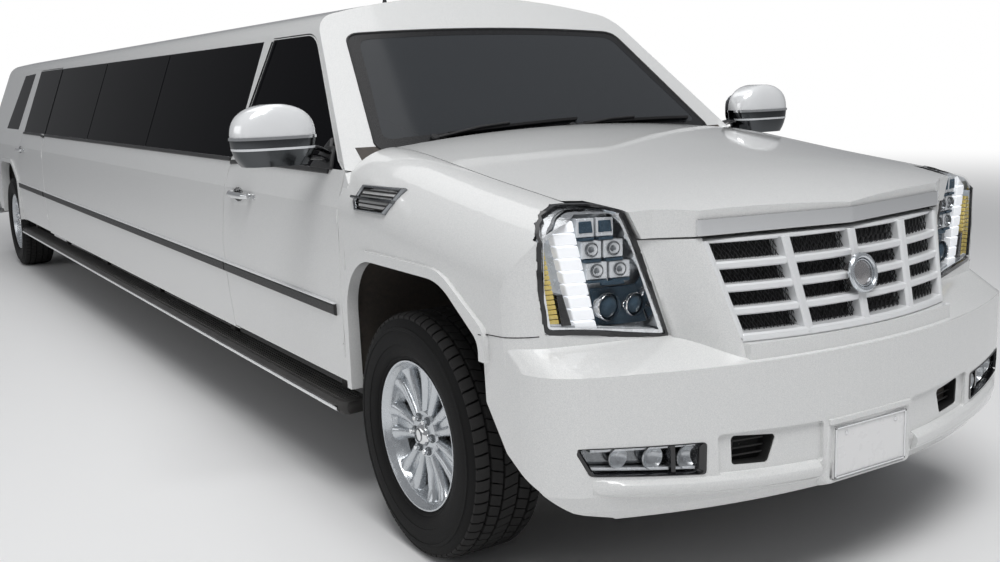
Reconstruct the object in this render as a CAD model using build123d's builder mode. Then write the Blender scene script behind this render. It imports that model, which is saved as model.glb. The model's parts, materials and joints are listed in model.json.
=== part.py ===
from build123d import *
import math
import os

# Stretch limousine on a full-size sport-utility base.
# Millimetres. +X is forward, +Y left, +Z up; the origin is on the ground at mid-length.

# ---------------------------------------------------------------- overall sizes
STRETCH = 4880.0  # length let into the base vehicle between the door posts
BASE_WHEELBASE = 2946.0
FRONT_OVERHANG = 995.0
REAR_OVERHANG = 1200.0
WIDTH = 2007.0  # over the wheel arch lips
HEIGHT = 1885.0  # crown of the roof

WHEELBASE = BASE_WHEELBASE + STRETCH
LENGTH = FRONT_OVERHANG + WHEELBASE + REAR_OVERHANG
X_NOSE = LENGTH / 2
X_TAIL = -LENGTH / 2
X_FRONT = X_NOSE - FRONT_OVERHANG  # front axle
X_REAR = X_FRONT - WHEELBASE  # rear axle

# ---------------------------------------------------------------- clearances
SHUT_GAP = 5.0  # round every door and lid
RUNNING_FIT = 0.3  # round pins, spindles and hubs
WALL = 60.0  # whole thickness of a door or a body side
PANEL = 24.0  # hood, fender and bumper cover
GLASS = 6.0
BITE = 2.0  # how far joined solids run into each other

# ---------------------------------------------------------------- cabin section, half widths and heights
SILL_Z = 464.0
SILL_HALF = 978.0
SIDE_Z = 780.0
SIDE_HALF = 992.0
SHOULDER_Z = 1100.0
SHOULDER_HALF = 984.0
BELT_Z = 1215.0
BELT_HALF = 952.0
RAIL_Z = 1790.0
RAIL_HALF = 739.0
RAIL_RADIUS = 130.0
ROOF_SPLIT_Z = 1748.0  # the roof panel meets the body sides here

# ---------------------------------------------------------------- windscreen and cabin ends
FIREWALL_X = X_FRONT - 458.0
SCREEN_BASE_X = X_FRONT - 470.0  # middle of the glass, level with its lower edge
SCREEN_BASE_Z = 1262.0
SCREEN_RAKE = 39.4  # degrees from level
SCREEN_CURVE = 9000.0  # radius across the car
SCREEN_BASE_HALF = 805.0
SCREEN_TOP_HALF = 668.0
SCREEN_TOP_Z = 1735.0
TAIL_PANEL_X = X_TAIL + 70.0  # tailgate skin at the belt
TAIL_TOP_X = X_TAIL + 235.0  # tailgate skin at the roof
TAIL_CURVE = 3600.0

# ---------------------------------------------------------------- front body section along the hood
# columns: x from the front axle, height in the middle, height at the hood's edge
HOOD_STATIONS = (
    (-600.0, 1338.0, 1295.0),
    (0.0, 1292.0, 1247.0),
    (450.0, 1238.0, 1190.0),
    (760.0, 1186.0, 1143.0),
    (960.0, 1118.0, 1085.0),
)
HOOD_HALF = 760.0
FENDER_HALF = 990.0
FENDER_FOOT_HALF = 980.0
FENDER_TOP_DROP = 248.0  # from the hood's edge down to where the side starts
FENDER_MID_DROP = 84.0
FENDER_MID_HALF = 935.0
FENDER_FOOT_Z = 300.0

# ---------------------------------------------------------------- nose, from the front axle
LAMP_PLANE_MID = 790.0
LAMP_PLANE_END = (655.0, 905.0)
LAMP_CORNER_MID = (622.0, 958.0)
LAMP_CORNER_END = (545.0, 992.0)
HOOD_NOSE = ((900.0, 0.0), (812.0, 500.0), (745.0, 610.0), (722.0, 700.0))
HOOD_LIP_Z = 1083.0
HOOD_REAR = -475.0
HOOD_HINGE_HALF = 690.0
HOOD_HINGE_Z = 1283.0
HOOD_STRAP = 24.0
HOOD_LIP_WALL = 24.0
NOSE_FOOT_Z = 745.0

BUMPER_MID = 995.0
BUMPER_END = (797.0, 879.0)
BUMPER_CORNER_MID = (738.0, 950.0)
BUMPER_CORNER_END = (640.0, 986.0)
BUMPER_BACK = 440.0
BUMPER_HALF = 990.0
BUMPER_FOOT_Z = 336.0
# lower lip: height above the foot and how far the face is drawn in there
BUMPER_LIP = ((0.0, 40.0), (34.0, 12.0), (80.0, 0.0))
SHOULDER_RISE = 58.0  # the shoulder slopes back and up this much to meet the lamps' plane
BAND_DEPTH = 12.0  # recess between the fog lamps and the plate
SHELF_LAP = 60.0  # how far the shelf runs in under the lamps

# grille, from the front axle: its face leans back as it rises
GRILLE_HALF_TOP = 490.0
GRILLE_HALF_FOOT = 425.0
GRILLE_HEAD_Z = 1075.0
GRILLE_FOOT_Z = 792.0
GRILLE_FACE_FOOT = 975.0
GRILLE_FACE_HEAD = 905.0
GRILLE_CURVE = 1400.0
GRILLE_RIM = 26.0
GRILLE_COLUMNS = 4
GRILLE_ROWS = 4
GRILLE_BAR = 12.0

# ---------------------------------------------------------------- wheels
TYRE_RADIUS = 401.0
TYRE_WIDTH = 265.0
RIM_RADIUS = 246.0  # lip of the rim
SEAT_RADIUS = 229.0
BARREL_RADIUS = 205.0
HUB_RADIUS = 78.0
SPINDLE_RADIUS = 32.0
SPINDLE_REACH = 48.0  # outward past the wheel's middle
FRONT_TRACK = 1732.0
REAR_TRACK = 1702.0
SPOKE_PAIRS = 7
LUGS = 6
LUG_CIRCLE = 67.5  # radius of the wheel's bolt circle
LUG_HOLE = 7.5

# ---------------------------------------------------------------- steering
KINGPIN_HALF = 790.0
KINGPIN_RADIUS = 14.0
ARM_RISE = 150.0  # the arms' eyes lie this far above and below the axle
ARM_THICK = 30.0

# ---------------------------------------------------------------- frame and floor
RAIL_OUT = 470.0
RAIL_WIDTH = 80.0
FRAME_Z = 330.0
FRAME_TOP = SILL_Z
FRAME_FRONT = 900.0
HITCH_BORE = 51.0  # square socket for a tow bar
KICK_RISE = 158.0  # the frame and floor step up over the rear axle
KICK_START = 760.0
KICK_END = 600.0
FLOOR_THICK = 40.0
GATE_ROOM = 8.0  # between the load floor and the tailgate
ROCKER_RISE = 90.0  # inner sill along the foot of each body side
CORE_HALF = 870.0  # floor, firewall and tail panel reach this far out

# ---------------------------------------------------------------- wheel openings, from the axle
ARCH_BACK = -428.0
ARCH_FRONT = 458.0
ARCH_TOP = 943.0
ARCH_SHOULDER = (240.0, 800.0)
ARCH_LIP = 34.0
ARCH_LIP_INNER = 968.0
HOUSE_REACH = 452.0
HOUSE_WALL = 6.0
HOUSE_INNER = 560.0
REAR_HOUSE_INNER = 690.0
HOUSE_FOOT_Z = 505.0

# ---------------------------------------------------------------- doors: places from the nearer axle
DOOR_EDGE = -500.0
DOOR_FOOT_Z = 470.0
DOOR_HEAD_Z = 1728.0
DOOR_TAPER = 0.2  # the rear shut face leans this much so that it opens clear
DOOR_OUTER = 1010.0
DOOR_INNER = 650.0
REAR_DOOR_EDGE = 1700.0
HINGE_INSET = 10.0  # hinge axis behind the door's front face and inside its skin
HINGE_PIN = 6.0
HINGE_LEVELS = (600.0, 1060.0)
HINGE_HEIGHT = 24.0

# columns: x from the axle, height, 1 where the point leans with the rear shut face
FRONT_DOOR = (
    (DOOR_EDGE, DOOR_FOOT_Z, 0),
    (DOOR_EDGE, 1222.0, 0),
    (-584.0, 1262.0, 0),
    (-1125.0, DOOR_HEAD_Z, 0),
    (-1640.0, DOOR_HEAD_Z, 1),
    (-1712.0, BELT_Z, 1),
    (-1790.0, 850.0, 1),
    (-1740.0, DOOR_FOOT_Z, 1),
)
REAR_DOOR = (
    (REAR_DOOR_EDGE, DOOR_FOOT_Z, 0),
    (REAR_DOOR_EDGE, DOOR_HEAD_Z, 0),
    (735.0, DOOR_HEAD_Z, 1),
    (745.0, BELT_Z, 1),
    (560.0, 900.0, 1),
    (520.0, DOOR_FOOT_Z, 1),
)
FRONT_DOOR_ROUND = (3, 230.0)  # corner number and radius

# ---------------------------------------------------------------- side glass
WINDOW_FOOT_Z = 1228.0
WINDOW_HEAD_Z = 1720.0
FRAME_BAND = 30.0  # black frame behind the edge of the glass
PANE_GAP = 4.0
LONG_PANES = 3
QUARTER_WINDOW = ((462.0, 1240.0), (560.0, 1710.0), (60.0, 1700.0), (-170.0, 1240.0))

# ---------------------------------------------------------------- tailgate and rear
TAILGATE_HALF_FOOT = 745.0
TAILGATE_HALF_HEAD = 655.0
TAILGATE_FOOT_Z = 648.0
TAILGATE_HEAD_Z = 1743.0
TAIL_GLASS_FOOT_Z = 1240.0
TAIL_GLASS_HEAD_Z = 1690.0
TAIL_LAMP = (775.0, 930.0, 760.0, 1200.0)
REAR_BUMPER_FOOT_Z = 400.0
REAR_BUMPER_HEAD_Z = 640.0

FROM_BASE = (Align.CENTER, Align.CENTER, Align.MIN)  # a cylinder that starts at its place

os.makedirs("parts", exist_ok=True)


def save(piece, name):
    """Labels a finished piece and writes it as its own STEP file."""
    piece.label = name
    export_step(piece, f"parts/{name}.step")


def block(x, y, z):
    """Solid box from three (low, high) pairs, made outside any builder."""
    size = [high - low for low, high in (x, y, z)]
    centre = Vector(*((low + high) / 2 for low, high in (x, y, z)))
    return Pos(centre) * Box(*size, mode=Mode.PRIVATE)


def front(x):
    """Place measured from the front axle."""
    return X_FRONT + x


def rear(x):
    """Place measured from the rear axle."""
    return X_REAR + x


# ---------------------------------------------------------------- envelopes
def core(inset, end=X_NOSE):
    """Solid inside the cabin's side skin, drawn in by inset and open-ended along the car."""
    with BuildPart() as solid:
        with BuildSketch(Plane.YZ.offset(X_TAIL - 50.0)):
            with BuildLine():
                side = ThreePointArc((SILL_HALF, SILL_Z), (SIDE_HALF, SIDE_Z), (SHOULDER_HALF, SHOULDER_Z))
                shoulder = Line(side @ 1, (BELT_HALF, BELT_Z))
                Line(shoulder @ 1, (RAIL_HALF, RAIL_Z))
                mirror(about=Plane.YZ)
                Line((-SILL_HALF, SILL_Z), (SILL_HALF, SILL_Z))
                ThreePointArc((RAIL_HALF, RAIL_Z), (0, HEIGHT), (-RAIL_HALF, RAIL_Z))
            section = make_face()
            corners = section.vertices().group_by(Axis.Y)[-1]
            fillet(corners, radius=RAIL_RADIUS)
            if inset:
                offset(amount=-inset, kind=Kind.INTERSECTION, mode=Mode.REPLACE)
        extrude(amount=end - (X_TAIL - 50.0))
    return solid.part


def cabin(inset):
    """Closed solid of the cabin, its skin drawn in by inset."""
    with BuildPart() as solid:
        add(core(inset, FIREWALL_X - inset))
        add(screen_front(inset), mode=Mode.SUBTRACT)
        add(tail_back(inset), mode=Mode.SUBTRACT)
    return solid.part


def screen_plane():
    """Plane square to the windscreen's slope, at the middle of its lower edge."""
    rake = math.radians(SCREEN_RAKE)
    return Plane(
        origin=(SCREEN_BASE_X, 0, SCREEN_BASE_Z),
        x_dir=(0, 1, 0),
        z_dir=(-math.cos(rake), 0, math.sin(rake)),
    )


def screen_sagitta(half):
    """How far the curved glass falls back at a half width."""
    return SCREEN_CURVE - math.sqrt(SCREEN_CURVE**2 - half**2)


def screen_front(inset):
    """Everything in front of the windscreen surface, as a block to cut away."""
    reach = 1150.0
    back = screen_sagitta(reach)
    with BuildPart() as ahead:
        with BuildSketch(screen_plane().offset(-900.0)):
            with BuildLine():
                Polyline((reach, inset + back), (reach, -1500.0), (-reach, -1500.0), (-reach, inset + back))
                ThreePointArc((-reach, inset + back), (0, inset), (reach, inset + back))
            make_face()
        extrude(amount=2600.0)
    return ahead.part


def tail_back(inset):
    """Everything behind the tail, below the belt upright and above it leaning in."""
    lean = math.degrees(math.atan2(TAIL_TOP_X - TAIL_PANEL_X, RAIL_Z - BELT_Z))
    with BuildPart() as behind:
        with BuildSketch(Plane.XY.offset(SILL_Z - 100.0)):
            add(tail_plan(TAIL_PANEL_X + inset, inset))
        extrude(amount=HEIGHT)
        slope = Plane(
            origin=(TAIL_PANEL_X + inset, 0, BELT_Z),
            x_dir=(0, 1, 0),
            z_dir=(math.sin(math.radians(lean)), 0, math.cos(math.radians(lean))),
        )
        with BuildSketch(slope.offset(-60.0)):
            with BuildLine():
                half = 1100.0
                fall = TAIL_CURVE - math.sqrt(TAIL_CURVE**2 - half**2)
                ThreePointArc((-half, -fall), (0, 0), (half, -fall))
                Polyline((half, -fall), (half, 1000.0), (-half, 1000.0), (-half, -fall))
            make_face()
        extrude(amount=1200.0)
    return behind.part


def tail_plan(x, inset):
    """Plan of what lies behind the tail: a long arc with round corners."""
    half = SIDE_HALF - inset
    fall = 110.0
    corner = 150.0
    with BuildSketch(mode=Mode.PRIVATE) as plan:
        with BuildLine():
            arc = ThreePointArc((x + fall, -(half - corner)), (x, 0), (x + fall, half - corner))
            left = ThreePointArc(arc @ 1, (x + fall + 45.0, half - 45.0), (x + fall + 190.0, half + 2.0))
            right = ThreePointArc(
                (x + fall + 190.0, -half - 2.0), (x + fall + 45.0, -(half - 45.0)), arc @ 0
            )
            Polyline(
                left @ 1,
                (x + fall + 190.0, half + 200.0),
                (x - 400.0, half + 200.0),
                (x - 400.0, -half - 200.0),
                (x + fall + 190.0, -half - 200.0),
                right @ 0,
            )
        make_face()
    return plan.sketch


def clip_section(station, inset):
    """Cross-section of the hood and fenders at one station."""
    x, middle, edge = station
    top = middle - inset
    rim = edge - inset
    half = FENDER_HALF - inset
    with BuildSketch(mode=Mode.PRIVATE) as section:
        with BuildLine():
            Line((FENDER_FOOT_HALF - inset, FENDER_FOOT_Z + inset), (half, edge - FENDER_TOP_DROP))
            ThreePointArc(
                (half, edge - FENDER_TOP_DROP),
                (FENDER_MID_HALF - inset * 0.7, edge - FENDER_MID_DROP - inset * 0.7),
                (HOOD_HALF, rim),
            )
            mirror(about=Plane.YZ)
            ThreePointArc((HOOD_HALF, rim), (0, top), (-HOOD_HALF, rim))
            foot = FENDER_FOOT_HALF - inset
            Line((-foot, FENDER_FOOT_Z + inset), (foot, FENDER_FOOT_Z + inset))
        make_face()
    return section.sketch


def clip(inset):
    """Closed solid under the hood and fenders, its skin drawn in by inset."""
    with BuildPart() as solid:
        for station in HOOD_STATIONS:
            with BuildSketch(Plane.YZ.offset(front(station[0]))):
                add(clip_section(station, inset))
        loft()
    return solid.part


def lamp_block(inset):
    """Everything behind the lamps' curved plane."""
    with BuildPart() as behind:
        with BuildSketch(Plane.XY.offset(NOSE_FOOT_Z)):
            with BuildLine():
                end = (front(LAMP_PLANE_END[0]) - inset, LAMP_PLANE_END[1])
                mid = (front(LAMP_CORNER_MID[0]) - inset, LAMP_CORNER_MID[1] - inset * 0.6)
                side = (front(LAMP_CORNER_END[0]) - inset, LAMP_CORNER_END[1])
                face = ThreePointArc((end[0], -end[1]), (front(LAMP_PLANE_MID) - inset, 0), end)
                left = ThreePointArc(end, mid, side)
                right = ThreePointArc((side[0], -side[1]), (mid[0], -mid[1]), face @ 0)
                Polyline(
                    left @ 1,
                    (side[0], side[1] + 50.0),
                    (front(-620.0), side[1] + 50.0),
                    (front(-620.0), -side[1] - 50.0),
                    (side[0], -side[1] - 50.0),
                    right @ 0,
                )
            make_face()
        extrude(amount=HEIGHT - NOSE_FOOT_Z)
    return behind.part


def arch(axle, grow, inner, outer, foot, top_extra=0.0):
    """Prism through the right side over a wheel, grown outward by grow."""
    with BuildPart() as opening:
        with BuildSketch(Plane.XZ.offset(inner)):
            with BuildLine():
                FilletPolyline(
                    (axle + ARCH_BACK - grow, foot),
                    (axle + ARCH_BACK - grow, ARCH_TOP + grow + top_extra),
                    (axle + ARCH_SHOULDER[0], ARCH_TOP + grow + top_extra),
                    (axle + ARCH_FRONT + grow, ARCH_SHOULDER[1] + grow),
                    (axle + ARCH_FRONT + grow, foot),
                    radius=(200.0, 240.0, 60.0),
                )
                Line((axle + ARCH_FRONT + grow, foot), (axle + ARCH_BACK - grow, foot))
            make_face()
        extrude(amount=outer - inner)
    return opening.part


def arch_lip(axle, foot):
    """Proud rim round a wheel opening on the right."""
    with BuildPart() as lip:
        add(arch(axle, ARCH_LIP, ARCH_LIP_INNER, WIDTH / 2, foot))
        add(arch(axle, 0.0, ARCH_LIP_INNER - 10.0, WIDTH / 2 + 10.0, foot - 10.0), mode=Mode.SUBTRACT)
    return lip.part


def door_sketch(table, axle, grow, half):
    """Outline of a door on the plane at a half width, its rear face leaning in with depth."""
    lean = DOOR_TAPER * (DOOR_OUTER - half)
    points = [(axle + x + lean * leaning, z) for x, z, leaning in table]
    with BuildSketch(mode=Mode.PRIVATE) as outline:
        with BuildLine():
            if table is FRONT_DOOR:
                radii = [0.0] * len(points)
                radii[FRONT_DOOR_ROUND[0]] = FRONT_DOOR_ROUND[1]
                FilletPolyline(*points, radius=radii, close=True)
            else:
                Polyline(*points, close=True)
        make_face()
        if grow:
            offset(amount=grow, kind=Kind.INTERSECTION, mode=Mode.REPLACE)
    return outline.sketch


def door_plug(table, axle, grow):
    """Block through the right side in the shape of a door."""
    with BuildPart() as plug:
        for half in (DOOR_OUTER, DOOR_INNER):
            with BuildSketch(Plane.XZ.offset(half)):
                add(door_sketch(table, axle, grow, half))
        loft(ruled=True)
    return plug.part


def mirrored(piece):
    """The left-hand twin of a right-hand piece."""
    return mirror(piece, about=Plane.XZ, mode=Mode.PRIVATE)


def pair(piece):
    """A right-hand piece and its left-hand twin, as one node of separate solids."""
    return Compound(children=[*piece.solids(), *mirrored(piece).solids()])


def side_prism(points, radii=None, low=600.0, high=1020.0):
    """Prism through the right side with a polygon outline given as (x, z)."""
    with BuildPart() as prism:
        with BuildSketch(Plane.XZ.offset(low)):
            with BuildLine():
                if radii is None:
                    Polyline(*points, close=True)
                else:
                    FilletPolyline(*points, radius=radii, close=True)
            make_face()
        extrude(amount=high - low)
    return prism.part


def front_prism(points, radius=0.0, start=X_FRONT, depth=1100.0):
    """Prism along the car with a polygon outline given as (y, z)."""
    with BuildPart() as prism:
        with BuildSketch(Plane.YZ.offset(start)):
            with BuildLine():
                if radius:
                    FilletPolyline(*points, radius=radius, close=True)
                else:
                    Polyline(*points, close=True)
            make_face()
        extrude(amount=depth)
    return prism.part


# ---------------------------------------------------------------- shared skins
CABIN_SKIN = cabin(0.0)
LINING_CORE = core(WALL)
with BuildPart() as cabin_shell:
    add(CABIN_SKIN)
    add(cabin(WALL), mode=Mode.SUBTRACT)
with BuildPart() as cabin_glazing:
    add(CABIN_SKIN)
    add(cabin(GLASS), mode=Mode.SUBTRACT)

with BuildPart() as clip_shell:
    add(clip(0.0))
    add(lamp_block(0.0), mode=Mode.INTERSECT)
    with BuildPart(mode=Mode.PRIVATE) as clip_core:
        add(clip(PANEL))
        add(lamp_block(PANEL), mode=Mode.INTERSECT)
    add(clip_core.part, mode=Mode.SUBTRACT)


# ---------------------------------------------------------------- windscreen
def screen_outline(shrink):
    """Prism square to the windscreen in the outline of its glass."""
    rake = math.radians(SCREEN_RAKE)
    face = Plane(
        origin=(SCREEN_BASE_X, 0, SCREEN_BASE_Z),
        x_dir=(0, 1, 0),
        z_dir=(math.sin(rake), 0, math.cos(rake)),
    )
    foot = 62.0
    head = (SCREEN_TOP_Z - SCREEN_BASE_Z) / math.sin(rake) + 8.0
    low = SCREEN_BASE_HALF - shrink
    high = SCREEN_TOP_HALF - shrink
    with BuildPart() as prism:
        with BuildSketch(face.offset(-260.0)):
            with BuildLine():
                FilletPolyline(
                    (-low, foot + shrink),
                    (low, foot + shrink),
                    (high, head - shrink),
                    (-high, head - shrink),
                    radius=60.0,
                    close=True,
                )
            make_face()
        extrude(amount=420.0)
    return prism.part


with BuildPart() as windscreen:
    add(cabin_glazing.part)
    add(screen_outline(0.0), mode=Mode.INTERSECT)
save(windscreen.part, "windscreen")

# ---------------------------------------------------------------- side glass outlines
LONG_FRONT = front(-1702.0)
LONG_REAR = rear(REAR_DOOR_EDGE + 9.0)
PANE_LENGTH = (LONG_FRONT - LONG_REAR - PANE_GAP * (LONG_PANES - 1)) / LONG_PANES


def window_box(x_low, x_high, shrink=0.0):
    """Upright rectangular window outline through the right side."""
    return side_prism(
        [
            (x_low + shrink, WINDOW_FOOT_Z + shrink),
            (x_high - shrink, WINDOW_FOOT_Z + shrink),
            (x_high - shrink, WINDOW_HEAD_Z - shrink),
            (x_low + shrink, WINDOW_HEAD_Z - shrink),
        ]
    )


def long_pane(number, shrink=0.0):
    """Outline of one of the long window's panes, counted from the front."""
    x_high = LONG_FRONT - number * (PANE_LENGTH + PANE_GAP)
    return window_box(x_high - PANE_LENGTH, x_high, shrink)


def quarter_pane(shrink=0.0):
    """Outline of the window behind the rear door."""
    centre_x = sum(x for x, z in QUARTER_WINDOW) / len(QUARTER_WINDOW)
    centre_z = (WINDOW_FOOT_Z + WINDOW_HEAD_Z) / 2
    half_x = 290.0
    half_z = (WINDOW_HEAD_Z - WINDOW_FOOT_Z) / 2
    points = [
        (
            rear(centre_x + (x - centre_x) * (1 - shrink / half_x)),
            centre_z + (z - centre_z) * (1 - shrink / half_z),
        )
        for x, z in QUARTER_WINDOW
    ]
    return side_prism(points)


with BuildPart() as glass_right:
    for outline in [long_pane(number) for number in range(LONG_PANES)] + [quarter_pane()]:
        with BuildPart(mode=Mode.PRIVATE) as pane:
            add(cabin_glazing.part)
            add(outline, mode=Mode.INTERSECT)
        add(pane.part)
save(pair(glass_right.part), "side_glass")


# ---------------------------------------------------------------- doors
def hinge_axis(door_edge):
    """Place of a side door's upright hinge axis on the right: x and y."""
    return door_edge - HINGE_INSET, -(SIDE_HALF - HINGE_INSET)


def door_window(table, axle, shrink):
    """Window outline that follows a door's upper edges inside its shut line."""
    with BuildPart() as prism:
        add(door_plug(table, axle, -shrink))
        above_belt = (WINDOW_FOOT_Z + shrink - GLASS, HEIGHT)
        add(block((axle - 3000, axle + 3000), (-1100, 0), above_belt), mode=Mode.INTERSECT)
    return prism.part


def make_door(table, axle, door_edge):
    """Builds a right-hand side door and its glass as (leaf, glass)."""
    x, y = hinge_axis(door_edge)
    with BuildPart() as glass:
        add(CABIN_SKIN)
        add(door_window(table, axle, 6.0), mode=Mode.INTERSECT)
        add(core(GLASS), mode=Mode.SUBTRACT)
    with BuildPart() as leaf:
        add(CABIN_SKIN)
        add(door_plug(table, axle, -SHUT_GAP / 2), mode=Mode.INTERSECT)
        add(LINING_CORE, mode=Mode.SUBTRACT)
        add(block((x - 3000, x + 100), (WALL - SILL_HALF, 0), (0, SIDE_Z)), mode=Mode.SUBTRACT)
        with BuildPart(mode=Mode.PRIVATE) as reach:
            add(block((x - 3000, x), (-1100, 0), (0, HEIGHT)))
            with Locations((x, y, 0)):
                Cylinder(HINGE_INSET, HEIGHT, align=FROM_BASE)
        add(reach.part, mode=Mode.INTERSECT)
        add(glass.part, mode=Mode.SUBTRACT)
        add(door_window(table, axle, 6.0 + FRAME_BAND), mode=Mode.SUBTRACT)
        for level in HINGE_LEVELS:
            notch = HINGE_INSET + 2.0
            add(
                block(
                    (x - notch, x + 20.0),
                    (y - 30.0, y + 72.0),
                    (level - HINGE_HEIGHT / 2 - RUNNING_FIT, level + HINGE_HEIGHT / 2 + RUNNING_FIT),
                ),
                mode=Mode.SUBTRACT,
            )
            with Locations((x, y, level)):
                Cylinder(HINGE_PIN + RUNNING_FIT, HINGE_HEIGHT * 3 + 2 * RUNNING_FIT, mode=Mode.SUBTRACT)
    return leaf.part, glass.part


def hinge_brackets(door_edge):
    """The pins and straps that carry a right-hand side door."""
    x, y = hinge_axis(door_edge)
    with BuildPart() as brackets:
        for level in HINGE_LEVELS:
            band = (level - HINGE_HEIGHT / 2, level + HINGE_HEIGHT / 2)
            with Locations((x, y, level)):
                Cylinder(HINGE_PIN, HINGE_HEIGHT * 3)
                Cylinder(HINGE_INSET - 1.0, HINGE_HEIGHT)
            add(block((x - 9.0, x + 9.0), (y, y + 44.0), band))
            add(block((x - 9.0, door_edge + SHUT_GAP + 16.0), (y + 27.0, y + 44.0), band))
    return brackets.part


FRONT_EDGE = front(DOOR_EDGE)
REAR_EDGE = rear(REAR_DOOR_EDGE)
front_door, front_door_glass = make_door(FRONT_DOOR, X_FRONT, FRONT_EDGE)
rear_door, rear_door_glass = make_door(REAR_DOOR, X_REAR, REAR_EDGE)
for piece, name in (
    (front_door, "front_door"),
    (front_door_glass, "front_door_glass"),
    (rear_door, "rear_door"),
    (rear_door_glass, "rear_door_glass"),
):
    save(piece, f"{name}_right")
    save(mirrored(piece), f"{name}_left")

def door_opening(table, axle):
    """Solid of a doorway through the skin, a shut gap larger than the door all round."""
    with BuildPart() as opening:
        add(door_plug(table, axle, SHUT_GAP / 2))
        add(core(WALL + SHUT_GAP), mode=Mode.SUBTRACT)
    return opening.part


# ---------------------------------------------------------------- body sides
front_doorway = door_opening(FRONT_DOOR, X_FRONT)
rear_doorway = door_opening(REAR_DOOR, X_REAR)
with BuildPart() as side_right:
    add(cabin_shell.part)
    add(block((X_TAIL - 100, X_NOSE), (-1100, 0), (0, ROOF_SPLIT_Z)), mode=Mode.INTERSECT)
    add(block((X_TAIL + 420, X_NOSE), (-CORE_HALF, CORE_HALF), (0, 1300)), mode=Mode.SUBTRACT)
    add(
        block((X_TAIL - 100, X_TAIL + 420), (-CORE_HALF, CORE_HALF), (0, TAILGATE_FOOT_Z)),
        mode=Mode.SUBTRACT,
    )
    add(screen_outline(0.0), mode=Mode.SUBTRACT)
    add(front_doorway, mode=Mode.SUBTRACT)
    add(rear_doorway, mode=Mode.SUBTRACT)
    for table, axle in ((FRONT_DOOR, X_FRONT), (REAR_DOOR, X_REAR)):
        x_low = axle + table[-1][0] - SHUT_GAP
        x_high = axle + DOOR_EDGE if table is FRONT_DOOR else axle + REAR_DOOR_EDGE
        step_room = ((x_low + 60, x_high + SHUT_GAP / 2), (-1100, -SILL_HALF + WALL), (0, 600))
        add(block(*step_room), mode=Mode.SUBTRACT)
    add(arch(X_REAR, 0.0, 600.0, 1020.0, 300.0), mode=Mode.SUBTRACT)
    add(glass_right.part, mode=Mode.SUBTRACT)
    for number in range(LONG_PANES):
        add(long_pane(number, FRAME_BAND), mode=Mode.SUBTRACT)
    add(quarter_pane(FRAME_BAND), mode=Mode.SUBTRACT)
    rocker_z = (SILL_Z, SILL_Z + ROCKER_RISE)
    add(block((rear(-ARCH_BACK), FIREWALL_X - WALL), (-CORE_HALF - 40.0, -CORE_HALF), rocker_z))

# ---------------------------------------------------------------- roof, floor, firewall
with BuildPart() as roof:
    add(cabin_shell.part)
    add(block((X_TAIL - 100, X_NOSE), (-1100, 1100), (ROOF_SPLIT_Z, HEIGHT + 10)), mode=Mode.INTERSECT)
    add(screen_outline(0.0), mode=Mode.SUBTRACT)

HOOD_REAR_X = front(HOOD_REAR)
HOOD_HINGE_X = HOOD_REAR_X + 13.0
with BuildPart() as firewall:
    add(cabin_shell.part)
    bulkhead = ((front(-800.0), X_NOSE), (-CORE_HALF, CORE_HALF), (SILL_Z + FLOOR_THICK, 1300))
    add(block(*bulkhead), mode=Mode.INTERSECT)
    add(screen_outline(0.0), mode=Mode.SUBTRACT)
    add(front_doorway, mode=Mode.SUBTRACT)
    add(mirrored(front_doorway), mode=Mode.SUBTRACT)
    for side in (-1, 1):
        y = side * HOOD_HINGE_HALF
        span = (y - HOOD_STRAP / 2, y + HOOD_STRAP / 2)
        add(block((HOOD_HINGE_X, HOOD_HINGE_X + 8.0), span, (1150.0, HOOD_HINGE_Z)))
        with Locations(Location((HOOD_HINGE_X, y, HOOD_HINGE_Z), (90, 0, 0))):
            Cylinder(8.0, HOOD_STRAP)
            Cylinder(5.0, HOOD_STRAP * 3)
save(firewall.part, "firewall")

REAR_FLOOR_Z = SILL_Z + KICK_RISE
REAR_FLOOR_START = rear(KICK_START)
with BuildPart() as floor:
    add(block((REAR_FLOOR_START, FIREWALL_X), (-CORE_HALF, CORE_HALF), (SILL_Z, SILL_Z + FLOOR_THICK)))
    add(
        block(
            (REAR_FLOOR_START - FLOOR_THICK, REAR_FLOOR_START),
            (-CORE_HALF, CORE_HALF),
            (SILL_Z, REAR_FLOOR_Z + FLOOR_THICK),
        )
    )
    with BuildPart(mode=Mode.PRIVATE) as rear_slab:
        deck_z = (REAR_FLOOR_Z, REAR_FLOOR_Z + FLOOR_THICK)
        add(block((X_TAIL, REAR_FLOOR_START), (-CORE_HALF, CORE_HALF), deck_z))
        add(cabin(WALL + GATE_ROOM), mode=Mode.INTERSECT)
    add(rear_slab.part)
    growth = HOUSE_REACH + ARCH_BACK + HOUSE_WALL
    house_x = (rear(ARCH_BACK - growth), rear(ARCH_FRONT + growth))
    for side in (-1, 1):
        span = sorted((side * (REAR_HOUSE_INNER - HOUSE_WALL), side * 1100.0))
        add(block(house_x, span, (0, HEIGHT)), mode=Mode.SUBTRACT)
    # tail panel below the tailgate, with a lip that the load floor's rear edge meets
    for depth, foot, head in (
        (WALL, SILL_Z + WALL + 10.0, REAR_FLOOR_Z + BITE),
        (WALL + GATE_ROOM + 20.0, REAR_FLOOR_Z, TAILGATE_FOOT_Z - SHUT_GAP),
    ):
        with BuildPart(mode=Mode.PRIVATE) as tail_sill:
            add(CABIN_SKIN)
            add(block((X_TAIL, X_TAIL + 400.0), (-CORE_HALF, CORE_HALF), (foot, head)), mode=Mode.INTERSECT)
            add(cabin(depth), mode=Mode.SUBTRACT)
        add(tail_sill.part)
save(floor.part, "floor_pan")

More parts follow.
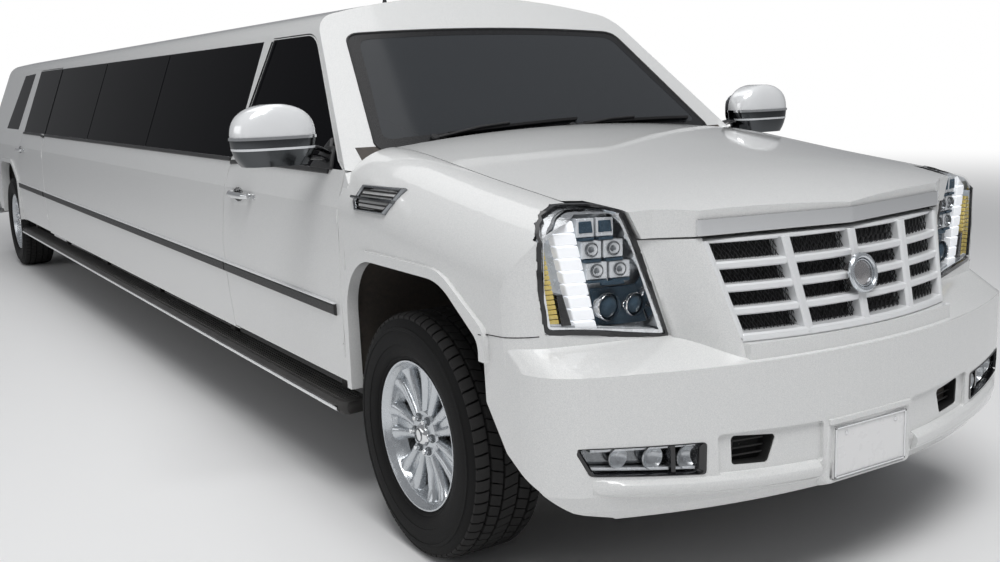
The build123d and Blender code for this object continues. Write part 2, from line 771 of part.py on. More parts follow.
# ---------------------------------------------------------------- wheel housings
def wheel_house(axle, inner):
    """Arched liner over a right-hand wheel."""
    skin_growth = HOUSE_REACH + ARCH_BACK
    with BuildPart() as house:
        outer = FENDER_FOOT_HALF - PANEL - 6.0 if inner == HOUSE_INNER else SILL_HALF - WALL
        add(arch(axle, skin_growth + HOUSE_WALL, inner, outer, HOUSE_FOOT_Z))
        add(arch(axle, skin_growth, inner - 10, FENDER_HALF, HOUSE_FOOT_Z - 10), mode=Mode.SUBTRACT)
        if inner == REAR_HOUSE_INNER:
            add(arch(axle, skin_growth + HOUSE_WALL, inner - HOUSE_WALL, inner, HOUSE_FOOT_Z))
            rocker = ((X_TAIL, rear(WHEELBASE)), (-WIDTH / 2, -CORE_HALF), (0, SILL_Z + ROCKER_RISE))
            add(block(*rocker), mode=Mode.SUBTRACT)
    return house.part


with BuildPart() as houses_right:
    add(wheel_house(X_FRONT, HOUSE_INNER))
    add(wheel_house(X_REAR, REAR_HOUSE_INNER))
save(pair(houses_right.part), "wheel_housings")

# ---------------------------------------------------------------- lamps
# outline across the car: y and z, on the right
HEADLAMP = (
    (-908.0, 842.0),
    (-924.0, 965.0),
    (-922.0, 1097.0),
    (-884.0, 1135.0),
    (-842.0, 1161.0),
    (-799.0, 1176.0),
    (-712.0, 1176.0),
    (-684.0, 1160.0),
    (-646.0, 1083.0),
    (-548.0, 798.0),
)
LENS = 5.0
LAMP_RIM = 20.0  # wall of the headlamp's bucket round its edge


def nose_solid(inset):
    """Closed solid of the nose behind its lamps' plane."""
    with BuildPart() as solid:
        add(clip(inset))
        add(lamp_block(inset), mode=Mode.INTERSECT)
    return solid.part


def headlamp_prism(grow):
    """Prism along the car in a headlamp's outline, grown by grow."""
    with BuildPart() as prism:
        with BuildSketch(Plane.YZ.offset(front(420.0))):
            with BuildLine():
                Polyline(*HEADLAMP, close=True)
            make_face()
            if grow:
                offset(amount=grow, kind=Kind.INTERSECTION, mode=Mode.REPLACE)
        extrude(amount=700.0)
    return prism.part


lamp_prism = headlamp_prism(0.0)
lamp_room = headlamp_prism(SHUT_GAP)
with BuildPart() as lens_right:
    add(nose_solid(0.0))
    add(nose_solid(LENS), mode=Mode.SUBTRACT)
    add(lamp_prism, mode=Mode.INTERSECT)
    add(block((front(440.0), X_NOSE), (-1100, 0), (0, HEIGHT)), mode=Mode.INTERSECT)
save(pair(lens_right.part), "headlamp_lenses")

with BuildPart() as bucket_right:
    add(nose_solid(LENS))
    add(lamp_prism, mode=Mode.INTERSECT)
    add(block((front(500.0), X_NOSE), (-1100, 0), (0, HEIGHT)), mode=Mode.INTERSECT)
    with BuildPart(mode=Mode.PRIVATE) as bowl:
        add(nose_solid(LENS))
        add(headlamp_prism(-LAMP_RIM), mode=Mode.INTERSECT)
        add(block((front(520.0), X_NOSE), (-WIDTH / 2, 0), (0, HEIGHT)), mode=Mode.INTERSECT)
    add(bowl.part, mode=Mode.SUBTRACT)
save(pair(bucket_right.part), "headlamp_housings")

# ---------------------------------------------------------------- hood


def hood_plan(grow):
    """Prism over the hood's plan, its front edge moved back by grow."""
    points = [(front(x) - grow, -y) for x, y in reversed(HOOD_NOSE)]
    points += [(front(x) - grow, y) for x, y in HOOD_NOSE[1:]]
    tip_x = HOOD_NOSE[-1][0]
    half = HOOD_HALF - SHUT_GAP + grow * 2
    rear_x = HOOD_REAR_X - grow * 2
    outline = [(rear_x, -half), (front(tip_x - 30.0) - grow, -half), *points]
    outline += [(front(tip_x - 30.0) - grow, half), (rear_x, half)]
    foot = HOOD_LIP_Z - 100.0 if grow > 0 else HOOD_LIP_Z
    with BuildPart() as prism:
        with BuildSketch(Plane.XY.offset(foot)):
            with BuildLine():
                Polyline(*outline, close=True)
            make_face()
        extrude(amount=HEIGHT - HOOD_LIP_Z)
    return prism.part


with BuildPart() as hood:
    add(clip(0.0))
    add(hood_plan(0.0), mode=Mode.INTERSECT)
    with BuildPart(mode=Mode.PRIVATE) as hood_core:
        add(clip(PANEL))
        add(hood_plan(HOOD_LIP_WALL), mode=Mode.INTERSECT)
    add(hood_core.part, mode=Mode.SUBTRACT)
    add(lamp_room, mode=Mode.SUBTRACT)
    add(mirrored(lamp_room), mode=Mode.SUBTRACT)
    for side in (-1, 1):
        y = side * HOOD_HINGE_HALF
        span = (y - HOOD_STRAP / 2 - RUNNING_FIT, y + HOOD_STRAP / 2 + RUNNING_FIT)
        slot_x = (HOOD_HINGE_X - 20.0, HOOD_HINGE_X + 10.0)
        add(block(slot_x, span, (1200.0, HOOD_HINGE_Z)), mode=Mode.SUBTRACT)
        with Locations(Location((HOOD_HINGE_X, y, HOOD_HINGE_Z), (90, 0, 0))):
            Cylinder(9.0, HOOD_STRAP + 2 * RUNNING_FIT, mode=Mode.SUBTRACT)
            Cylinder(5.0 + RUNNING_FIT, HOOD_STRAP * 3 + 2 * RUNNING_FIT, mode=Mode.SUBTRACT)
save(hood.part, "hood")

# chrome header along the hood's front lip: columns x from the front axle and y
with BuildPart() as header:
    add(block((front(700.0), X_NOSE), (-508.0, 508.0), (HOOD_LIP_Z + 2.0, HOOD_LIP_Z + 46.0)))
    add(hood_plan(-8.0), mode=Mode.INTERSECT)
    add(hood_plan(0.0), mode=Mode.SUBTRACT)
save(header.part, "grille_header")


# ---------------------------------------------------------------- fenders
fender_x = (FRONT_EDGE + SHUT_GAP, X_NOSE)
with BuildPart() as fender:
    add(clip_shell.part)
    with BuildPart(mode=Mode.PRIVATE) as lower_side:
        add(clip(0.0))
        add(clip(PANEL), mode=Mode.SUBTRACT)
        low_z = (SILL_Z, NOSE_FOOT_Z + BITE / 2)
        add(block((FRONT_EDGE + SHUT_GAP, X_FRONT), (-1100, 0), low_z), mode=Mode.INTERSECT)
    add(lower_side.part)
    add(block(fender_x, (-1100, -HOOD_HALF), (SILL_Z, HEIGHT)), mode=Mode.INTERSECT)
    add(arch(X_FRONT, 0.0, 500.0, 1100.0, 300.0), mode=Mode.SUBTRACT)
    add(lamp_prism, mode=Mode.SUBTRACT)
    with BuildPart(mode=Mode.PRIVATE) as lip:
        add(arch_lip(X_FRONT, SILL_Z))
        add(block((X_FRONT, X_NOSE), (-1100, 0), (0, NOSE_FOOT_Z)), mode=Mode.SUBTRACT)
    add(lip.part)
save(pair(fender.part), "front_fenders")

# ---------------------------------------------------------------- nose panel and grille
GRILLE_OUTLINE = (
    (-GRILLE_HALF_TOP, GRILLE_HEAD_Z),
    (GRILLE_HALF_TOP, GRILLE_HEAD_Z),
    (GRILLE_HALF_FOOT, GRILLE_FOOT_Z),
    (-GRILLE_HALF_FOOT, GRILLE_FOOT_Z),
)


def grille_prism(shrink):
    """Prism along the car in the grille's outline."""
    points = [
        (y - math.copysign(shrink, y), z - shrink if z == GRILLE_HEAD_Z else z + shrink)
        for y, z in GRILLE_OUTLINE
    ]
    return front_prism(points, radius=24.0, start=front(600.0), depth=500.0)


def grille_layer(near, far):
    """Curved, leaning layer of the grille between two depths behind its face."""
    lean = Vector(GRILLE_FACE_HEAD - GRILLE_FACE_FOOT, 0, GRILLE_HEAD_Z - GRILLE_FOOT_Z)
    face = Plane(origin=(front(GRILLE_FACE_FOOT), 0, GRILLE_FOOT_Z), x_dir=(0, 1, 0), z_dir=lean.normalized())
    half = 600.0
    fall = GRILLE_CURVE - math.sqrt(GRILLE_CURVE**2 - half**2)
    with BuildPart() as layer:
        with BuildSketch(face.offset(-80.0)):
            with BuildLine():
                ThreePointArc((-half, near + fall), (0, near), (half, near + fall))
                Line((half, near + fall), (half, far + fall))
                ThreePointArc((half, far + fall), (0, far), (-half, far + fall))
                Line((-half, far + fall), (-half, near + fall))
            make_face()
        extrude(amount=480.0)
    return layer.part


with BuildPart() as nose_panel:
    add(clip_shell.part)
    nose_z = (NOSE_FOOT_Z, HOOD_LIP_Z - SHUT_GAP)
    add(block((front(480.0), X_NOSE), (-HOOD_HALF, HOOD_HALF), nose_z), mode=Mode.INTERSECT)
    add(lamp_prism, mode=Mode.SUBTRACT)
    add(mirrored(lamp_prism), mode=Mode.SUBTRACT)
    add(grille_prism(0.0), mode=Mode.SUBTRACT)
save(nose_panel.part, "nose_panel")

with BuildPart() as grille:
    with BuildPart(mode=Mode.PRIVATE) as surround:
        add(grille_layer(0.0, 400.0))
        add(lamp_block(PANEL), mode=Mode.SUBTRACT)
        add(grille_prism(0.0), mode=Mode.INTERSECT)
        add(grille_prism(GRILLE_RIM), mode=Mode.SUBTRACT)
    add(surround.part)
    with BuildPart(mode=Mode.PRIVATE) as bars:
        pitch_y = 2 * (GRILLE_HALF_TOP - GRILLE_RIM) / GRILLE_COLUMNS
        for column in range(1, GRILLE_COLUMNS):
            y = pitch_y * (column - GRILLE_COLUMNS / 2)
            upright = (y - GRILLE_BAR / 2, y + GRILLE_BAR / 2)
            add(block((front(700.0), X_NOSE), upright, (GRILLE_FOOT_Z, GRILLE_HEAD_Z)))
        pitch_z = (GRILLE_HEAD_Z - GRILLE_FOOT_Z - 2 * GRILLE_RIM) / GRILLE_ROWS
        for row in range(1, GRILLE_ROWS):
            z = GRILLE_FOOT_Z + GRILLE_RIM + pitch_z * row
            span = (-GRILLE_HALF_TOP, GRILLE_HALF_TOP)
            add(block((front(700.0), X_NOSE), span, (z - GRILLE_BAR / 2, z + GRILLE_BAR / 2)))
        add(grille_layer(10.0, 34.0), mode=Mode.INTERSECT)
        add(grille_prism(GRILLE_RIM - BITE), mode=Mode.INTERSECT)
    add(bars.part)
save(grille.part, "grille")


# ---------------------------------------------------------------- front bumper
def nose_plan(face, end, corner_mid, corner_end):
    """Plan of the nose, back to the bumper's rear edge."""
    with BuildSketch(mode=Mode.PRIVATE) as plan:
        with BuildLine():
            arc = ThreePointArc((end[0], -end[1]), (face, 0), end)
            left = ThreePointArc(end, corner_mid, corner_end)
            right = ThreePointArc((corner_end[0], -corner_end[1]), (corner_mid[0], -corner_mid[1]), arc @ 0)
            back = front(BUMPER_BACK)
            Polyline(left @ 1, (back, corner_end[1]), (back, -corner_end[1]), right @ 0)
        make_face()
    return plan.sketch


def bumper_plan(inset):
    """Plan of the bumper's face, drawn in by inset."""
    end = (front(BUMPER_END[0]) - inset, BUMPER_END[1])
    mid = (front(BUMPER_CORNER_MID[0]) - inset * 0.7, BUMPER_CORNER_MID[1] - inset * 0.7)
    side = (front(BUMPER_CORNER_END[0]), BUMPER_CORNER_END[1] - inset)
    return nose_plan(front(BUMPER_MID) - inset, end, mid, side)


def bumper_block(inset, low, high):
    """Everything inside the front bumper's upright face between two heights."""
    with BuildPart() as solid:
        with BuildSketch(Plane.XY.offset(low)):
            add(bumper_plan(inset))
        extrude(amount=high - low)
    return solid.part


def bumper_solid(inset, low, high):
    """Solid inside the bumper's face with its lower lip, drawn in by inset."""
    draws = [(low, BUMPER_LIP[0][1])]
    draws += [(BUMPER_FOOT_Z + rise, draw) for rise, draw in BUMPER_LIP[1:]] + [(high, 0.0)]
    with BuildPart() as solid:
        for height, draw in draws:
            with BuildSketch(Plane.XY.offset(height)):
                add(bumper_plan(draw + inset))
        loft(ruled=True)
    return solid.part


def shoulder():
    """Wedge on top of the bumper that slopes back to the lamps' plane."""
    end = (front(LAMP_PLANE_END[0]), LAMP_PLANE_END[1])
    mid = (front(LAMP_CORNER_MID[0]), LAMP_CORNER_MID[1])
    side = (front(LAMP_CORNER_END[0]), BUMPER_CORNER_END[1])
    with BuildPart() as wedge:
        with BuildSketch(Plane.XY.offset(NOSE_FOOT_Z - BITE)):
            add(bumper_plan(0.0))
        with BuildSketch(Plane.XY.offset(NOSE_FOOT_Z + SHOULDER_RISE)):
            add(nose_plan(front(LAMP_PLANE_MID), end, mid, side))
        loft(ruled=True)
        add(lamp_block(0.0).moved(Location((0, 0, -2 * BITE))), mode=Mode.SUBTRACT)
        add(grille_prism(0.0), mode=Mode.SUBTRACT)
    return wedge.part.solids().sort_by(SortBy.VOLUME)[-1]


# wheel opening in the bumper's sides: x from the front axle and z
BUMPER_SIDE_CUT = (
    (400.0, 760.0),
    (458.0, 760.0),
    (466.0, 625.0),
    (567.0, 500.0),
    (701.0, 427.0),
    (812.0, 330.0),
    (812.0, 290.0),
    (400.0, 290.0),
)
INTAKE = ((-345.0, 530.0), (-488.0, 544.0), (-484.0, 460.0), (-372.0, 452.0))
FOG_LAMP = ((-566.0, 540.0), (-912.0, 554.0), (-874.0, 475.0), (-568.0, 449.0))
PLATE_HALF = 152.5
PLATE_Z = (366.0, 518.0)
BAND = ((-190.0, 546.0), (-534.0, 556.0), (-530.0, 440.0), (-190.0, 425.0))

intake_prism = front_prism(INTAKE, radius=12.0, start=front(640.0), depth=500.0)
fog_prism = front_prism(FOG_LAMP, radius=14.0, start=front(640.0), depth=500.0)
with BuildPart() as band:
    add(front_prism(BAND, radius=12.0, start=front(640.0), depth=500.0))
    add(bumper_block(BAND_DEPTH, BUMPER_FOOT_Z, NOSE_FOOT_Z), mode=Mode.SUBTRACT)
plate_box = block((front(BUMPER_MID - 10.0), front(BUMPER_MID)), (-PLATE_HALF, PLATE_HALF), PLATE_Z)

with BuildPart() as bumper:
    add(bumper_solid(0.0, BUMPER_FOOT_Z, NOSE_FOOT_Z))
    add(bumper_solid(PANEL, BUMPER_FOOT_Z - 10.0, NOSE_FOOT_Z - PANEL), mode=Mode.SUBTRACT)
    with BuildPart(mode=Mode.PRIVATE) as shelf_room:
        add(lamp_block(SHELF_LAP).moved(Location((0, 0, -SHELF_LAP))))
        inner_half = BUMPER_HALF - PANEL - 4.0
        add(block((front(0.0), X_NOSE), (-inner_half, inner_half), (0, HEIGHT)), mode=Mode.INTERSECT)
    add(shelf_room.part, mode=Mode.SUBTRACT)
    add(shoulder())
    with BuildPart(mode=Mode.PRIVATE) as plinth:
        add(bumper_block(16.0, NOSE_FOOT_Z - BITE, GRILLE_FOOT_Z))
        below_grille = ((front(600.0), X_NOSE), (-GRILLE_HALF_FOOT, GRILLE_HALF_FOOT), (0, HEIGHT))
        add(block(*below_grille), mode=Mode.INTERSECT)
        add(lamp_block(0.0), mode=Mode.SUBTRACT)
    add(plinth.part)
    cut = side_prism([(front(x), z) for x, z in BUMPER_SIDE_CUT], low=790.0)
    for tool in (cut, intake_prism, fog_prism, band.part):
        add(tool, mode=Mode.SUBTRACT)
        add(mirrored(tool), mode=Mode.SUBTRACT)
    add(plate_box, mode=Mode.SUBTRACT)
save(bumper.part, "front_bumper")
save(plate_box, "licence_plate")

with BuildPart() as fog_right:
    add(bumper_block(4.0, BUMPER_FOOT_Z, NOSE_FOOT_Z))
    add(bumper_block(PANEL, BUMPER_FOOT_Z - 10.0, NOSE_FOOT_Z + 10.0), mode=Mode.SUBTRACT)
    add(fog_prism, mode=Mode.INTERSECT)
save(pair(fog_right.part), "fog_lamps")

# ---------------------------------------------------------------- tail
TAIL_DEPTH = 40.0
tail_lamp_box = block((X_TAIL - 100, X_TAIL + 330.0), (-1100.0, -TAIL_LAMP[0]), TAIL_LAMP[2:])
with BuildPart() as tail_lamp:
    add(CABIN_SKIN)
    add(cabin(TAIL_DEPTH), mode=Mode.SUBTRACT)
    add(tail_lamp_box, mode=Mode.INTERSECT)
save(pair(tail_lamp.part), "tail_lamps")

TAIL_LEAN = (TAIL_TOP_X - TAIL_PANEL_X) / (RAIL_Z - BELT_Z)
GATE_HINGE_Z = TAILGATE_HEAD_Z - SHUT_GAP / 2 - HINGE_INSET
GATE_HINGE_X = TAIL_PANEL_X + (GATE_HINGE_Z - BELT_Z) * TAIL_LEAN + HINGE_INSET + 1.0
GATE_HINGE_HALF = 450.0


def gate_prism(grow, foot, head):
    """Prism along the tail in the tailgate's outline."""
    slope = (TAILGATE_HALF_FOOT - TAILGATE_HALF_HEAD) / (TAILGATE_HEAD_Z - BELT_Z)
    high_half = TAILGATE_HALF_FOOT - slope * (head - BELT_Z)
    low_half = TAILGATE_HALF_FOOT - slope * max(foot - BELT_Z, 0.0)
    right = [(low_half + grow, foot - grow), (high_half + grow, head + grow)]
    if foot < BELT_Z:
        right.insert(1, (TAILGATE_HALF_FOOT + grow, BELT_Z))
    points = right + [(-y, z) for y, z in reversed(right)]
    return front_prism(points, start=X_TAIL - 60.0, depth=460.0)


with BuildPart() as gate_glass:
    add(cabin_glazing.part)
    add(gate_prism(-14.0, TAIL_GLASS_FOOT_Z, TAIL_GLASS_HEAD_Z), mode=Mode.INTERSECT)
save(gate_glass.part, "tailgate_glass")

with BuildPart() as gate:
    add(cabin_shell.part)
    add(gate_prism(-SHUT_GAP / 2, TAILGATE_FOOT_Z, TAILGATE_HEAD_Z), mode=Mode.INTERSECT)
    with BuildPart(mode=Mode.PRIVATE) as gate_reach:
        add(block((X_TAIL - 100, X_TAIL + 500), (-1100, 1100), (0, GATE_HINGE_Z)))
        with Locations(Location((GATE_HINGE_X, 0, GATE_HINGE_Z), (90, 0, 0))):
            Cylinder(HINGE_INSET, WIDTH)
    add(gate_reach.part, mode=Mode.INTERSECT)
    add(gate_glass.part, mode=Mode.SUBTRACT)
    add(gate_prism(-14.0 - FRAME_BAND, TAIL_GLASS_FOOT_Z, TAIL_GLASS_HEAD_Z), mode=Mode.SUBTRACT)
    for side in (-1, 1):
        y = side * GATE_HINGE_HALF
        span = (y - HOOD_STRAP / 2 - RUNNING_FIT, y + HOOD_STRAP / 2 + RUNNING_FIT)
        reach_x = (GATE_HINGE_X - 12.0, GATE_HINGE_X + 90.0)
        add(block(reach_x, span, (GATE_HINGE_Z - 12.0, HEIGHT)), mode=Mode.SUBTRACT)
        with Locations(Location((GATE_HINGE_X, y, GATE_HINGE_Z), (90, 0, 0))):
            Cylinder(HINGE_PIN + RUNNING_FIT, HOOD_STRAP * 3 + 2 * RUNNING_FIT, mode=Mode.SUBTRACT)
save(gate.part, "tailgate")

with BuildPart() as roof_panel:
    add(roof.part)
    for side in (-1, 1):
        y = side * GATE_HINGE_HALF
        span = (y - HOOD_STRAP / 2, y + HOOD_STRAP / 2)
        with Locations(Location((GATE_HINGE_X, y, GATE_HINGE_Z), (90, 0, 0))):
            Cylinder(HINGE_PIN, HOOD_STRAP * 3)
            Cylinder(HINGE_INSET - 1.0, HOOD_STRAP)
        add(block((GATE_HINGE_X, GATE_HINGE_X + 45.0), span, (GATE_HINGE_Z - 9.0, GATE_HINGE_Z + 9.0)))
        riser_z = (GATE_HINGE_Z - 9.0, ROOF_SPLIT_Z + BITE)
        add(block((GATE_HINGE_X + 27.0, GATE_HINGE_X + 45.0), span, riser_z))
save(roof_panel.part, "roof_panel")

# ---------------------------------------------------------------- body sides, finished
with BuildPart() as body_side:
    add(side_right.part.solids().sort_by(SortBy.VOLUME)[-1])
    add(fender.part, mode=Mode.SUBTRACT)
    add(tail_lamp.part, mode=Mode.SUBTRACT)
    add(gate_prism(SHUT_GAP / 2, TAILGATE_FOOT_Z - 20.0, ROOF_SPLIT_Z + 20.0), mode=Mode.SUBTRACT)
    add(arch_lip(X_REAR, SILL_Z))
    add(hinge_brackets(FRONT_EDGE))
    add(hinge_brackets(REAR_EDGE))
save(body_side.part, "body_side_right")
save(mirrored(body_side.part), "body_side_left")

# ---------------------------------------------------------------- rear bumper
with BuildPart() as rear_bumper:
    reach = 300.0
    with BuildSketch(Plane.XY.offset(REAR_BUMPER_FOOT_Z)):
        add(tail_plan(TAIL_PANEL_X, 0.0))
        add(tail_plan(X_TAIL, -6.0), mode=Mode.SUBTRACT)
    extrude(amount=REAR_BUMPER_HEAD_Z - REAR_BUMPER_FOOT_Z)
    add(block((X_TAIL - 10, X_TAIL + reach), (-1000, 1000), (0, HEIGHT)), mode=Mode.INTERSECT)
    hitch_room = ((X_TAIL - 10, X_TAIL + 200), (-46.0, 46.0), (0, FRAME_Z + KICK_RISE + 10.0))
    add(block(*hitch_room), mode=Mode.SUBTRACT)
save(rear_bumper.part, "rear_bumper")

# ---------------------------------------------------------------- frame
# places of the cross members along the car
CROSS_MEMBERS = (
    front(560.0),
    front(-40.0),
    front(-760.0),
    front(-2000.0),
    front(-3300.0),
    rear(2400.0),
    rear(1200.0),
)
CROSS_LENGTH = 90.0
CROSS_DROP = 70.0
SHAFT_RADIUS = 48.0
SHAFT_Z = 396.0
AXLE_Z = TYRE_RADIUS

RAIL_SIDE = (
    (front(FRAME_FRONT - 40.0), FRAME_Z),
    (front(FRAME_FRONT - 40.0), FRAME_TOP),
    (REAR_FLOOR_START - FLOOR_THICK, FRAME_TOP),
    (rear(KICK_END - 40.0), REAR_FLOOR_Z),
    (X_TAIL + 170.0, REAR_FLOOR_Z),
    (X_TAIL + 170.0, FRAME_Z + KICK_RISE),
    (rear(KICK_END - 100.0), FRAME_Z + KICK_RISE),
    (REAR_FLOOR_START - FLOOR_THICK - 30.0, FRAME_Z),
)
TAIL_MEMBER_X = (X_TAIL + 170.0, X_TAIL + 250.0)
NOSE_MEMBER_X = (front(FRAME_FRONT - 40.0), front(FRAME_FRONT - 15.0))
NOSE_MEMBER_Z = (BUMPER_FOOT_Z + BUMPER_LIP[-1][0] + 10.0, FRAME_TOP + 90.0)  # clear of the bumper's lower lip
SHAFT_ROOM = SHAFT_RADIUS + 12.0
RECEIVER_X = (X_TAIL + 30.0, X_TAIL + 250.0)
RECEIVER_WALL = 12.5
rail = side_prism(RAIL_SIDE, low=RAIL_OUT - RAIL_WIDTH, high=RAIL_OUT)
save(pair(rail), "chassis_rails")

with BuildPart() as members:
    span = (RAIL_WIDTH - RAIL_OUT, RAIL_OUT - RAIL_WIDTH)
    for x in CROSS_MEMBERS:
        add(block((x - CROSS_LENGTH / 2, x + CROSS_LENGTH / 2), span, (FRAME_TOP - CROSS_DROP, FRAME_TOP)))
    add(block(TAIL_MEMBER_X, span, (FRAME_Z + KICK_RISE, REAR_FLOOR_Z)))
    add(block(NOSE_MEMBER_X, (-560.0, 560.0), NOSE_MEMBER_Z))
    with Locations(Location((0, 0, SHAFT_Z), (0, 90, 0))):
        Cylinder(SHAFT_ROOM, 2 * front(-200.0), mode=Mode.SUBTRACT)
    # receiver tube for a tow hitch, square bore open to the rear
    hitch = HITCH_BORE / 2
    outer = hitch + RECEIVER_WALL
    hitch_z = FRAME_Z + KICK_RISE - outer + 1.0
    add(block(RECEIVER_X, (-outer, outer), (hitch_z - outer, FRAME_Z + KICK_RISE + BITE)))
    add(
        block((X_TAIL + 20.0, X_TAIL + 200.0), (-hitch, hitch), (hitch_z - hitch, hitch_z + hitch)),
        mode=Mode.SUBTRACT,
    )
save(members.part, "cross_members")

# ---------------------------------------------------------------- suspension and axles
LOW_EYE_Z = AXLE_Z - ARM_RISE
HIGH_EYE_Z = AXLE_Z + ARM_RISE


def control_arm(eye_z, root_z):
    """Right-hand wishbone from the frame rail out to the kingpin."""
    half = ARM_THICK / 2
    with BuildPart() as arm:
        with BuildSketch(Plane.YZ.offset(X_FRONT - 55.0)):
            with BuildLine():
                Polyline(
                    (-RAIL_OUT, root_z - half),
                    (-RAIL_OUT, root_z + half),
                    (-KINGPIN_HALF + 60.0, eye_z + half),
                    (-KINGPIN_HALF, eye_z + half),
                    (-KINGPIN_HALF, eye_z - half),
                    (-KINGPIN_HALF + 60.0, eye_z - half),
                    close=True,
                )
            make_face()
        extrude(amount=110.0)
        with Locations((X_FRONT, -KINGPIN_HALF, eye_z)):
            Cylinder(55.0, ARM_THICK)
            Cylinder(KINGPIN_RADIUS + RUNNING_FIT, ARM_THICK, mode=Mode.SUBTRACT)
    return arm.part


with BuildPart() as suspension:
    add(control_arm(LOW_EYE_Z, FRAME_Z + 40.0))
    add(control_arm(HIGH_EYE_Z, FRAME_TOP + 110.0))
    tower = ((X_FRONT - 80.0, X_FRONT + 80.0), (-RAIL_OUT, -RAIL_OUT + 60.0), (FRAME_TOP, FRAME_TOP + 150.0))
    add(block(*tower))
save(pair(suspension.part), "front_suspension")

# engine and gearbox as one plain block
with BuildPart() as engine:
    add(block((front(-420.0), front(380.0)), (-320.0, 320.0), (FRAME_TOP, 1060.0)))
    add(block((front(-1000.0), front(-30.0)), (-130.0, 130.0), (340.0, 450.0)))
    add(block((front(-420.0), front(-90.0)), (-130.0, 130.0), (440.0, 480.0)))
    for x in CROSS_MEMBERS:
        half = CROSS_LENGTH / 2 + BITE
        member_z = (FRAME_TOP - CROSS_DROP - BITE, FRAME_TOP)
        add(block((x - half, x + half), (-RAIL_OUT, RAIL_OUT), member_z), mode=Mode.SUBTRACT)
save(engine.part, "engine_block")


def wheel_place(axle, half_track):
    """Centre of a right-hand wheel."""
    return Vector(axle, -half_track, AXLE_Z)


with BuildPart() as knuckle:
    rise = ARM_RISE - ARM_THICK / 2 - RUNNING_FIT
    with Locations((X_FRONT, -KINGPIN_HALF, AXLE_Z)):
        Cylinder(30.0, 2 * rise)
        Cylinder(KINGPIN_RADIUS, 2 * (rise + ARM_THICK))
    with Locations(Location((X_FRONT, -KINGPIN_HALF, AXLE_Z), (90, 0, 0))):
        Cylinder(SPINDLE_RADIUS, FRONT_TRACK / 2 + SPINDLE_REACH - KINGPIN_HALF, align=FROM_BASE)
    add(
        block(
            (X_FRONT - 150.0, X_FRONT),
            (-KINGPIN_HALF - 14.0, -KINGPIN_HALF + 14.0),
            (AXLE_Z - 90.0, AXLE_Z - 62.0),
        )
    )
save(knuckle.part, "knuckle_right")
save(mirrored(knuckle.part), "knuckle_left")

with BuildPart() as rear_axle:
    tube_end = REAR_TRACK / 2 - 46.0
    with Locations(Location((X_REAR, 0, AXLE_Z), (90, 0, 0))):
        Cylinder(45.0, 2 * tube_end)
        Cylinder(SPINDLE_RADIUS, REAR_TRACK + 2 * SPINDLE_REACH)
    with Locations(Location((X_REAR + 30.0, 0, AXLE_Z - 42.0), (0, 90, 0))):
        Cylinder(98.0, 240.0)
    for side in (-1, 1):
        y = side * (RAIL_OUT - RAIL_WIDTH / 2)
        with Locations((X_REAR, y, AXLE_Z + 30.0)):
            Cylinder(36.0, FRAME_Z + KICK_RISE - AXLE_Z - 30.0, align=FROM_BASE)
        link_y = sorted((side * RAIL_OUT, side * (RAIL_OUT + 40.0)))
        add(block((X_REAR, REAR_FLOOR_START - 10.0), link_y, (AXLE_Z - 66.0, AXLE_Z - 24.0)))
save(rear_axle.part, "rear_axle")

with BuildPart() as shaft:
    start = rear(30.0 + 120.0)
    with Locations(Location((start, 0, SHAFT_Z), (0, 90, 0))):
        Cylinder(SHAFT_RADIUS, front(-1000.0) - start, align=FROM_BASE)
save(shaft.part, "drive_shaft")

# ---------------------------------------------------------------- wheels and tyres
# half profiles as (outward, radius)
RIM_PROFILE = (
    (111.0, RIM_RADIUS),
    (103.0, RIM_RADIUS),
    (98.0, SEAT_RADIUS),
    (60.0, SEAT_RADIUS),
    (46.0, BARREL_RADIUS + 7.0),
    (-60.0, BARREL_RADIUS + 7.0),
    (-74.0, SEAT_RADIUS),
    (-98.0, SEAT_RADIUS),
    (-103.0, RIM_RADIUS),
    (-111.0, RIM_RADIUS),
    (-111.0, RIM_RADIUS - 8.0),
    (-104.0, SEAT_RADIUS - 8.0),
    (-70.0, SEAT_RADIUS - 8.0),
    (-60.0, BARREL_RADIUS),
    (46.0, BARREL_RADIUS),
    (60.0, SEAT_RADIUS - 8.0),
    (98.0, SEAT_RADIUS - 8.0),
    (111.0, RIM_RADIUS - 8.0),
)
TYRE_HALF_PROFILE = (
    (97.0, SEAT_RADIUS),
    (97.0, RIM_RADIUS + 3.0),
    (124.0, 286.0),
    (TYRE_WIDTH / 2, 322.0),
    (122.0, 378.0),
    (104.0, TYRE_RADIUS - 4.0),
    (88.0, TYRE_RADIUS),
)
SPOKE_FACE = (60.0, 90.0)


def spun(profile, centre):
    """Ring spun about a wheel's axle from a profile of (outward, radius)."""
    with BuildPart() as ring:
        with BuildSketch(Plane.YZ.offset(centre.X)):
            with BuildLine():
                points = [(centre.Y - outward, centre.Z + radius) for outward, radius in profile]
                Polyline(*points, close=True)
            make_face()
        revolve(axis=Axis((centre.X, centre.Y, centre.Z), (0, 1, 0)))
    return ring.part


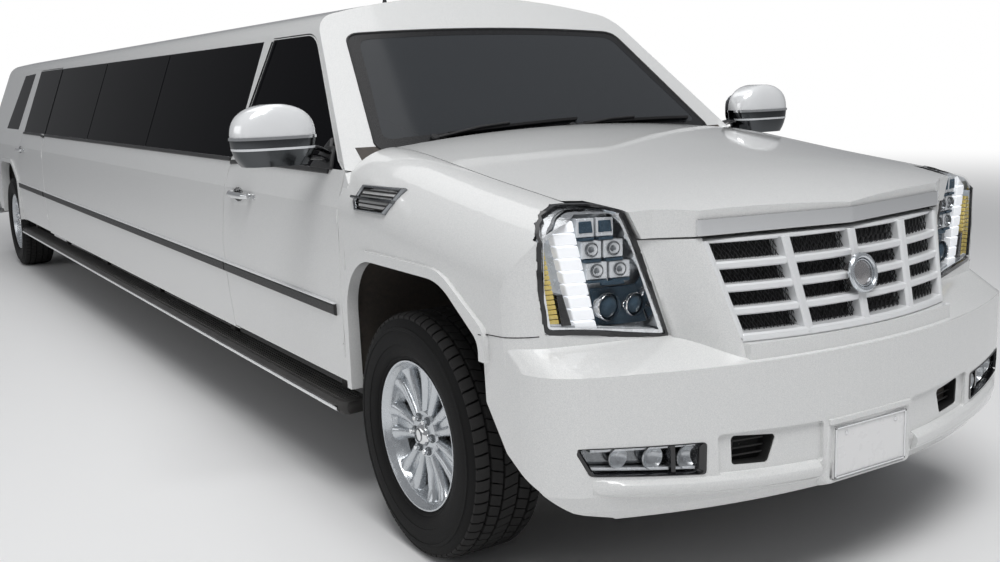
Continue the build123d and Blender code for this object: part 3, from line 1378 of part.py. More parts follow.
def make_wheel(centre):
    """Cast wheel with paired spokes, on the right."""
    hub_bore = SPINDLE_RADIUS + RUNNING_FIT
    with BuildPart() as wheel:
        add(spun(RIM_PROFILE, centre))
        spoke_foot = (centre.X, centre.Y - SPOKE_FACE[0], centre.Z)
        spokes = Plane(origin=spoke_foot, x_dir=(1, 0, 0), z_dir=(0, -1, 0))
        with BuildSketch(spokes):
            with PolarLocations(0, SPOKE_PAIRS, start_angle=90.0):
                for side in (-1, 1):
                    Polygon(
                        (HUB_RADIUS - 20.0, side * 8.0),
                        (SEAT_RADIUS - 8.0, side * 17.0),
                        (SEAT_RADIUS - 8.0, side * 44.0),
                        (HUB_RADIUS - 20.0, side * 30.0),
                        align=None,
                    )
        extrude(amount=SPOKE_FACE[1] - SPOKE_FACE[0])
        outward = Location((centre.X, centre.Y, centre.Z), (90, 0, 0))
        with Locations(outward * Location((0, 0, 54.0))):
            Cylinder(HUB_RADIUS, 34.0, align=FROM_BASE)
        with Locations(outward * Location((0, 0, -38.0))):
            Cylinder(52.0, 94.0, align=FROM_BASE)
        with Locations(outward * Location((0, 0, 86.0))):
            Cylinder(33.0, 12.0, align=FROM_BASE)
        with Locations(outward * Location((0, 0, 40.0))):
            with PolarLocations(LUG_CIRCLE, LUGS):
                Cylinder(LUG_HOLE, 60.0, align=FROM_BASE, mode=Mode.SUBTRACT)
        with Locations(outward * Location((0, 0, -60.0))):
            depth = 60.0 + SPINDLE_REACH + RUNNING_FIT
            Cylinder(hub_bore, depth, align=FROM_BASE, mode=Mode.SUBTRACT)
    return wheel.part


TYRE_INNER_HALF = tuple((-outward, radius) for outward, radius in reversed(TYRE_HALF_PROFILE))
TYRE_PROFILE = TYRE_HALF_PROFILE + TYRE_INNER_HALF
for axle_name, axle, half_track in (("front", X_FRONT, FRONT_TRACK / 2), ("rear", X_REAR, REAR_TRACK / 2)):
    centre = wheel_place(axle, half_track)
    wheel = make_wheel(centre)
    tyre = spun(TYRE_PROFILE, centre)
    save(wheel, f"wheel_{axle_name}_right")
    save(mirrored(wheel), f"wheel_{axle_name}_left")
    save(tyre, f"tyre_{axle_name}_right")
    save(mirrored(tyre), f"tyre_{axle_name}_left")

# ---------------------------------------------------------------- below the floor
with BuildPart() as radiator:
    add(block((front(525.0), front(595.0)), (-380.0, 380.0), (FRAME_TOP, 1040.0)))
save(radiator.part, "radiator")

EXHAUST_Y = -300.0
EXHAUST_Z = 352.0
EXHAUST_RADIUS = 30.0
EXHAUST_HANGERS = CROSS_MEMBERS[3:]  # one under each cross member behind the engine
EXHAUST_ROUTE = (
    (front(-1050.0), EXHAUST_Z),
    (rear(760.0), EXHAUST_Z),
    (rear(430.0), 552.0),
    (rear(-420.0), 552.0),
    (rear(-760.0), 362.0),
    (X_TAIL + 40.0, 362.0),
)
with BuildPart() as exhaust:
    with BuildLine(Plane.XZ.offset(-EXHAUST_Y)) as route:
        FilletPolyline(*EXHAUST_ROUTE, radius=140.0)
    with BuildSketch(Plane(origin=route.line @ 0, z_dir=route.line % 0)):
        Circle(EXHAUST_RADIUS)
        Circle(EXHAUST_RADIUS - 4.0, mode=Mode.SUBTRACT)
    sweep()
    with Locations((rear(1800.0), EXHAUST_Y + 60.0, EXHAUST_Z)):
        Box(620.0, 230.0, 130.0)
    for x in EXHAUST_HANGERS:
        hanger_z = (EXHAUST_Z + EXHAUST_RADIUS - 3.0, FRAME_TOP - CROSS_DROP - RUNNING_FIT)
        add(block((x - 15.0, x + 15.0), (EXHAUST_Y - 8.0, EXHAUST_Y + 8.0), hanger_z))
save(exhaust.part, "exhaust")

with BuildPart() as tank:
    add(block((front(-4300.0), front(-3100.0)), (RAIL_OUT, RAIL_OUT + 330.0), (300.0, FRAME_TOP)))
    fillet(tank.edges().filter_by(Axis.X), radius=40.0)
save(tank.part, "fuel_tank")

# ---------------------------------------------------------------- running boards
BOARD_HALF = (880.0, WIDTH / 2 - 1.0)
BOARD_Z = (340.0, 385.0)
BOARD_X = (rear(480.0), front(-560.0))
BOARD_BRACKETS = 6
with BuildPart() as board:
    add(block(BOARD_X, (-BOARD_HALF[1], -BOARD_HALF[0]), BOARD_Z))
    chamfer(board.edges().filter_by(Axis.X).sort_by(Axis.Y)[:2], 14.0)
    pitch = (BOARD_X[1] - BOARD_X[0] - 300.0) / (BOARD_BRACKETS - 1)
    for number in range(BOARD_BRACKETS):
        x = BOARD_X[0] + 150.0 + number * pitch
        add(block((x - 30.0, x + 30.0), (-905.0, -BOARD_HALF[0]), (BOARD_Z[1] - 10.0, SILL_Z)))
save(pair(board.part), "running_boards")

# ---------------------------------------------------------------- interior
FLOOR_Z = SILL_Z + FLOOR_THICK
with BuildPart() as dashboard:
    with BuildSketch(Plane.XZ.offset(-860.0)):
        with BuildLine():
            Polyline(
                (FIREWALL_X - WALL - RUNNING_FIT, 860.0),
                (FIREWALL_X - WALL - RUNNING_FIT, 1160.0),
                (front(-640.0), 1190.0),
                (front(-900.0), 1130.0),
                (front(-920.0), 1000.0),
                (front(-780.0), 850.0),
                close=True,
            )
        make_face()
    extrude(amount=1720.0)
save(dashboard.part, "dashboard")

WHEEL_TILT = 28.0
DRIVER_Y = 420.0
with BuildPart() as steering_wheel:
    with Locations(Location((front(-1080.0), DRIVER_Y, 1120.0), (0, -90 + WHEEL_TILT, 0))):
        Torus(185.0, 15.0)
        Cylinder(60.0, 36.0)
        Box(364.0, 30.0, 14.0)
        Box(30.0, 364.0, 14.0)
    tilt = math.radians(WHEEL_TILT)
    column = Plane(origin=(front(-1080.0), DRIVER_Y, 1120.0), z_dir=(math.cos(tilt), 0, -math.sin(tilt)))
    with BuildSketch(column):
        Circle(28.0)
    extrude(amount=260.0)
    add(dashboard.part, mode=Mode.SUBTRACT)
save(steering_wheel.part.solids().sort_by(SortBy.VOLUME)[-1], "steering_wheel")

SEAT_WIDTH = 540.0


def seat(x, y):
    """Front seat on its plinth: cushion, backrest and headrest in one."""
    with BuildPart() as chair:
        with BuildSketch(Plane.XZ.offset(-y - SEAT_WIDTH / 2)):
            with BuildLine():
                Polyline(
                    (x + 230.0, FLOOR_Z),
                    (x + 290.0, FLOOR_Z + 200.0),
                    (x + 300.0, FLOOR_Z + 340.0),
                    (x - 200.0, FLOOR_Z + 310.0),
                    (x - 330.0, FLOOR_Z + 880.0),
                    (x - 440.0, FLOOR_Z + 880.0),
                    (x - 340.0, FLOOR_Z + 200.0),
                    (x - 230.0, FLOOR_Z),
                    close=True,
                )
            make_face()
        extrude(amount=SEAT_WIDTH)
        with Locations((x - 400.0, y, FLOOR_Z + 950.0)):
            Box(90.0, 270.0, 170.0)
    return chair.part


seats = [seat(front(-1450.0), side * DRIVER_Y) for side in (-1, 1)]
save(Compound(children=[item.solid() for item in seats]), "front_seats")

BENCH_FRONT = front(-2500.0)
BENCH_REAR = rear(1800.0)
with BuildPart() as bench:
    add(block((BENCH_REAR, BENCH_FRONT), (330.0, 840.0), (FLOOR_Z, FLOOR_Z + 400.0)))
    add(block((BENCH_REAR, BENCH_FRONT), (720.0, 840.0), (FLOOR_Z + 390.0, FLOOR_Z + 820.0)))
    seat_z = (REAR_FLOOR_Z + FLOOR_THICK, REAR_FLOOR_Z + 380.0)
    add(block((rear(-520.0), rear(80.0)), (-640.0, 640.0), seat_z))
    add(block((rear(-520.0), rear(-390.0)), (-640.0, 640.0), (REAR_FLOOR_Z + 370.0, REAR_FLOOR_Z + 800.0)))
save(bench.part, "lounge_bench")

# ---------------------------------------------------------------- mirrors and antenna
MIRROR = ((front(-735.0), front(-575.0)), (-1262.0, -990.0), (1300.0, 1462.0))
with BuildPart() as mirror_head:
    add(block(*MIRROR))
    fillet(mirror_head.edges(), radius=34.0)
    add(block((front(-700.0), front(-610.0)), (-1010.0, -900.0), (1240.0, 1275.0)))
    add(block((front(-700.0), front(-610.0)), (-1090.0, -1000.0), (1240.0, 1330.0)))
    add(CABIN_SKIN, mode=Mode.SUBTRACT)
save(mirror_head.part, "mirror_right")
save(mirrored(mirror_head.part), "mirror_left")

with BuildPart() as antenna:
    with Locations((front(-2039.0), 0, HEIGHT)):
        Cone(20.0, 6.0, 60.0, align=FROM_BASE)
save(antenna.part, "antenna")
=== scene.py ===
"""Looks of a stretch limousine: finishes, trim, lamps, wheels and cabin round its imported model.

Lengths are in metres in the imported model's frame: +X forward, +Y to the car's left, +Z up from the ground.
"""

from __future__ import annotations

import json
import logging
import math
from collections.abc import Callable, Sequence
from dataclasses import dataclass, field, replace
from enum import Enum

import bmesh
import bpy
from mathutils import Matrix, Vector
from mathutils.bvhtree import BVHTree

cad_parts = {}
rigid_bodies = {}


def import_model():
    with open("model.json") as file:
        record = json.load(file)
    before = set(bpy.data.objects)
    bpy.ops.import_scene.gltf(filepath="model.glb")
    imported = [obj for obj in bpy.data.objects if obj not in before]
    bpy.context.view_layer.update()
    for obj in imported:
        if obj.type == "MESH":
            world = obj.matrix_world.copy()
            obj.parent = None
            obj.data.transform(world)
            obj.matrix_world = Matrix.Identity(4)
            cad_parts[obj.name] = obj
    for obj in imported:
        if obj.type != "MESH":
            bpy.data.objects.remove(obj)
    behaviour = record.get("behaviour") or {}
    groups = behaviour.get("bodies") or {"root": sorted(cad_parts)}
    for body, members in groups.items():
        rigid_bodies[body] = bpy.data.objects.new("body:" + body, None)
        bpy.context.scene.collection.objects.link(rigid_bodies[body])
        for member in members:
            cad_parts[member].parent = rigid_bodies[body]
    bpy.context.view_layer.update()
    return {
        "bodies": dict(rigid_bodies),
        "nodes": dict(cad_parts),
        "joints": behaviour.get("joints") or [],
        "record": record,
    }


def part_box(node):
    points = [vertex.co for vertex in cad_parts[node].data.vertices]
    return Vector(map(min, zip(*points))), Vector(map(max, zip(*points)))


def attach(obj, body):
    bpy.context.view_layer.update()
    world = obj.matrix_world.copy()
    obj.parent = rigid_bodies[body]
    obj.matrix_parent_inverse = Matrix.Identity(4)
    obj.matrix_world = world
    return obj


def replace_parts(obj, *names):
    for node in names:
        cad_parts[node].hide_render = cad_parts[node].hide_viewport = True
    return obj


log = logging.getLogger("limousine")

Colour = tuple[float, float, float]
Point = tuple[float, float, float]
Flat = tuple[float, float]

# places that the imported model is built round
FRONT_AXLE_X = 4.0155
REAR_AXLE_X = -3.8105
AXLE_Z = 0.401
FRONT_HALF_TRACK = 0.866
REAR_HALF_TRACK = 0.851
TAU = 2 * math.pi


class Side(Enum):
    """The two sides of the car, as the sign of Y."""

    LEFT = 1
    RIGHT = -1

    @property
    def label(self) -> str:
        """The side's word in node and body names."""
        return self.name.lower()

    @property
    def inward(self) -> Vector:
        """The direction from this side towards the car's middle."""
        return Vector((0, -self.value, 0))

    def at(self, half: float) -> float:
        """The Y of a place that lies half a width out on this side."""
        return self.value * half


class Slot(Enum):
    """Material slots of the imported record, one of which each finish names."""

    PAINT = "paint"
    DARK_GLASS = "dark_glass"
    SCREEN = "screen_glass"
    CLEAR = "clear_lens"
    RED = "red_lens"
    CHROME = "bright_chrome"
    BLACK = "black_plastic"
    CABIN = "cabin_plastic"
    LEATHER = "seat_leather"
    CHASSIS = "chassis_black"
    CAST = "cast_steel"
    EXHAUST = "exhaust_steel"
    PLATE = "plate_white"
    TYRE = "tyre_rubber"


def lerp(a: float, b: float, t: float) -> float:
    """The value a share t of the way from a to b."""
    return a + (b - a) * t


def around(count: int) -> list[Flat]:
    """Cosine and sine of evenly spaced turns round a circle."""
    return [(math.cos(a), math.sin(a)) for a in (TAU * k / count for k in range(count))]


def squircle(count: int, power: float) -> list[Flat]:
    """Points round a rounded square of half size 1, squarer the higher the power is."""
    grown = ((c, s, (abs(c) ** power + abs(s) ** power) ** (-1 / power)) for c, s in around(count))
    return [(c * grow, s * grow) for c, s, grow in grown]


# ------------------------------------------------------------------ shader node groups


def add_node(
    tree: bpy.types.NodeTree, kind: str, inputs: dict[str | int, object] | None = None, **settings: object
) -> bpy.types.Node:
    """Adds a shader node.

    Args:
        tree: the nodes that it joins.
        kind: its type, without the ShaderNode prefix.
        inputs: what goes into its inputs, as in `feed`.
        settings: attributes to set on it.

    Returns:
        The new node.
    """
    made = tree.nodes.new("ShaderNode" + kind)
    for key, value in settings.items():
        setattr(made, key, value)
    feed(tree, made, inputs or {})
    return made


def feed(tree: bpy.types.NodeTree, node: bpy.types.Node, inputs: dict[str | int, object]) -> None:
    """Gives each named input of a node its fixed value, or a link where the value is a socket.

    Args:
        tree: the node tree.
        node: the node.
        inputs: what each input gets.
    """
    for key, value in inputs.items():
        if isinstance(value, bpy.types.NodeSocket):
            tree.links.new(value, node.inputs[key])
        else:
            node.inputs[key].default_value = value


class Effect(Enum):
    """Surface effects that several finishes share, each one node group."""

    GRAIN = "Fine grain"
    WEAR = "Edge wear"
    DUST = "Road dust"
    PEBBLE = "Pebbled hide"
    FLAKE = "Paint flake"


@dataclass
class GroupMaker:
    """A shader node group in the making, with named inputs and outputs."""

    effect: Effect
    inputs: dict[str, float]
    outputs: Sequence[str]
    tree: bpy.types.NodeTree = field(init=False)

    def __post_init__(self) -> None:
        """Makes the empty group and its sockets."""
        self.tree = bpy.data.node_groups.new(self.effect.value, "ShaderNodeTree")
        for name, value in self.inputs.items():
            socket = self.tree.interface.new_socket(name, in_out="INPUT", socket_type="NodeSocketFloat")
            socket.default_value = value
        for name in self.outputs:
            self.tree.interface.new_socket(name, in_out="OUTPUT", socket_type="NodeSocketFloat")
        self.given = self.tree.nodes.new("NodeGroupInput").outputs
        self.end = self.tree.nodes.new("NodeGroupOutput")

    def node(self, kind: str, inputs: dict[str | int, object] | None = None,
             **settings: object) -> bpy.types.Node:
        """Adds a node, as in `add_node`."""
        return add_node(self.tree, kind, inputs, **settings)

    def texture(
        self, kind: str, scale: str, inputs: dict[str, float] | None = None, **settings: object
    ) -> bpy.types.Node:
        """Adds a texture in object coordinates.

        Args:
            kind: the texture's type.
            scale: the name of the group's input that scales it.
            inputs: its other inputs.
            settings: attributes to set on it.

        Returns:
            The new node.
        """
        place = {0: self.node("TexCoord").outputs["Object"], "Scale": self.given[scale]}
        vector = self.node("VectorMath", place, operation="SCALE").outputs[0]
        return self.node("Tex" + kind, {"Scale": 1.0, "Vector": vector, **(inputs or {})}, **settings)

    def product(self, first: object, second: object, clamped: bool = False) -> bpy.types.NodeSocket:
        """Multiplies two values."""
        return self.node("Math", {0: first, 1: second}, operation="MULTIPLY", use_clamp=clamped).outputs[0]

    def close(self, **results: bpy.types.NodeSocket) -> bpy.types.NodeTree:
        """Links the group's outputs and returns the finished group."""
        feed(self.tree, self.end, results)
        return self.tree


def grain_group() -> bpy.types.NodeTree:
    """Fine grain: a value spread between two limits and a height, from fractal noise.

    Returns:
        The node group.
    """
    maker = GroupMaker(Effect.GRAIN, {"Scale": 200.0, "Low": 0.3, "High": 0.5}, ("Value", "Height"))
    noise = maker.texture("Noise", "Scale", {"Detail": 5.0}).outputs["Fac"]
    limits = {"From Min": 0.3, "From Max": 0.7, "To Min": maker.given["Low"], "To Max": maker.given["High"]}
    return maker.close(Value=maker.node("MapRange", {"Value": noise, **limits}).outputs[0], Height=noise)


def wear_group() -> bpy.types.NodeTree:
    """Edge wear: a mask of rubbed convex edges, broken up by noise.

    Returns:
        The node group.
    """
    maker = GroupMaker(Effect.WEAR, {"Start": 0.52, "End": 0.6, "Breakup": 60.0}, ("Mask",))
    limits = {"From Min": maker.given["Start"], "From Max": maker.given["End"]}
    sharpness = maker.node("NewGeometry").outputs["Pointiness"]
    edge = maker.node("MapRange", {"Value": sharpness, **limits})
    noise = maker.texture("Noise", "Breakup").outputs["Fac"]
    return maker.close(Mask=maker.product(edge.outputs[0], noise, True))


def dust_group() -> bpy.types.NodeTree:
    """Road dust: a mask that fades out with height above the ground, broken up by noise.

    Returns:
        The node group.
    """
    maker = GroupMaker(Effect.DUST, {"Reach": 0.7, "Amount": 0.4, "Scale": 9.0}, ("Mask",))
    height = maker.node("SeparateXYZ", {0: maker.node("TexCoord").outputs["Object"]}).outputs["Z"]
    limits = {"From Max": maker.given["Reach"], "To Min": 1.0, "To Max": 0.0}
    fade = maker.node("MapRange", {"Value": height, **limits})
    patchy = maker.product(fade.outputs[0], maker.texture("Noise", "Scale", {"Detail": 6.0}).outputs["Fac"])
    return maker.close(Mask=maker.product(patchy, maker.given["Amount"], True))


def pebble_group() -> bpy.types.NodeTree:
    """Pebbled hide: a height of small rounded cells and a mask of the creases between them, for painted
    shade.

    Returns:
        The node group.
    """
    maker = GroupMaker(Effect.PEBBLE, {"Scale": 350.0}, ("Height", "Crease"))
    distance = maker.texture("Voronoi", "Scale", feature="SMOOTH_F1").outputs["Distance"]
    turned = maker.node("Math", {0: 1.0, 1: distance}, operation="SUBTRACT")
    crease = maker.node("MapRange", {"Value": distance, "From Min": 0.45, "From Max": 0.8})
    return maker.close(Height=turned.outputs[0], Crease=crease.outputs[0])


def flake_group() -> bpy.types.NodeTree:
    """Paint flake: a value for each tiny flake and the slow waviness of sprayed paint.

    Returns:
        The node group.
    """
    maker = GroupMaker(Effect.FLAKE, {"Scale": 900.0, "Wave": 6.0}, ("Flake", "Height"))
    cells = maker.texture("Voronoi", "Scale", feature="F1").outputs["Color"]
    wave = maker.texture("Noise", "Wave", {"Detail": 1.0}).outputs["Fac"]
    return maker.close(Flake=maker.node("SeparateColor", {0: cells}).outputs[0], Height=wave)


GROUP_MAKERS: dict[Effect, Callable[[], bpy.types.NodeTree]] = {
    Effect.GRAIN: grain_group,
    Effect.WEAR: wear_group,
    Effect.DUST: dust_group,
    Effect.PEBBLE: pebble_group,
    Effect.FLAKE: flake_group,
}


def effect_tree(effect: Effect) -> bpy.types.NodeTree:
    """The one node group of an effect, made when it is first asked for."""
    return bpy.data.node_groups.get(effect.value) or GROUP_MAKERS[effect]()


# ------------------------------------------------------------------ finishes

COAT_ROUGHNESS = 0.05
WEAR_SHARE = 0.5  # the most that rubbed edges show
RELIEF_HEIGHT = 0.002


def opaque(colour: Colour) -> tuple[float, float, float, float]:
    """A colour with full alpha."""
    return (*colour, 1.0)


@dataclass(frozen=True)
class Finish:
    """How one kind of surface looks: its shader's constants and the effects laid over them."""

    name: str
    slot: Slot
    colour: Colour
    roughness: float = 0.4
    metallic: float = 0.0
    coat: float = 0.0
    specular: float = 0.5
    transmission: float = 0.0
    ior: float = 1.5
    glow: float = 0.0
    grain: float = 240.0  # scale of the fine grain
    spread: float = 0.06  # how far the grain moves the roughness either way
    bump: float = 0.0  # strength of the relief
    mottle: Colour | None = None  # second colour that the grain mixes in
    worn: Colour | None = None  # colour of rubbed edges
    dust: float = 0.0
    dust_reach: float = 0.75
    dust_colour: Colour = (0.30, 0.28, 0.25)
    alpha: float = 1.0

    def build(self) -> bpy.types.Material:
        """The finish as a material, made once.

        Returns:
            The material.
        """
        found = bpy.data.materials.get(self.name)
        if found:
            return found
        material = bpy.data.materials.new(self.name)
        material.use_nodes = True
        tree = material.node_tree
        shader = tree.nodes["Principled BSDF"]
        feed(tree, shader, {
            "Metallic": self.metallic,
            "Coat Weight": self.coat,
            "Coat Roughness": COAT_ROUGHNESS,
            "Specular IOR Level": self.specular,
            "Transmission Weight": self.transmission,
            "IOR": self.ior,
            "Emission Strength": self.glow,
            "Alpha": self.alpha,
            "Base Color": opaque(self.colour),
            "Emission Color": opaque(self.colour),
        })
        colour = self.surface(tree, shader)
        if self.worn:
            colour = self.cover(tree, colour, Effect.WEAR, self.worn, WEAR_SHARE)
        if self.dust:
            colour = self.cover(tree, colour, Effect.DUST, self.dust_colour, 1.0,
                                Reach=self.dust_reach, Amount=self.dust)
        if colour:
            feed(tree, shader, {"Base Color": colour})
        return material

    def surface(self, tree: bpy.types.NodeTree, shader: bpy.types.Node) -> bpy.types.NodeSocket | None:
        """Lays the grain into roughness, relief and colour.

        Args:
            tree: the material's nodes.
            shader: its Principled BSDF.

        Returns:
            The colour socket so far, or None for the plain constant.
        """
        low, high = max(0.0, self.roughness - self.spread), min(1.0, self.roughness + self.spread)
        grain = self.effect(tree, Effect.GRAIN, Scale=self.grain, Low=low, High=high)
        feed(tree, shader, {"Roughness": grain["Value"]})
        if self.bump:
            self.relief(tree, shader, grain["Height"])
        return self.blend(tree, grain["Height"], None, self.mottle) if self.mottle else None

    def effect(self, tree: bpy.types.NodeTree, effect: Effect, **values: float) -> bpy.types.NodeOutputs:
        """Places a shared effect with this finish's own values and returns its outputs."""
        return add_node(tree, "Group", values, node_tree=effect_tree(effect)).outputs

    def relief(self, tree: bpy.types.NodeTree, shader: bpy.types.Node, height: bpy.types.NodeSocket) -> None:
        """Turns a height into the shader's normal."""
        bump = add_node(tree, "Bump", {"Strength": self.bump, "Distance": RELIEF_HEIGHT, "Height": height})
        feed(tree, shader, {"Normal": bump.outputs["Normal"]})

    def blend(
        self, tree: bpy.types.NodeTree, mask: bpy.types.NodeSocket,
        under: bpy.types.NodeSocket | None, over: Colour,
    ) -> bpy.types.NodeSocket:
        """Mixes a colour by a mask over the colour so far, which is the finish's own where it is None."""
        colours = {"A": under or opaque(self.colour), "B": opaque(over)}
        return add_node(tree, "Mix", {"Factor": mask, **colours}, data_type="RGBA").outputs["Result"]

    def cover(
        self,
        tree: bpy.types.NodeTree,
        under: bpy.types.NodeSocket | None,
        effect: Effect,
        over: Colour,
        share: float,
        **values: float,
    ) -> bpy.types.NodeSocket:
        """Lays a colour over the surface by an effect's mask.

        Args:
            tree: the material's nodes.
            under: the colour so far.
            effect: the effect.
            over: the colour it brings.
            share: the most of it that shows.
            values: the effect's inputs.

        Returns:
            The colour after it.
        """
        mask = self.effect(tree, effect, **values)["Mask"]
        scaled = add_node(tree, "Math", {0: mask, 1: share}, operation="MULTIPLY")
        return self.blend(tree, scaled.outputs[0], under, over)


@dataclass(frozen=True)
class PearlPaint(Finish):
    """Body paint with fine flakes under a clear coat."""

    flake_colour: Colour = (0.78, 0.78, 0.77)

    def surface(self, tree: bpy.types.NodeTree, shader: bpy.types.Node) -> bpy.types.NodeSocket | None:
        """Adds the flakes and the paint's slight waviness to the plain surface.

        Args:
            tree: the material's nodes.
            shader: its Principled BSDF.

        Returns:
            The colour socket so far.
        """
        Finish.surface(self, tree, shader)
        flake = self.effect(tree, Effect.FLAKE)
        self.relief(tree, shader, flake["Height"])
        return self.blend(tree, flake["Flake"], None, self.flake_colour)


@dataclass(frozen=True)
class Hide(Finish):
    """Leather with a pebbled relief and painted shade in the creases."""

    # colour of the painted shade laid into the creases between the pebbles
    crease: Colour = (0.01, 0.01, 0.01)

    def surface(self, tree: bpy.types.NodeTree, shader: bpy.types.Node) -> bpy.types.NodeSocket | None:
        """Adds the pebbles and the painted shade in their creases.

        Args:
            tree: the material's nodes.
            shader: its Principled BSDF.

        Returns:
            The colour socket so far.
        """
        Finish.surface(self, tree, shader)
        pebble = self.effect(tree, Effect.PEBBLE)
        self.relief(tree, shader, pebble["Height"])
        return self.blend(tree, pebble["Crease"], None, self.crease)


PAINT = PearlPaint("pearl_white_paint", Slot.PAINT, (0.60, 0.61, 0.61), 0.34, coat=1.0, bump=0.02,
                   spread=0.04, dust=0.12, dust_reach=0.6)
SHUT_LINE = Finish("shut_line_rubber", Slot.BLACK, (0.02, 0.02, 0.02), 0.7, bump=0.1)
GRILLE_SILVER = Finish("grille_silver", Slot.CHROME, (0.82, 0.83, 0.84), 0.30, metallic=0.25, coat=0.4,
                       grain=12.0, spread=0.02)
CHROME = Finish("polished_chrome", Slot.CHROME, (0.80, 0.81, 0.82), 0.09, metallic=1.0, grain=60.0,
                spread=0.04, dust=0.06)
WHEEL_CHROME = Finish("wheel_chrome", Slot.CHROME, (0.62, 0.65, 0.68), 0.24, metallic=0.85, grain=45.0,
                      spread=0.06, dust=0.25, dust_reach=0.9)
DARK_CHROME = Finish("smoked_chrome", Slot.CHROME, (0.22, 0.23, 0.24), 0.16, metallic=1.0, spread=0.05)
PRIVACY = Finish("privacy_glass", Slot.DARK_GLASS, (0.003, 0.003, 0.004), 0.06, specular=0.012, grain=5.0,
                 spread=0.02)
SCREEN = Finish("tinted_screen", Slot.SCREEN, (0.035, 0.038, 0.042), 0.10, specular=0.25, grain=4.0,
                spread=0.03, alpha=0.93)
FRIT = Finish("screen_edge_print", Slot.SCREEN, (0.006, 0.006, 0.007), 0.25, grain=300.0)
CLEAR = Finish("lamp_glass_clear", Slot.CLEAR, (0.05, 0.05, 0.055), 0.05, specular=0.2, grain=30.0,
               spread=0.02, alpha=0.04)
OPTIC = Finish("lamp_optic", Slot.CLEAR, (0.86, 0.90, 0.94), 0.03, transmission=1.0, ior=1.45, grain=40.0,
               spread=0.02)
RED = Finish("lamp_glass_red", Slot.RED, (0.42, 0.012, 0.012), 0.10, coat=1.0, grain=120.0, spread=0.04,
             mottle=(0.30, 0.005, 0.005))
AMBER = Finish("amber_lens", Slot.CLEAR, (0.72, 0.50, 0.08), 0.18, coat=0.8, mottle=(0.85, 0.72, 0.25),
               grain=150.0)
LED = Finish("white_diode", Slot.CLEAR, (0.92, 0.94, 0.97), 0.2, coat=0.2, glow=0.35)
REFLECTOR = Finish("lamp_reflector", Slot.CHROME, (0.88, 0.90, 0.92), 0.12, metallic=1.0, grain=110.0,
                   spread=0.08, bump=0.35)
BLACK = Finish("moulded_black", Slot.BLACK, (0.012, 0.012, 0.013), 0.5, grain=700.0, bump=0.25, spread=0.1,
               worn=(0.05, 0.05, 0.05), dust=0.35)
GLOSS_BLACK = Finish("gloss_black", Slot.BLACK, (0.006, 0.006, 0.007), 0.12, coat=0.5, grain=90.0)
MESH_BLACK = Finish("grille_mesh_black", Slot.BLACK, (0.03, 0.03, 0.032), 0.35, coat=0.3, grain=200.0)
CHASSIS = Finish("underbody_black", Slot.CHASSIS, (0.02, 0.02, 0.021), 0.6, grain=120.0, bump=0.3,
                 mottle=(0.05, 0.045, 0.04), worn=(0.12, 0.09, 0.07), dust=0.6, dust_reach=0.9)
CAST = Finish("cast_metal", Slot.CAST, (0.12, 0.12, 0.122), 0.55, metallic=0.7, grain=260.0, bump=0.4,
              mottle=(0.20, 0.17, 0.14), worn=(0.35, 0.34, 0.33), dust=0.5, dust_reach=0.9)
DISC = Finish("brake_disc", Slot.CAST, (0.42, 0.42, 0.42), 0.3, metallic=1.0, grain=160.0, bump=0.1,
              mottle=(0.30, 0.27, 0.24))
EXHAUST = Finish("exhaust_tube", Slot.EXHAUST, (0.42, 0.40, 0.38), 0.35, metallic=1.0, grain=30.0, bump=0.08,
                 mottle=(0.30, 0.24, 0.19), dust=0.5)
TYRE = Finish("tyre_black", Slot.TYRE, (0.006, 0.006, 0.0065), 0.62, specular=0.12, grain=420.0, bump=0.3,
              spread=0.1, mottle=(0.010, 0.010, 0.010), dust=0.12, dust_reach=0.9,
              dust_colour=(0.05, 0.048, 0.045))
TREAD = replace(TYRE, name="tyre_tread", colour=(0.020, 0.020, 0.021), roughness=0.75,
                mottle=(0.034, 0.033, 0.032), dust=0.25)
PLATE = Finish("blank_plate", Slot.PLATE, (0.80, 0.80, 0.80), 0.3, coat=0.4, grain=30.0)
CABIN = Finish("cabin_moulding", Slot.CABIN, (0.03, 0.03, 0.032), 0.55, grain=500.0, bump=0.3, spread=0.08)
LEATHER = Hide("cabin_hide", Slot.LEATHER, (0.035, 0.035, 0.037), 0.45, bump=0.35, spread=0.08)
PIPING = Finish("seat_piping", Slot.LEATHER, (0.20, 0.20, 0.20), 0.5, bump=0.2)
CARPET = Finish("cabin_carpet", Slot.CABIN, (0.02, 0.02, 0.021), 0.95, grain=900.0, bump=1.0,
                mottle=(0.035, 0.034, 0.033))
LAMP_SILVER = Finish("lamp_silver", Slot.CHROME, (0.86, 0.88, 0.90), 0.22, metallic=0.35, coat=1.0,
                     grain=70.0, spread=0.1, mottle=(0.66, 0.70, 0.74))
PROJECTOR_GLASS = Finish("projector_glass", Slot.CLEAR, (0.025, 0.045, 0.065), 0.06, specular=0.10,
                         grain=60.0, spread=0.02, mottle=(0.07, 0.11, 0.15))
PILLAR_BLACK = Finish("pillar_black", Slot.BLACK, (0.003, 0.003, 0.004), 0.12, specular=0.015)
MIRROR_SHELL = replace(DARK_CHROME, name="mirror_shell", colour=(0.09, 0.095, 0.10))
# near black for duct linings and the vent's back; on the sheet behind the grille mesh it is painted shade
DEEP_BLACK = Finish("duct_black", Slot.BLACK, (0.006, 0.006, 0.006), 0.8)
EMBLEM_GREY = Finish("emblem_enamel", Slot.CHROME, (0.30, 0.30, 0.31), 0.25, metallic=0.8, coat=1.0,
                     mottle=(0.42, 0.40, 0.40), grain=120.0)
MIRROR_CAP = Finish("mirror_cap_chrome", Slot.CHROME, (0.92, 0.93, 0.94), 0.16, metallic=0.25, coat=1.0,
                    grain=30.0, spread=0.03)
MIRROR_GLASS = Finish("mirror_glass", Slot.CHROME, (0.75, 0.77, 0.79), 0.03, metallic=1.0, spread=0.01)
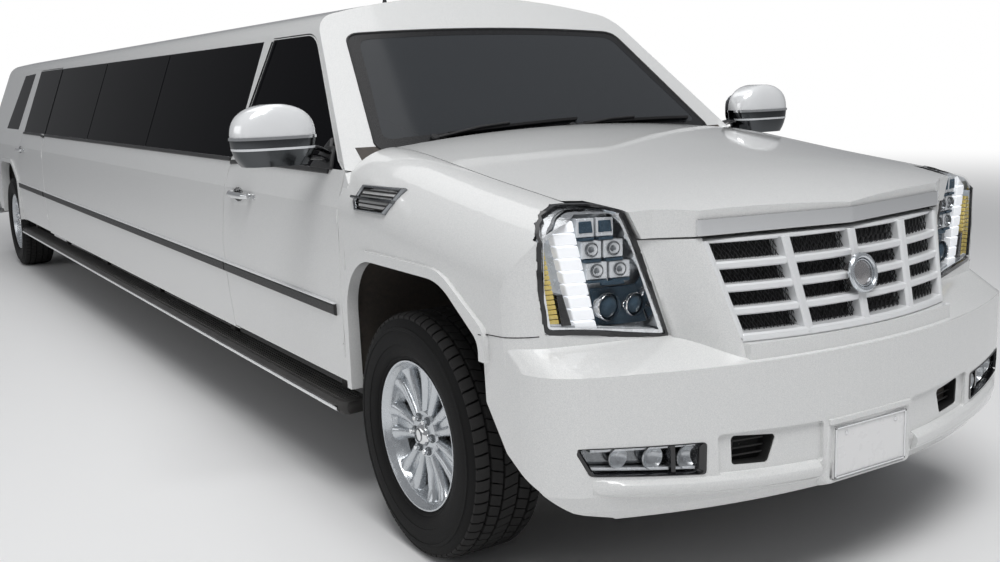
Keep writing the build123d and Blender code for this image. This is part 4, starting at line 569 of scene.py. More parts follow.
LED_STRIP = Finish("mirror_turn_lamp", Slot.CLEAR, (0.70, 0.72, 0.74), 0.15, coat=1.0)
RED_GLOW = Finish("red_light_bar", Slot.RED, (0.62, 0.03, 0.03), 0.12, coat=1.0, mottle=(0.5, 0.02, 0.02))


# ------------------------------------------------------------------ forms

AHEAD = Vector((1, 0, 0))
UP = Vector((0, 0, 1))


@dataclass
class Form:
    """A mesh in the making; `done` turns it into one named piece that rides on a body."""

    name: str
    mesh: bmesh.types.BMesh = field(default_factory=bmesh.new)

    def loft(self, rings: Sequence[Sequence[Vector]], closed: bool = True, capped: bool = True) -> Form:
        """Skins a row of rings that have as many points each.

        Args:
            rings: the rings, in order.
            closed: whether each ring runs back to its start.
            capped: whether the first and last ring are filled.

        Returns:
            This form.
        """
        rows = [[self.mesh.verts.new(point) for point in ring] for ring in rings]
        count = len(rows[0])
        for low, high in zip(rows, rows[1:]):
            for i in range(count if closed else count - 1):
                j = (i + 1) % count
                self.mesh.faces.new((low[i], low[j], high[j], high[i]))
        if capped and closed:
            self.mesh.faces.new(list(reversed(rows[0])))
            self.mesh.faces.new(rows[-1])
        return self

    def tube(self, path: Sequence[Vector], radius: float, sides: int = 10) -> Form:
        """Sweeps a round section along a path.

        Args:
            path: points along its middle.
            radius: the section's radius.
            sides: how many sides the section has.

        Returns:
            This form.
        """
        rings = []
        normal = None
        for i, point in enumerate(path):
            ahead = path[min(i + 1, len(path) - 1)]
            behind = path[max(i - 1, 0)]
            along = (ahead - behind).normalized()
            if normal is None:
                normal = along.orthogonal().normalized()
            normal = (normal - along * normal.dot(along)).normalized()
            across = along.cross(normal)
            rings.append([point + (normal * c + across * s) * radius for c, s in around(sides)])
        return self.loft(rings)

    def loop(self, path: Sequence[Vector], radius: float, sides: int = 8) -> Form:
        """Sweeps a round section along a path that runs back to its start.

        Args:
            path: points along its middle.
            radius: the section's radius.
            sides: how many sides the section has.

        Returns:
            This form.
        """
        count = len(path)
        middle = sum(path, Vector()) / count
        rings = []
        for i, point in enumerate(path):
            along = (path[(i + 1) % count] - path[i - 1]).normalized()
            out = point - middle
            out = (out - along * out.dot(along)).normalized()
            across = along.cross(out)
            rings.append([point + (out * c + across * s) * radius for c, s in around(sides)])
        return self.loft([*rings, rings[0]], capped=False)

    def spin(self, profile: Sequence[Flat], centre: Vector, axis: Vector, steps: int = 96) -> Form:
        """Spins a profile of (along the axis, radius) about an axis; a closed profile makes a ring.

        Args:
            profile: the section's points.
            centre: a point on the axis.
            axis: the axis's direction.
            steps: how many steps the turn has.

        Returns:
            This form.
        """
        axis = axis.normalized()
        first = axis.orthogonal().normalized()
        second = axis.cross(first)
        rows = []
        for c, s in around(steps):
            spoke = first * c + second * s
            rows.append([centre + axis * along + spoke * radius for along, radius in profile])
        return self.loft([*rows, rows[0]], closed=False, capped=False)

    def plate(self, outline: Sequence[Vector], depth: Vector) -> Form:
        """Adds a flat plate.

        Args:
            outline: its outline.
            depth: how far and which way it is thick.

        Returns:
            This form.
        """
        return self.loft([list(outline), [point + depth for point in outline]])

    def box(self, low: Point, high: Point) -> Form:
        """Adds a block between two corners.

        Args:
            low: the corner with the lowest coordinates.
            high: the opposite corner.

        Returns:
            This form.
        """
        (x0, y0, z0), (x1, y1, z1) = low, high
        foot = [Vector(p) for p in ((x0, y0, z0), (x1, y0, z0), (x1, y1, z0), (x0, y1, z0))]
        return self.plate(foot, Vector((0, 0, z1 - z0)))

    def slab(self, centre: Vector, along: Vector, up: Vector, out: Vector) -> Form:
        """Adds a block from its centre and its three half sizes as vectors.

        Args:
            centre: its middle.
            along: half its length.
            up: half its height.
            out: half its thickness.

        Returns:
            This form.
        """
        foot = centre - up - out
        head = centre + up - out
        return self.plate([foot - along, foot + along, head + along, head - along], out * 2)

    def sheet(self, rows: Sequence[Sequence[Vector]]) -> Form:
        """Skins a grid of points as an open sheet."""
        return self.loft(rows, closed=False, capped=False)

    def strip(
        self, stations: Sequence[tuple[Vector, Vector]], width: float, height: float, sink: float = 0.002
    ) -> Form:
        """Lays a raised strip along a skin.

        Args:
            stations: points on the skin with its outward normals.
            width: the strip's width.
            height: how far it stands proud.
            sink: how far its foot lies under the skin.

        Returns:
            This form.
        """
        section = ((-1.0, 0.0), (-0.94, 0.55), (-0.70, 1.0), (0.70, 1.0), (0.94, 0.55), (1.0, 0.0))
        rings = []
        for i, (point, normal) in enumerate(stations):
            ahead = stations[min(i + 1, len(stations) - 1)][0]
            behind = stations[max(i - 1, 0)][0]
            along = (ahead - behind).normalized()
            across = along.cross(normal).normalized()
            ring = [point + across * a * width / 2 + normal * (b * (height + sink) - sink)
                    for a, b in section]
            rings.append(ring)
        return self.loft(rings)

    def done(
        self,
        finish: Finish,
        body: str = "body",
        bevel: float = 0.0,
        smooth: float = 35.0,
        segments: int = 2,
    ) -> bpy.types.Object:
        """Makes the piece.

        Args:
            finish: its finish.
            body: the body that it rides on.
            bevel: width of its rounded edges.
            smooth: edges flatter than this many degrees are shaded smooth.
            segments: how many faces a rounded edge has.

        Returns:
            The object.
        """
        bmesh.ops.recalc_face_normals(self.mesh, faces=self.mesh.faces)
        mesh = bpy.data.meshes.new(self.name)
        self.mesh.to_mesh(mesh)
        self.mesh.free()
        mesh.materials.append(finish.build())
        made = link(self.name, mesh)
        dress_edges(made, bevel, smooth, segments)
        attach(made, body)
        log.info("%s: %d faces on %s", self.name, len(mesh.polygons), body)
        return made


def link(name: str, data: bpy.types.ID) -> bpy.types.Object:
    """Puts a mesh, lamp or camera into the scene as a new object.

    Args:
        name: the object's name.
        data: its mesh, lamp or camera.

    Returns:
        The object.
    """
    made = bpy.data.objects.new(name, data)
    bpy.context.scene.collection.objects.link(made)
    return made


def dress_edges(made: bpy.types.Object, bevel: float, smooth: float, segments: int) -> None:
    """Shades a mesh smooth up to an angle and rounds its sharper edges.

    Args:
        made: the object.
        bevel: width of the rounded edges, or 0 for none.
        smooth: the angle in degrees.
        segments: how many faces a rounded edge has.
    """
    mesh = made.data
    mesh.polygons.foreach_set("use_smooth", [True] * len(mesh.polygons))
    mesh.set_sharp_from_angle(angle=math.radians(smooth))
    if bevel:
        edge = made.modifiers.new("rounded edges", "BEVEL")
        edge.width = bevel
        edge.segments = segments
        edge.limit_method = "ANGLE"
        edge.angle_limit = math.radians(smooth)
        edge.harden_normals = True


# places clear of the car, from which rays are cast
OUTSIDE_X = 8.0
OUTSIDE_Y = 2.0
OUTSIDE_Z = 3.0


@dataclass
class Skin:
    """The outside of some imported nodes, on which places are found by casting rays."""

    nodes: Sequence[str]

    def __post_init__(self) -> None:
        """Joins the nodes' faces into one search tree."""
        points: list[Vector] = []
        faces: list[tuple[int, ...]] = []
        for node in self.nodes:
            mesh = FRAME_NODES[node].data
            start = len(points)
            points += [vertex.co.copy() for vertex in mesh.vertices]
            faces += [tuple(start + i for i in polygon.vertices) for polygon in mesh.polygons]
        self.tree = BVHTree.FromPolygons(points, faces)

    def cast(self, start: Vector, direction: Vector) -> tuple[Vector, Vector]:
        """The first point that a ray meets.

        Args:
            start: where the ray starts.
            direction: which way it goes.

        Returns:
            The point and the skin's normal towards the ray's start.
        """
        point, normal, _, _ = self.tree.ray_cast(start, direction)
        if point is None:
            point, normal, _, _ = self.tree.find_nearest(start + direction)
        if normal.dot(direction) > 0:
            normal = -normal
        return point, normal

    def side(self, x: float, z: float, side: Side) -> tuple[Vector, Vector]:
        """The skin seen from one side of the car."""
        return self.cast(Vector((x, side.at(OUTSIDE_Y), z)), side.inward)

    def rear(self, y: float, z: float) -> tuple[Vector, Vector]:
        """The skin seen from behind the car."""
        return self.cast(Vector((-OUTSIDE_X, y, z)), AHEAD)

    def span(self, node: str, z: float, side: Side, steps: int, reach: float) -> Flat:
        """How far along the car the skin runs at a height, seen from one side.

        Args:
            node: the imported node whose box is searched.
            z: the height.
            side: the side of the car.
            steps: how many rays are cast.
            reach: how long each ray is.

        Returns:
            Its rear and front end.
        """
        low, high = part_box(node)
        places = [(x, Vector((x, side.at(OUTSIDE_Y), z))) for x in spread(low.x, high.x, steps)]
        xs = [x for x, start in places if self.tree.ray_cast(start, side.inward, reach)[0]]
        return min(xs), max(xs)

    def top(self, x: float, y: float) -> tuple[Vector, Vector]:
        """The skin seen from above the car."""
        return self.cast(Vector((x, y, OUTSIDE_Z)), -UP)


FRAME_NODES: dict[str, bpy.types.Object] = {}


def lifted(place: tuple[Vector, Vector], proud: float) -> Vector:
    """A point on a skin, set off it along its normal."""
    return place[0] + place[1] * proud


def spread(low: float, high: float, steps: int) -> list[float]:
    """Evenly spaced values from one to another, both ends included."""
    return [lerp(low, high, i / (steps - 1)) for i in range(steps)]


def drawn_in(outline: Sequence[Flat], share: float) -> list[Flat]:
    """An outline drawn in to a share of its size, towards the mean of its corners."""
    first, second = (sum(values) / len(outline) for values in zip(*outline))
    return [(lerp(first, a, share), lerp(second, b, share)) for a, b in outline]


def circle(centre: Vector, axis: Vector, radius: float, count: int) -> list[Vector]:
    """Points round a circle.

    Args:
        centre: its middle.
        axis: its normal.
        radius: its radius.
        count: how many points.

    Returns:
        The points.
    """
    axis = axis.normalized()
    up = (UP - axis * axis.z).normalized()
    across = axis.cross(up)
    return [centre + up * c * radius + across * s * radius for c, s in around(count)]


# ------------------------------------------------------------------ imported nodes


@dataclass(frozen=True)
class NodeLook:
    """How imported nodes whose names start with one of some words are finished."""

    finish: Finish
    bevel: float
    stems: tuple[str, ...]


NODE_SMOOTH = 32.0

# the first look that fits a node is taken
NODE_LOOKS = (
    NodeLook(PRIVACY, 0.0, ("front_door_glass", "rear_door_glass", "side_glass", "tailgate_glass")),
    NodeLook(SCREEN, 0.0, ("windscreen",)),
    NodeLook(PAINT, 0.003, ("front_door", "rear_door")),
    NodeLook(PAINT, 0.004, ("body_side", "roof_panel", "tailgate", "nose_panel")),
    NodeLook(PAINT, 0.005, ("front_fenders",)),
    NodeLook(PAINT, 0.006, ("hood",)),
    NodeLook(PAINT, 0.009, ("front_bumper",)),
    NodeLook(PAINT, 0.010, ("rear_bumper",)),
    NodeLook(CHROME, 0.004, ("grille_header",)),
    NodeLook(GRILLE_SILVER, 0.004, ("grille",)),
    NodeLook(CLEAR, 0.0, ("headlamp_lenses",)),
    NodeLook(REFLECTOR, 0.003, ("headlamp_housings",)),
    NodeLook(CLEAR, 0.003, ("fog_lamps",)),
    NodeLook(RED, 0.006, ("tail_lamps",)),
    NodeLook(PLATE, 0.002, ("licence_plate",)),
    NodeLook(BLACK, 0.006, ("running_boards",)),
    NodeLook(BLACK, 0.003, ("antenna",)),
    NodeLook(GLOSS_BLACK, 0.02, ("mirror",)),
    NodeLook(WHEEL_CHROME, 0.003, ("wheel_front", "wheel_rear")),
    NodeLook(TYRE, 0.0, ("tyre",)),
    NodeLook(CAST, 0.003, ("knuckle",)),
    NodeLook(CAST, 0.004, ("rear_axle", "front_suspension")),
    NodeLook(CAST, 0.008, ("engine_block",)),
    NodeLook(CAST, 0.0, ("drive_shaft",)),
    NodeLook(EXHAUST, 0.0, ("exhaust",)),
    NodeLook(CABIN, 0.02, ("dashboard",)),
    NodeLook(LEATHER, 0.004, ("steering_wheel",)),
    NodeLook(LEATHER, 0.03, ("front_seats", "lounge_bench")),
    NodeLook(CARPET, 0.0, ("floor_pan",)),
    NodeLook(CHASSIS, 0.0, ("wheel_housings", "firewall")),
    NodeLook(CHASSIS, 0.004, ("",)),
)


def dress_nodes(nodes: dict[str, bpy.types.Object]) -> None:
    """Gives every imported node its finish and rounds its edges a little.

    Args:
        nodes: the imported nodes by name.
    """
    for name, node in nodes.items():
        look = next(look for look in NODE_LOOKS if name.startswith(look.stems))
        node.data.materials.clear()
        node.data.materials.append(look.finish.build())
        node.data.polygons.foreach_set("material_index", [0] * len(node.data.polygons))
        dress_edges(node, look.bevel, NODE_SMOOTH, 2)


# ------------------------------------------------------------------ wheels


@dataclass
class RoadWheel:
    """One road wheel: tyre, rim with paired spokes, hub and brake."""

    axle: str
    side: Side
    centre: Vector
    brake_body: str
    radius: float = 0.401
    spokes: int = 7
    lugs: int = 6
    blocks: int = 64
    phase: float = math.radians(10.0)

    @property
    def name(self) -> str:
        """The wheel's place in node and body names."""
        return f"{self.axle}_{self.side.label}"

    @property
    def body(self) -> str:
        """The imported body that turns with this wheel."""
        return f"road_wheel_{self.name}"

    @property
    def axis(self) -> Vector:
        """The outward direction along the axle."""
        return Vector((0, self.side.value, 0))

    def at(self, out: float, radius: float, angle: float) -> Vector:
        """A point beside the axle.

        Args:
            out: how far outward along the axle from the wheel's middle.
            radius: how far from the axle.
            angle: the turn about it, from straight up.

        Returns:
            The point.
        """
        across = Vector((math.sin(angle), 0, math.cos(angle)))
        return self.centre + self.axis * out + across * radius

    def turned(
        self, name: str, profile: Sequence[Flat], steps: int,
        finish: Finish, fixed: bool = False, smooth: float = 35.0,
    ) -> bpy.types.Object:
        """Spins a profile about the axle.

        Args:
            name: the piece's name.
            profile: its section, as in `Form.spin`.
            steps: how many steps the turn has.
            finish: its finish.
            fixed: whether it stays with the brake.
            smooth: the angle under which its edges are shaded smooth.

        Returns:
            The piece.
        """
        form = Form(f"{name}_{self.name}").spin(profile, self.centre, self.axis, steps)
        return form.done(finish, self.brake_body if fixed else self.body, smooth=smooth)

    def build(self) -> None:
        """Builds the wheel's pieces."""
        self.tyre()
        self.tread()
        self.rim()
        self.hub()
        self.brake()

    def tyre(self) -> None:
        """The carcass with its sidewall rings."""
        half = (
            (0.099, 0.230), (0.104, 0.246), (0.112, 0.250), (0.117, 0.256), (0.117, 0.261), (0.121, 0.264),
            (0.126, 0.278), (0.1295, 0.296), (0.1295, 0.299), (0.1315, 0.300), (0.1325, 0.318),
            (0.1320, 0.336), (0.1305, 0.345), (0.1325, 0.347), (0.1315, 0.357), (0.1275, 0.359),
            (0.1240, 0.370), (0.1180, 0.381), (0.108, 0.3885), (0.098, 0.3905),
        )
        profile = [*half, *((-out, radius) for out, radius in reversed(half)), half[0]]
        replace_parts(self.turned("tyre_carcass", profile, 120, TYRE), f"tyre_{self.name}")

    def tread(self) -> None:
        """Five ribs of tread blocks, cut by slanting grooves."""
        ribs = ((-0.116, -0.078, 0.10), (-0.069, -0.031, -0.16), (-0.023, 0.023, 0.16),
                (0.031, 0.069, -0.16), (0.078, 0.116, 0.10))
        form = Form(f"tyre_tread_{self.name}")
        pitch = TAU / self.blocks
        for number, (low, high, slant) in enumerate(ribs):
            shoulder = number in (0, len(ribs) - 1)
            gap = 0.16 if shoulder else 0.10
            for k in range(self.blocks):
                turn = pitch * (k + (0.5 if number % 2 else 0.0))
                rings = []
                for t in (0.0, 0.5, 1.0):
                    out = lerp(low, high, t)
                    start = turn + slant * pitch * (t - 0.5) * 2
                    fall = 0.010 * (max(abs(out) - 0.088, 0.0) / 0.028) ** 2
                    top, foot = self.radius - fall, self.radius - 0.013 - fall
                    ends = (start, start + pitch * (1 - gap))
                    rings.append([self.at(out, foot, ends[0]), self.at(out, top, ends[0]),
                                  self.at(out, top, ends[1]), self.at(out, foot, ends[1])])
                form.loft(rings)
        form.done(TREAD, self.body, bevel=0.0012, segments=1)

    def rim(self) -> None:
        """The rim, its bright lip and seven pairs of rounded spokes."""
        profile = (
            (0.111, 0.2385), (0.1135, 0.241), (0.1135, 0.2455), (0.110, 0.247), (0.103, 0.2465),
            (0.099, 0.2385), (0.096, 0.2310), (0.060, 0.229), (0.046, 0.212), (-0.060, 0.212),
            (-0.074, 0.229), (-0.098, 0.231), (-0.103, 0.246), (-0.111, 0.246), (-0.111, 0.238),
            (-0.102, 0.222), (-0.070, 0.220), (-0.058, 0.205), (0.046, 0.205), (0.062, 0.2195),
            (0.088, 0.2215), (0.097, 0.226), (0.103, 0.2335), (0.111, 0.2385),
        )
        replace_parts(self.turned("wheel_rim", profile, 120, WHEEL_CHROME, smooth=40.0), f"wheel_{self.name}")
        # radius, offset beside the spoke's middle line, half width, face, thickness
        stations = (
            (0.050, 0.0135, 0.0130, 0.080, 0.034),
            (0.085, 0.0190, 0.0150, 0.081, 0.034),
            (0.130, 0.0265, 0.0180, 0.078, 0.034),
            (0.180, 0.0350, 0.0225, 0.079, 0.032),
            (0.208, 0.0410, 0.0270, 0.085, 0.030),
            (0.2255, 0.0450, 0.0310, 0.094, 0.032),
        )
        spokes = Form(f"wheel_spokes_{self.name}")
        section = ((-1.0, 0.0), (-0.96, 0.55), (-0.72, 0.88), (-0.3, 1.0),
                   (0.3, 1.0), (0.72, 0.88), (0.96, 0.55), (1.0, 0.0))
        for k in range(self.spokes):
            angle = self.phase + TAU * k / self.spokes
            along = Vector((math.sin(angle), 0, math.cos(angle)))
            beside = along.cross(self.axis)
            for hand in (-1, 1):
                rings = []
                for radius, offset, half, face, thick in stations:
                    middle = self.centre + along * radius + beside * hand * offset
                    ring = [middle + beside * a * half + self.axis * (face - thick * (1 - b))
                            for a, b in section]
                    rings.append(ring)
                spokes.loft(rings)
            # web low between the two halves of the pair
            low = [self.centre + along * r + self.axis * 0.058 for r in (0.05, 0.226)]
            spokes.slab((low[0] + low[1]) / 2, (low[1] - low[0]) / 2, beside * 0.030, self.axis * 0.009)
        spokes.done(WHEEL_CHROME, self.body, smooth=50.0)

    def hub(self) -> None:
        """The hub, its cap and the wheel nuts in their wells."""
        face = ((0.050, 0.030), (0.050, 0.081), (0.074, 0.081), (0.081, 0.076), (0.0835, 0.062),
                (0.0835, 0.038), (0.050, 0.030))
        self.turned("wheel_hub", face, 84, WHEEL_CHROME)
        cap = ((0.080, 0.0), (0.104, 0.0001), (0.1035, 0.016), (0.100, 0.026), (0.094, 0.0325),
               (0.088, 0.036), (0.080, 0.037), (0.080, 0.0))
        self.turned("wheel_cap", cap, 60, CHROME)
        ring = ((0.1030, 0.0185), (0.1052, 0.0205), (0.1030, 0.0225), (0.1000, 0.0205), (0.1030, 0.0185))
        self.turned("wheel_cap_ring", ring, 60, DARK_CHROME)
        nuts = Form(f"wheel_nuts_{self.name}")
        wells = Form(f"wheel_nut_wells_{self.name}")
        for k in range(self.lugs):
            middle = self.at(0.0, 0.0575, TAU * (k + 0.5) / self.lugs)
            hexagon = circle(middle + self.axis * 0.084, self.axis, 0.0098, 6)
            small = circle(middle + self.axis * 0.1035, self.axis, 0.0078, 6)
            nuts.loft([hexagon, [p + self.axis * 0.015 for p in hexagon], small])
            well = ((0.0845, 0.0105), (0.0885, 0.0120), (0.0885, 0.0135), (0.0845, 0.0145), (0.0845, 0.0105))
            wells.spin(well, middle, self.axis, 24)
        nuts.done(CHROME, self.body, bevel=0.001)
        wells.done(DARK_CHROME, self.body)

    def brake(self) -> None:
        """The disc that turns with the wheel, and the caliper and shield that don't."""
        disc = ((0.004, 0.080), (0.004, 0.168), (-0.004, 0.168), (-0.004, 0.163), (-0.016, 0.163),
                (-0.016, 0.168), (-0.024, 0.168), (-0.024, 0.080), (0.004, 0.080))
        self.turned("brake_disc", disc, 84, DISC)
        shield = ((-0.040, 0.060), (-0.040, 0.186), (-0.034, 0.192), (-0.032, 0.192), (-0.038, 0.184),
                  (-0.038, 0.060), (-0.040, 0.060))
        self.turned("brake_shield", shield, 60, CHASSIS, fixed=True)
        caliper = Form(f"brake_caliper_{self.name}")
        rows = []
        for turn in spread(-0.42, 0.42, 9):
            angle = -math.pi / 2 + turn
            ring = [(0.030, 0.118), (0.034, 0.150), (0.030, 0.180), (0.014, 0.190), (-0.032, 0.190),
                    (-0.032, 0.174), (0.008, 0.174), (0.008, 0.118)]
            rows.append([self.at(out, radius, angle) for out, radius in ring])
        caliper.loft(rows)
        caliper.done(CAST, self.brake_body, bevel=0.003)


# ------------------------------------------------------------------ trim along the sides


@dataclass
class SideTrim:
    """Moulding, handles, vents, sill strips and running-board treads on one side."""

    side: Side
    moulding_slope: tuple[Flat, Flat] = ((-0.551, 0.731), (-6.983, 0.768))  # (from the front axle, up)
    moulding_ends: Flat = (0.040, 0.045)  # how far short of the rear and front door's front edge it ends
    door_height: float = 0.75  # where the doors' shut lines are measured
    belt_height: float = 1.2185
    board_in: float = 0.884
    board_out: float = 1.0025
    board_top: float = 0.385
    board_foot: float = 0.340
    flap_half: float = 0.085

    def build(self) -> None:
        """Builds the side's pieces."""
        self.moulding()
        self.handles()
        self.vent()
        self.belt()
        self.board()
        if self.side is Side.LEFT:
            self.fuel_door()

    def skin(self, *stems: str) -> Skin:
        """The skin of this side's nodes."""
        return Skin([f"{stem}_{self.side.label}" for stem in stems])

    def leaf(self, which: str) -> str:
        """The body of one of this side's doors."""
        return f"{which}_leaf_{self.side.label}"

    def runs(self) -> list[tuple[str, str, float, float]]:
        """The stretches that trim is split into at the doors' shut lines.

        Returns:
            Rows of node stem, body, and the stretch's ends along the car.
        """
        gap = 0.004
        front, rear = (
            self.skin(stem).span(f"{stem}_{self.side.label}", self.door_height, self.side, 900, 1.2)
            for stem in ("front_door", "rear_door")
        )
        return [
            ("front_door", self.leaf("front_door"), front[0] + gap, front[1] - self.moulding_ends[1]),
            ("body_side", "body", rear[1] + 2 * gap, front[0] - 2 * gap),
            ("rear_door", self.leaf("rear_door"), rear[0] + gap, rear[1] - self.moulding_ends[0]),
        ]

    def moulding(self) -> None:
        """Black rubbing strip with a thin bright upper edge, split at the doors."""
        (x0, z0), (x1, z1) = self.moulding_slope
        for stem, body, low, high in self.runs():
            skin = self.skin(stem)
            steps = max(4, int((high - low) / 0.12))
            for kind, lift, width, height, finish in (
                ("rubbing_strip", 0.0, 0.044, 0.012, BLACK),
                ("rubbing_strip_edge", 0.0235, 0.005, 0.013, GRILLE_SILVER),
            ):
                line = [(x, lerp(z0, z1, (x - FRONT_AXLE_X - x0) / (x1 - x0)) + lift)
                        for x in spread(low, high, steps)]
                stations = [skin.side(x, z, self.side) for x, z in line]
                Form(f"{kind}_{stem}_{self.side.label}").strip(stations, width, height).done(finish, body)

    def handles(self) -> None:
        """Bright pull handles over black pads of painted shade where the hand recesses lie."""
        rear_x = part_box(f"rear_door_{self.side.label}")[0].x + 0.24
        for stem, x in (("front_door", FRONT_AXLE_X - 1.500), ("rear_door", rear_x)):
            body, tag = self.leaf(stem), f"{stem}_{self.side.label}"
            point, normal = self.skin(stem).side(x, 1.078, self.side)
            up = normal.cross(AHEAD).normalized()
            if up.z < 0:
                up = -up
            # black oval pad on the skin under the grip: painted shade of the hand recess
            oval = [AHEAD * c * 0.060 + up * s * 0.030 for c, s in around(28)]
            middle = point - AHEAD * 0.045
            recess = [[middle + o * share + normal * proud for o in oval]
                      for share, proud in ((1.0, -0.004), (1.0, 0.0025), (0.82, 0.0008))]
            Form(f"handle_recess_{tag}").loft(recess).done(GLOSS_BLACK, body)
            rings = []
            for t in spread(-1.0, 1.0, 15):
                middle = point + AHEAD * t * 0.118 + normal * (0.034 - 0.020 * t**6)
                half = 0.0145 - 0.004 * t**2
                rings.append([middle + up * half * c + normal * 0.0085 * s for c, s in around(12)])
            grip = Form(f"handle_grip_{tag}").loft(rings)
            for end in (-1, 1):
                foot = point + AHEAD * end * 0.108
                grip.slab(foot + normal * 0.008, AHEAD * 0.014, up * 0.012, normal * 0.012)
            grip.done(CHROME, body, bevel=0.0015)
            profile = ((0.0, 0.0), (0.003, 0.0001), (0.003, 0.0085), (0.0, 0.010), (0.0, 0.0))
            spot = point + AHEAD * 0.150 + normal * 0.001
            Form(f"handle_lock_{tag}").spin(profile, spot, normal, 24).done(CHROME, body)

    def vent(self) -> None:
        """Fender vent: bright frame round black slots with a bright bar."""
        skin, tag = Skin(["front_fenders"]), self.side.label
        outline = ((-0.372, 1.133), (-0.345, 1.186), (-0.078, 1.186), (-0.138, 1.104), (-0.352, 1.104))

        def rings(*stations: Flat) -> list[list[Vector]]:
            """The outline over the fender's skin for each station.

            Args:
                stations: the outline's size as a share, and its height over the skin.

            Returns:
                A ring for each station.
            """
            return [[lifted(skin.side(FRONT_AXLE_X + x, z, self.side), proud)
                     for x, z in drawn_in(outline, share)]
                    for share, proud in stations]

        frame = rings((1.0, -0.004), (1.0, 0.009), (0.90, 0.012), (0.82, 0.008), (0.82, -0.004))
        Form(f"vent_frame_{tag}").loft([*frame, frame[0]], capped=False).done(DARK_CHROME, bevel=0.0015)
        Form(f"vent_back_{tag}").loft(rings((0.86, -0.003), (0.86, 0.002))).done(DEEP_BLACK)
        slats = Form(f"vent_slats_{tag}")
        for z in (1.118, 1.131, 1.159, 1.172):
            end = lerp(-0.145, -0.095, (z - 1.104) / 0.082)
            line = [skin.side(FRONT_AXLE_X + x, z, self.side) for x in spread(-0.345, end, 5)]
            slats.strip(line, 0.005, 0.006)
        slats.done(SHUT_LINE)
        bar = [skin.side(FRONT_AXLE_X + x, 1.145, self.side) for x in spread(-0.385, -0.108, 6)]
        Form(f"vent_bar_{tag}").strip(bar, 0.012, 0.016).done(DARK_CHROME, bevel=0.001)

    def belt(self) -> None:
        """Black weather strip along the foot of the side glass."""
        gap = 0.006
        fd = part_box(f"front_door_{self.side.label}")
        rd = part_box(f"rear_door_{self.side.label}")
        runs = (
            ("front_door", self.leaf("front_door"), fd[0].x + 0.085, FRONT_AXLE_X - 0.640),
            ("body_side", "body", rd[1].x + gap, fd[0].x + 0.072),
            ("rear_door", self.leaf("rear_door"), rd[0].x + 0.235, rd[1].x - gap),
        )
        for stem, body, low, high in runs:
            skin = self.skin(stem)
            steps = max(4, int((high - low) / 0.15))
            stations = [skin.side(x, self.belt_height, self.side) for x in spread(low, high, steps)]
            Form(f"belt_strip_{stem}_{self.side.label}").strip(stations, 0.020, 0.007).done(BLACK, body)

    def board(self) -> None:
        """Ribbed tread, bright edge strip and end caps of the running board."""
        half_in, half_out, top, foot = self.board_in, self.board_out, self.board_top, self.board_foot
        low, high = REAR_AXLE_X + 0.484, FRONT_AXLE_X - 0.564
        ribs = Form(f"board_ribs_{self.side.label}")
        for k in range(6):
            y = lerp(half_in + 0.014, half_out - 0.030, k / 5)
            rib = [(Vector((x, self.side.at(y), top)), UP) for x in (low, high)]
            ribs.strip(rib, 0.009, 0.005)
        ribs.done(BLACK)
        edge = [(Vector((x, self.side.at(half_out), lerp(foot, top, 0.38))), -self.side.inward)
                for x in (low + 0.01, high - 0.01)]
        Form(f"board_edge_{self.side.label}").strip(edge, 0.013, 0.003).done(GRILLE_SILVER)
        caps = Form(f"board_caps_{self.side.label}")
        for x, way in ((low, -1), (high, 1)):
            ring = ((half_in, foot + 0.004), (half_out - 0.012, foot), (half_out, foot + 0.014),
                    (half_out, top - 0.010), (half_out - 0.010, top + 0.004), (half_in, top + 0.004))
            rows = [[Vector((x + way * step, self.side.at(half_in + (y - half_in) * share), z))
                     for y, z in ring]
                    for step, share in ((-0.030, 1.0), (0.0, 1.0), (0.018, 0.93), (0.030, 0.78))]
            caps.loft(rows)
        caps.done(BLACK, bevel=0.003)

    def fuel_door(self) -> None:
        """Square filler flap behind the rear door."""
        skin = self.skin("body_side")
        x, z = REAR_AXLE_X - 0.62, 1.02
        corners = [(x + c * self.flap_half, z + s * self.flap_half) for c, s in squircle(32, 5.0)]
        rows = [[lifted(skin.side(lerp(x, px, share), lerp(z, pz, share), self.side), proud)
                 for px, pz in corners]
                for share, proud in ((1.0, -0.004), (1.0, 0.0012), (0.975, 0.0012), (0.975, -0.004))]
        Form("fuel_flap_gap").loft([*rows, rows[0]], capped=False).done(SHUT_LINE)


# ------------------------------------------------------------------ nose

# (out from the car's middle, up from the ground)
LAMP_MIDDLE: Flat = (0.765, 0.985)
LAMP_OUTLINE: Sequence[Flat] = (
    (0.908, 0.842), (0.924, 0.965), (0.922, 1.097), (0.884, 1.135), (0.842, 1.161), (0.799, 1.176),
    (0.712, 1.176), (0.684, 1.160), (0.646, 1.083), (0.548, 0.798),
)
FOG_OUTLINE: Sequence[Flat] = ((0.566, 0.540), (0.912, 0.554), (0.874, 0.475), (0.568, 0.449))
INTAKE_OUTLINE: Sequence[Flat] = ((0.345, 0.530), (0.488, 0.544), (0.484, 0.460), (0.372, 0.452))


def rounded(outline: Sequence[Flat], radii: Sequence[float], steps: int = 5) -> list[Flat]:
    """A closed outline with its corners rounded.

    Args:
        outline: the corners.
        radii: how far from each corner its rounding starts.
        steps: points along each rounding.

    Returns:
        The points.
    """
    points = []
    corners = [Vector(corner) for corner in outline]
    for i, (here, reach) in enumerate(zip(corners, radii)):
        before = (corners[i - 1] - here).normalized() * reach + here
        after = (corners[(i + 1) % len(corners)] - here).normalized() * reach + here
        for t in spread(0.0, 1.0, steps):
            point = before * (1 - t) ** 2 + here * 2 * t * (1 - t) + after * t**2
            points.append((point.x, point.y))
    return points


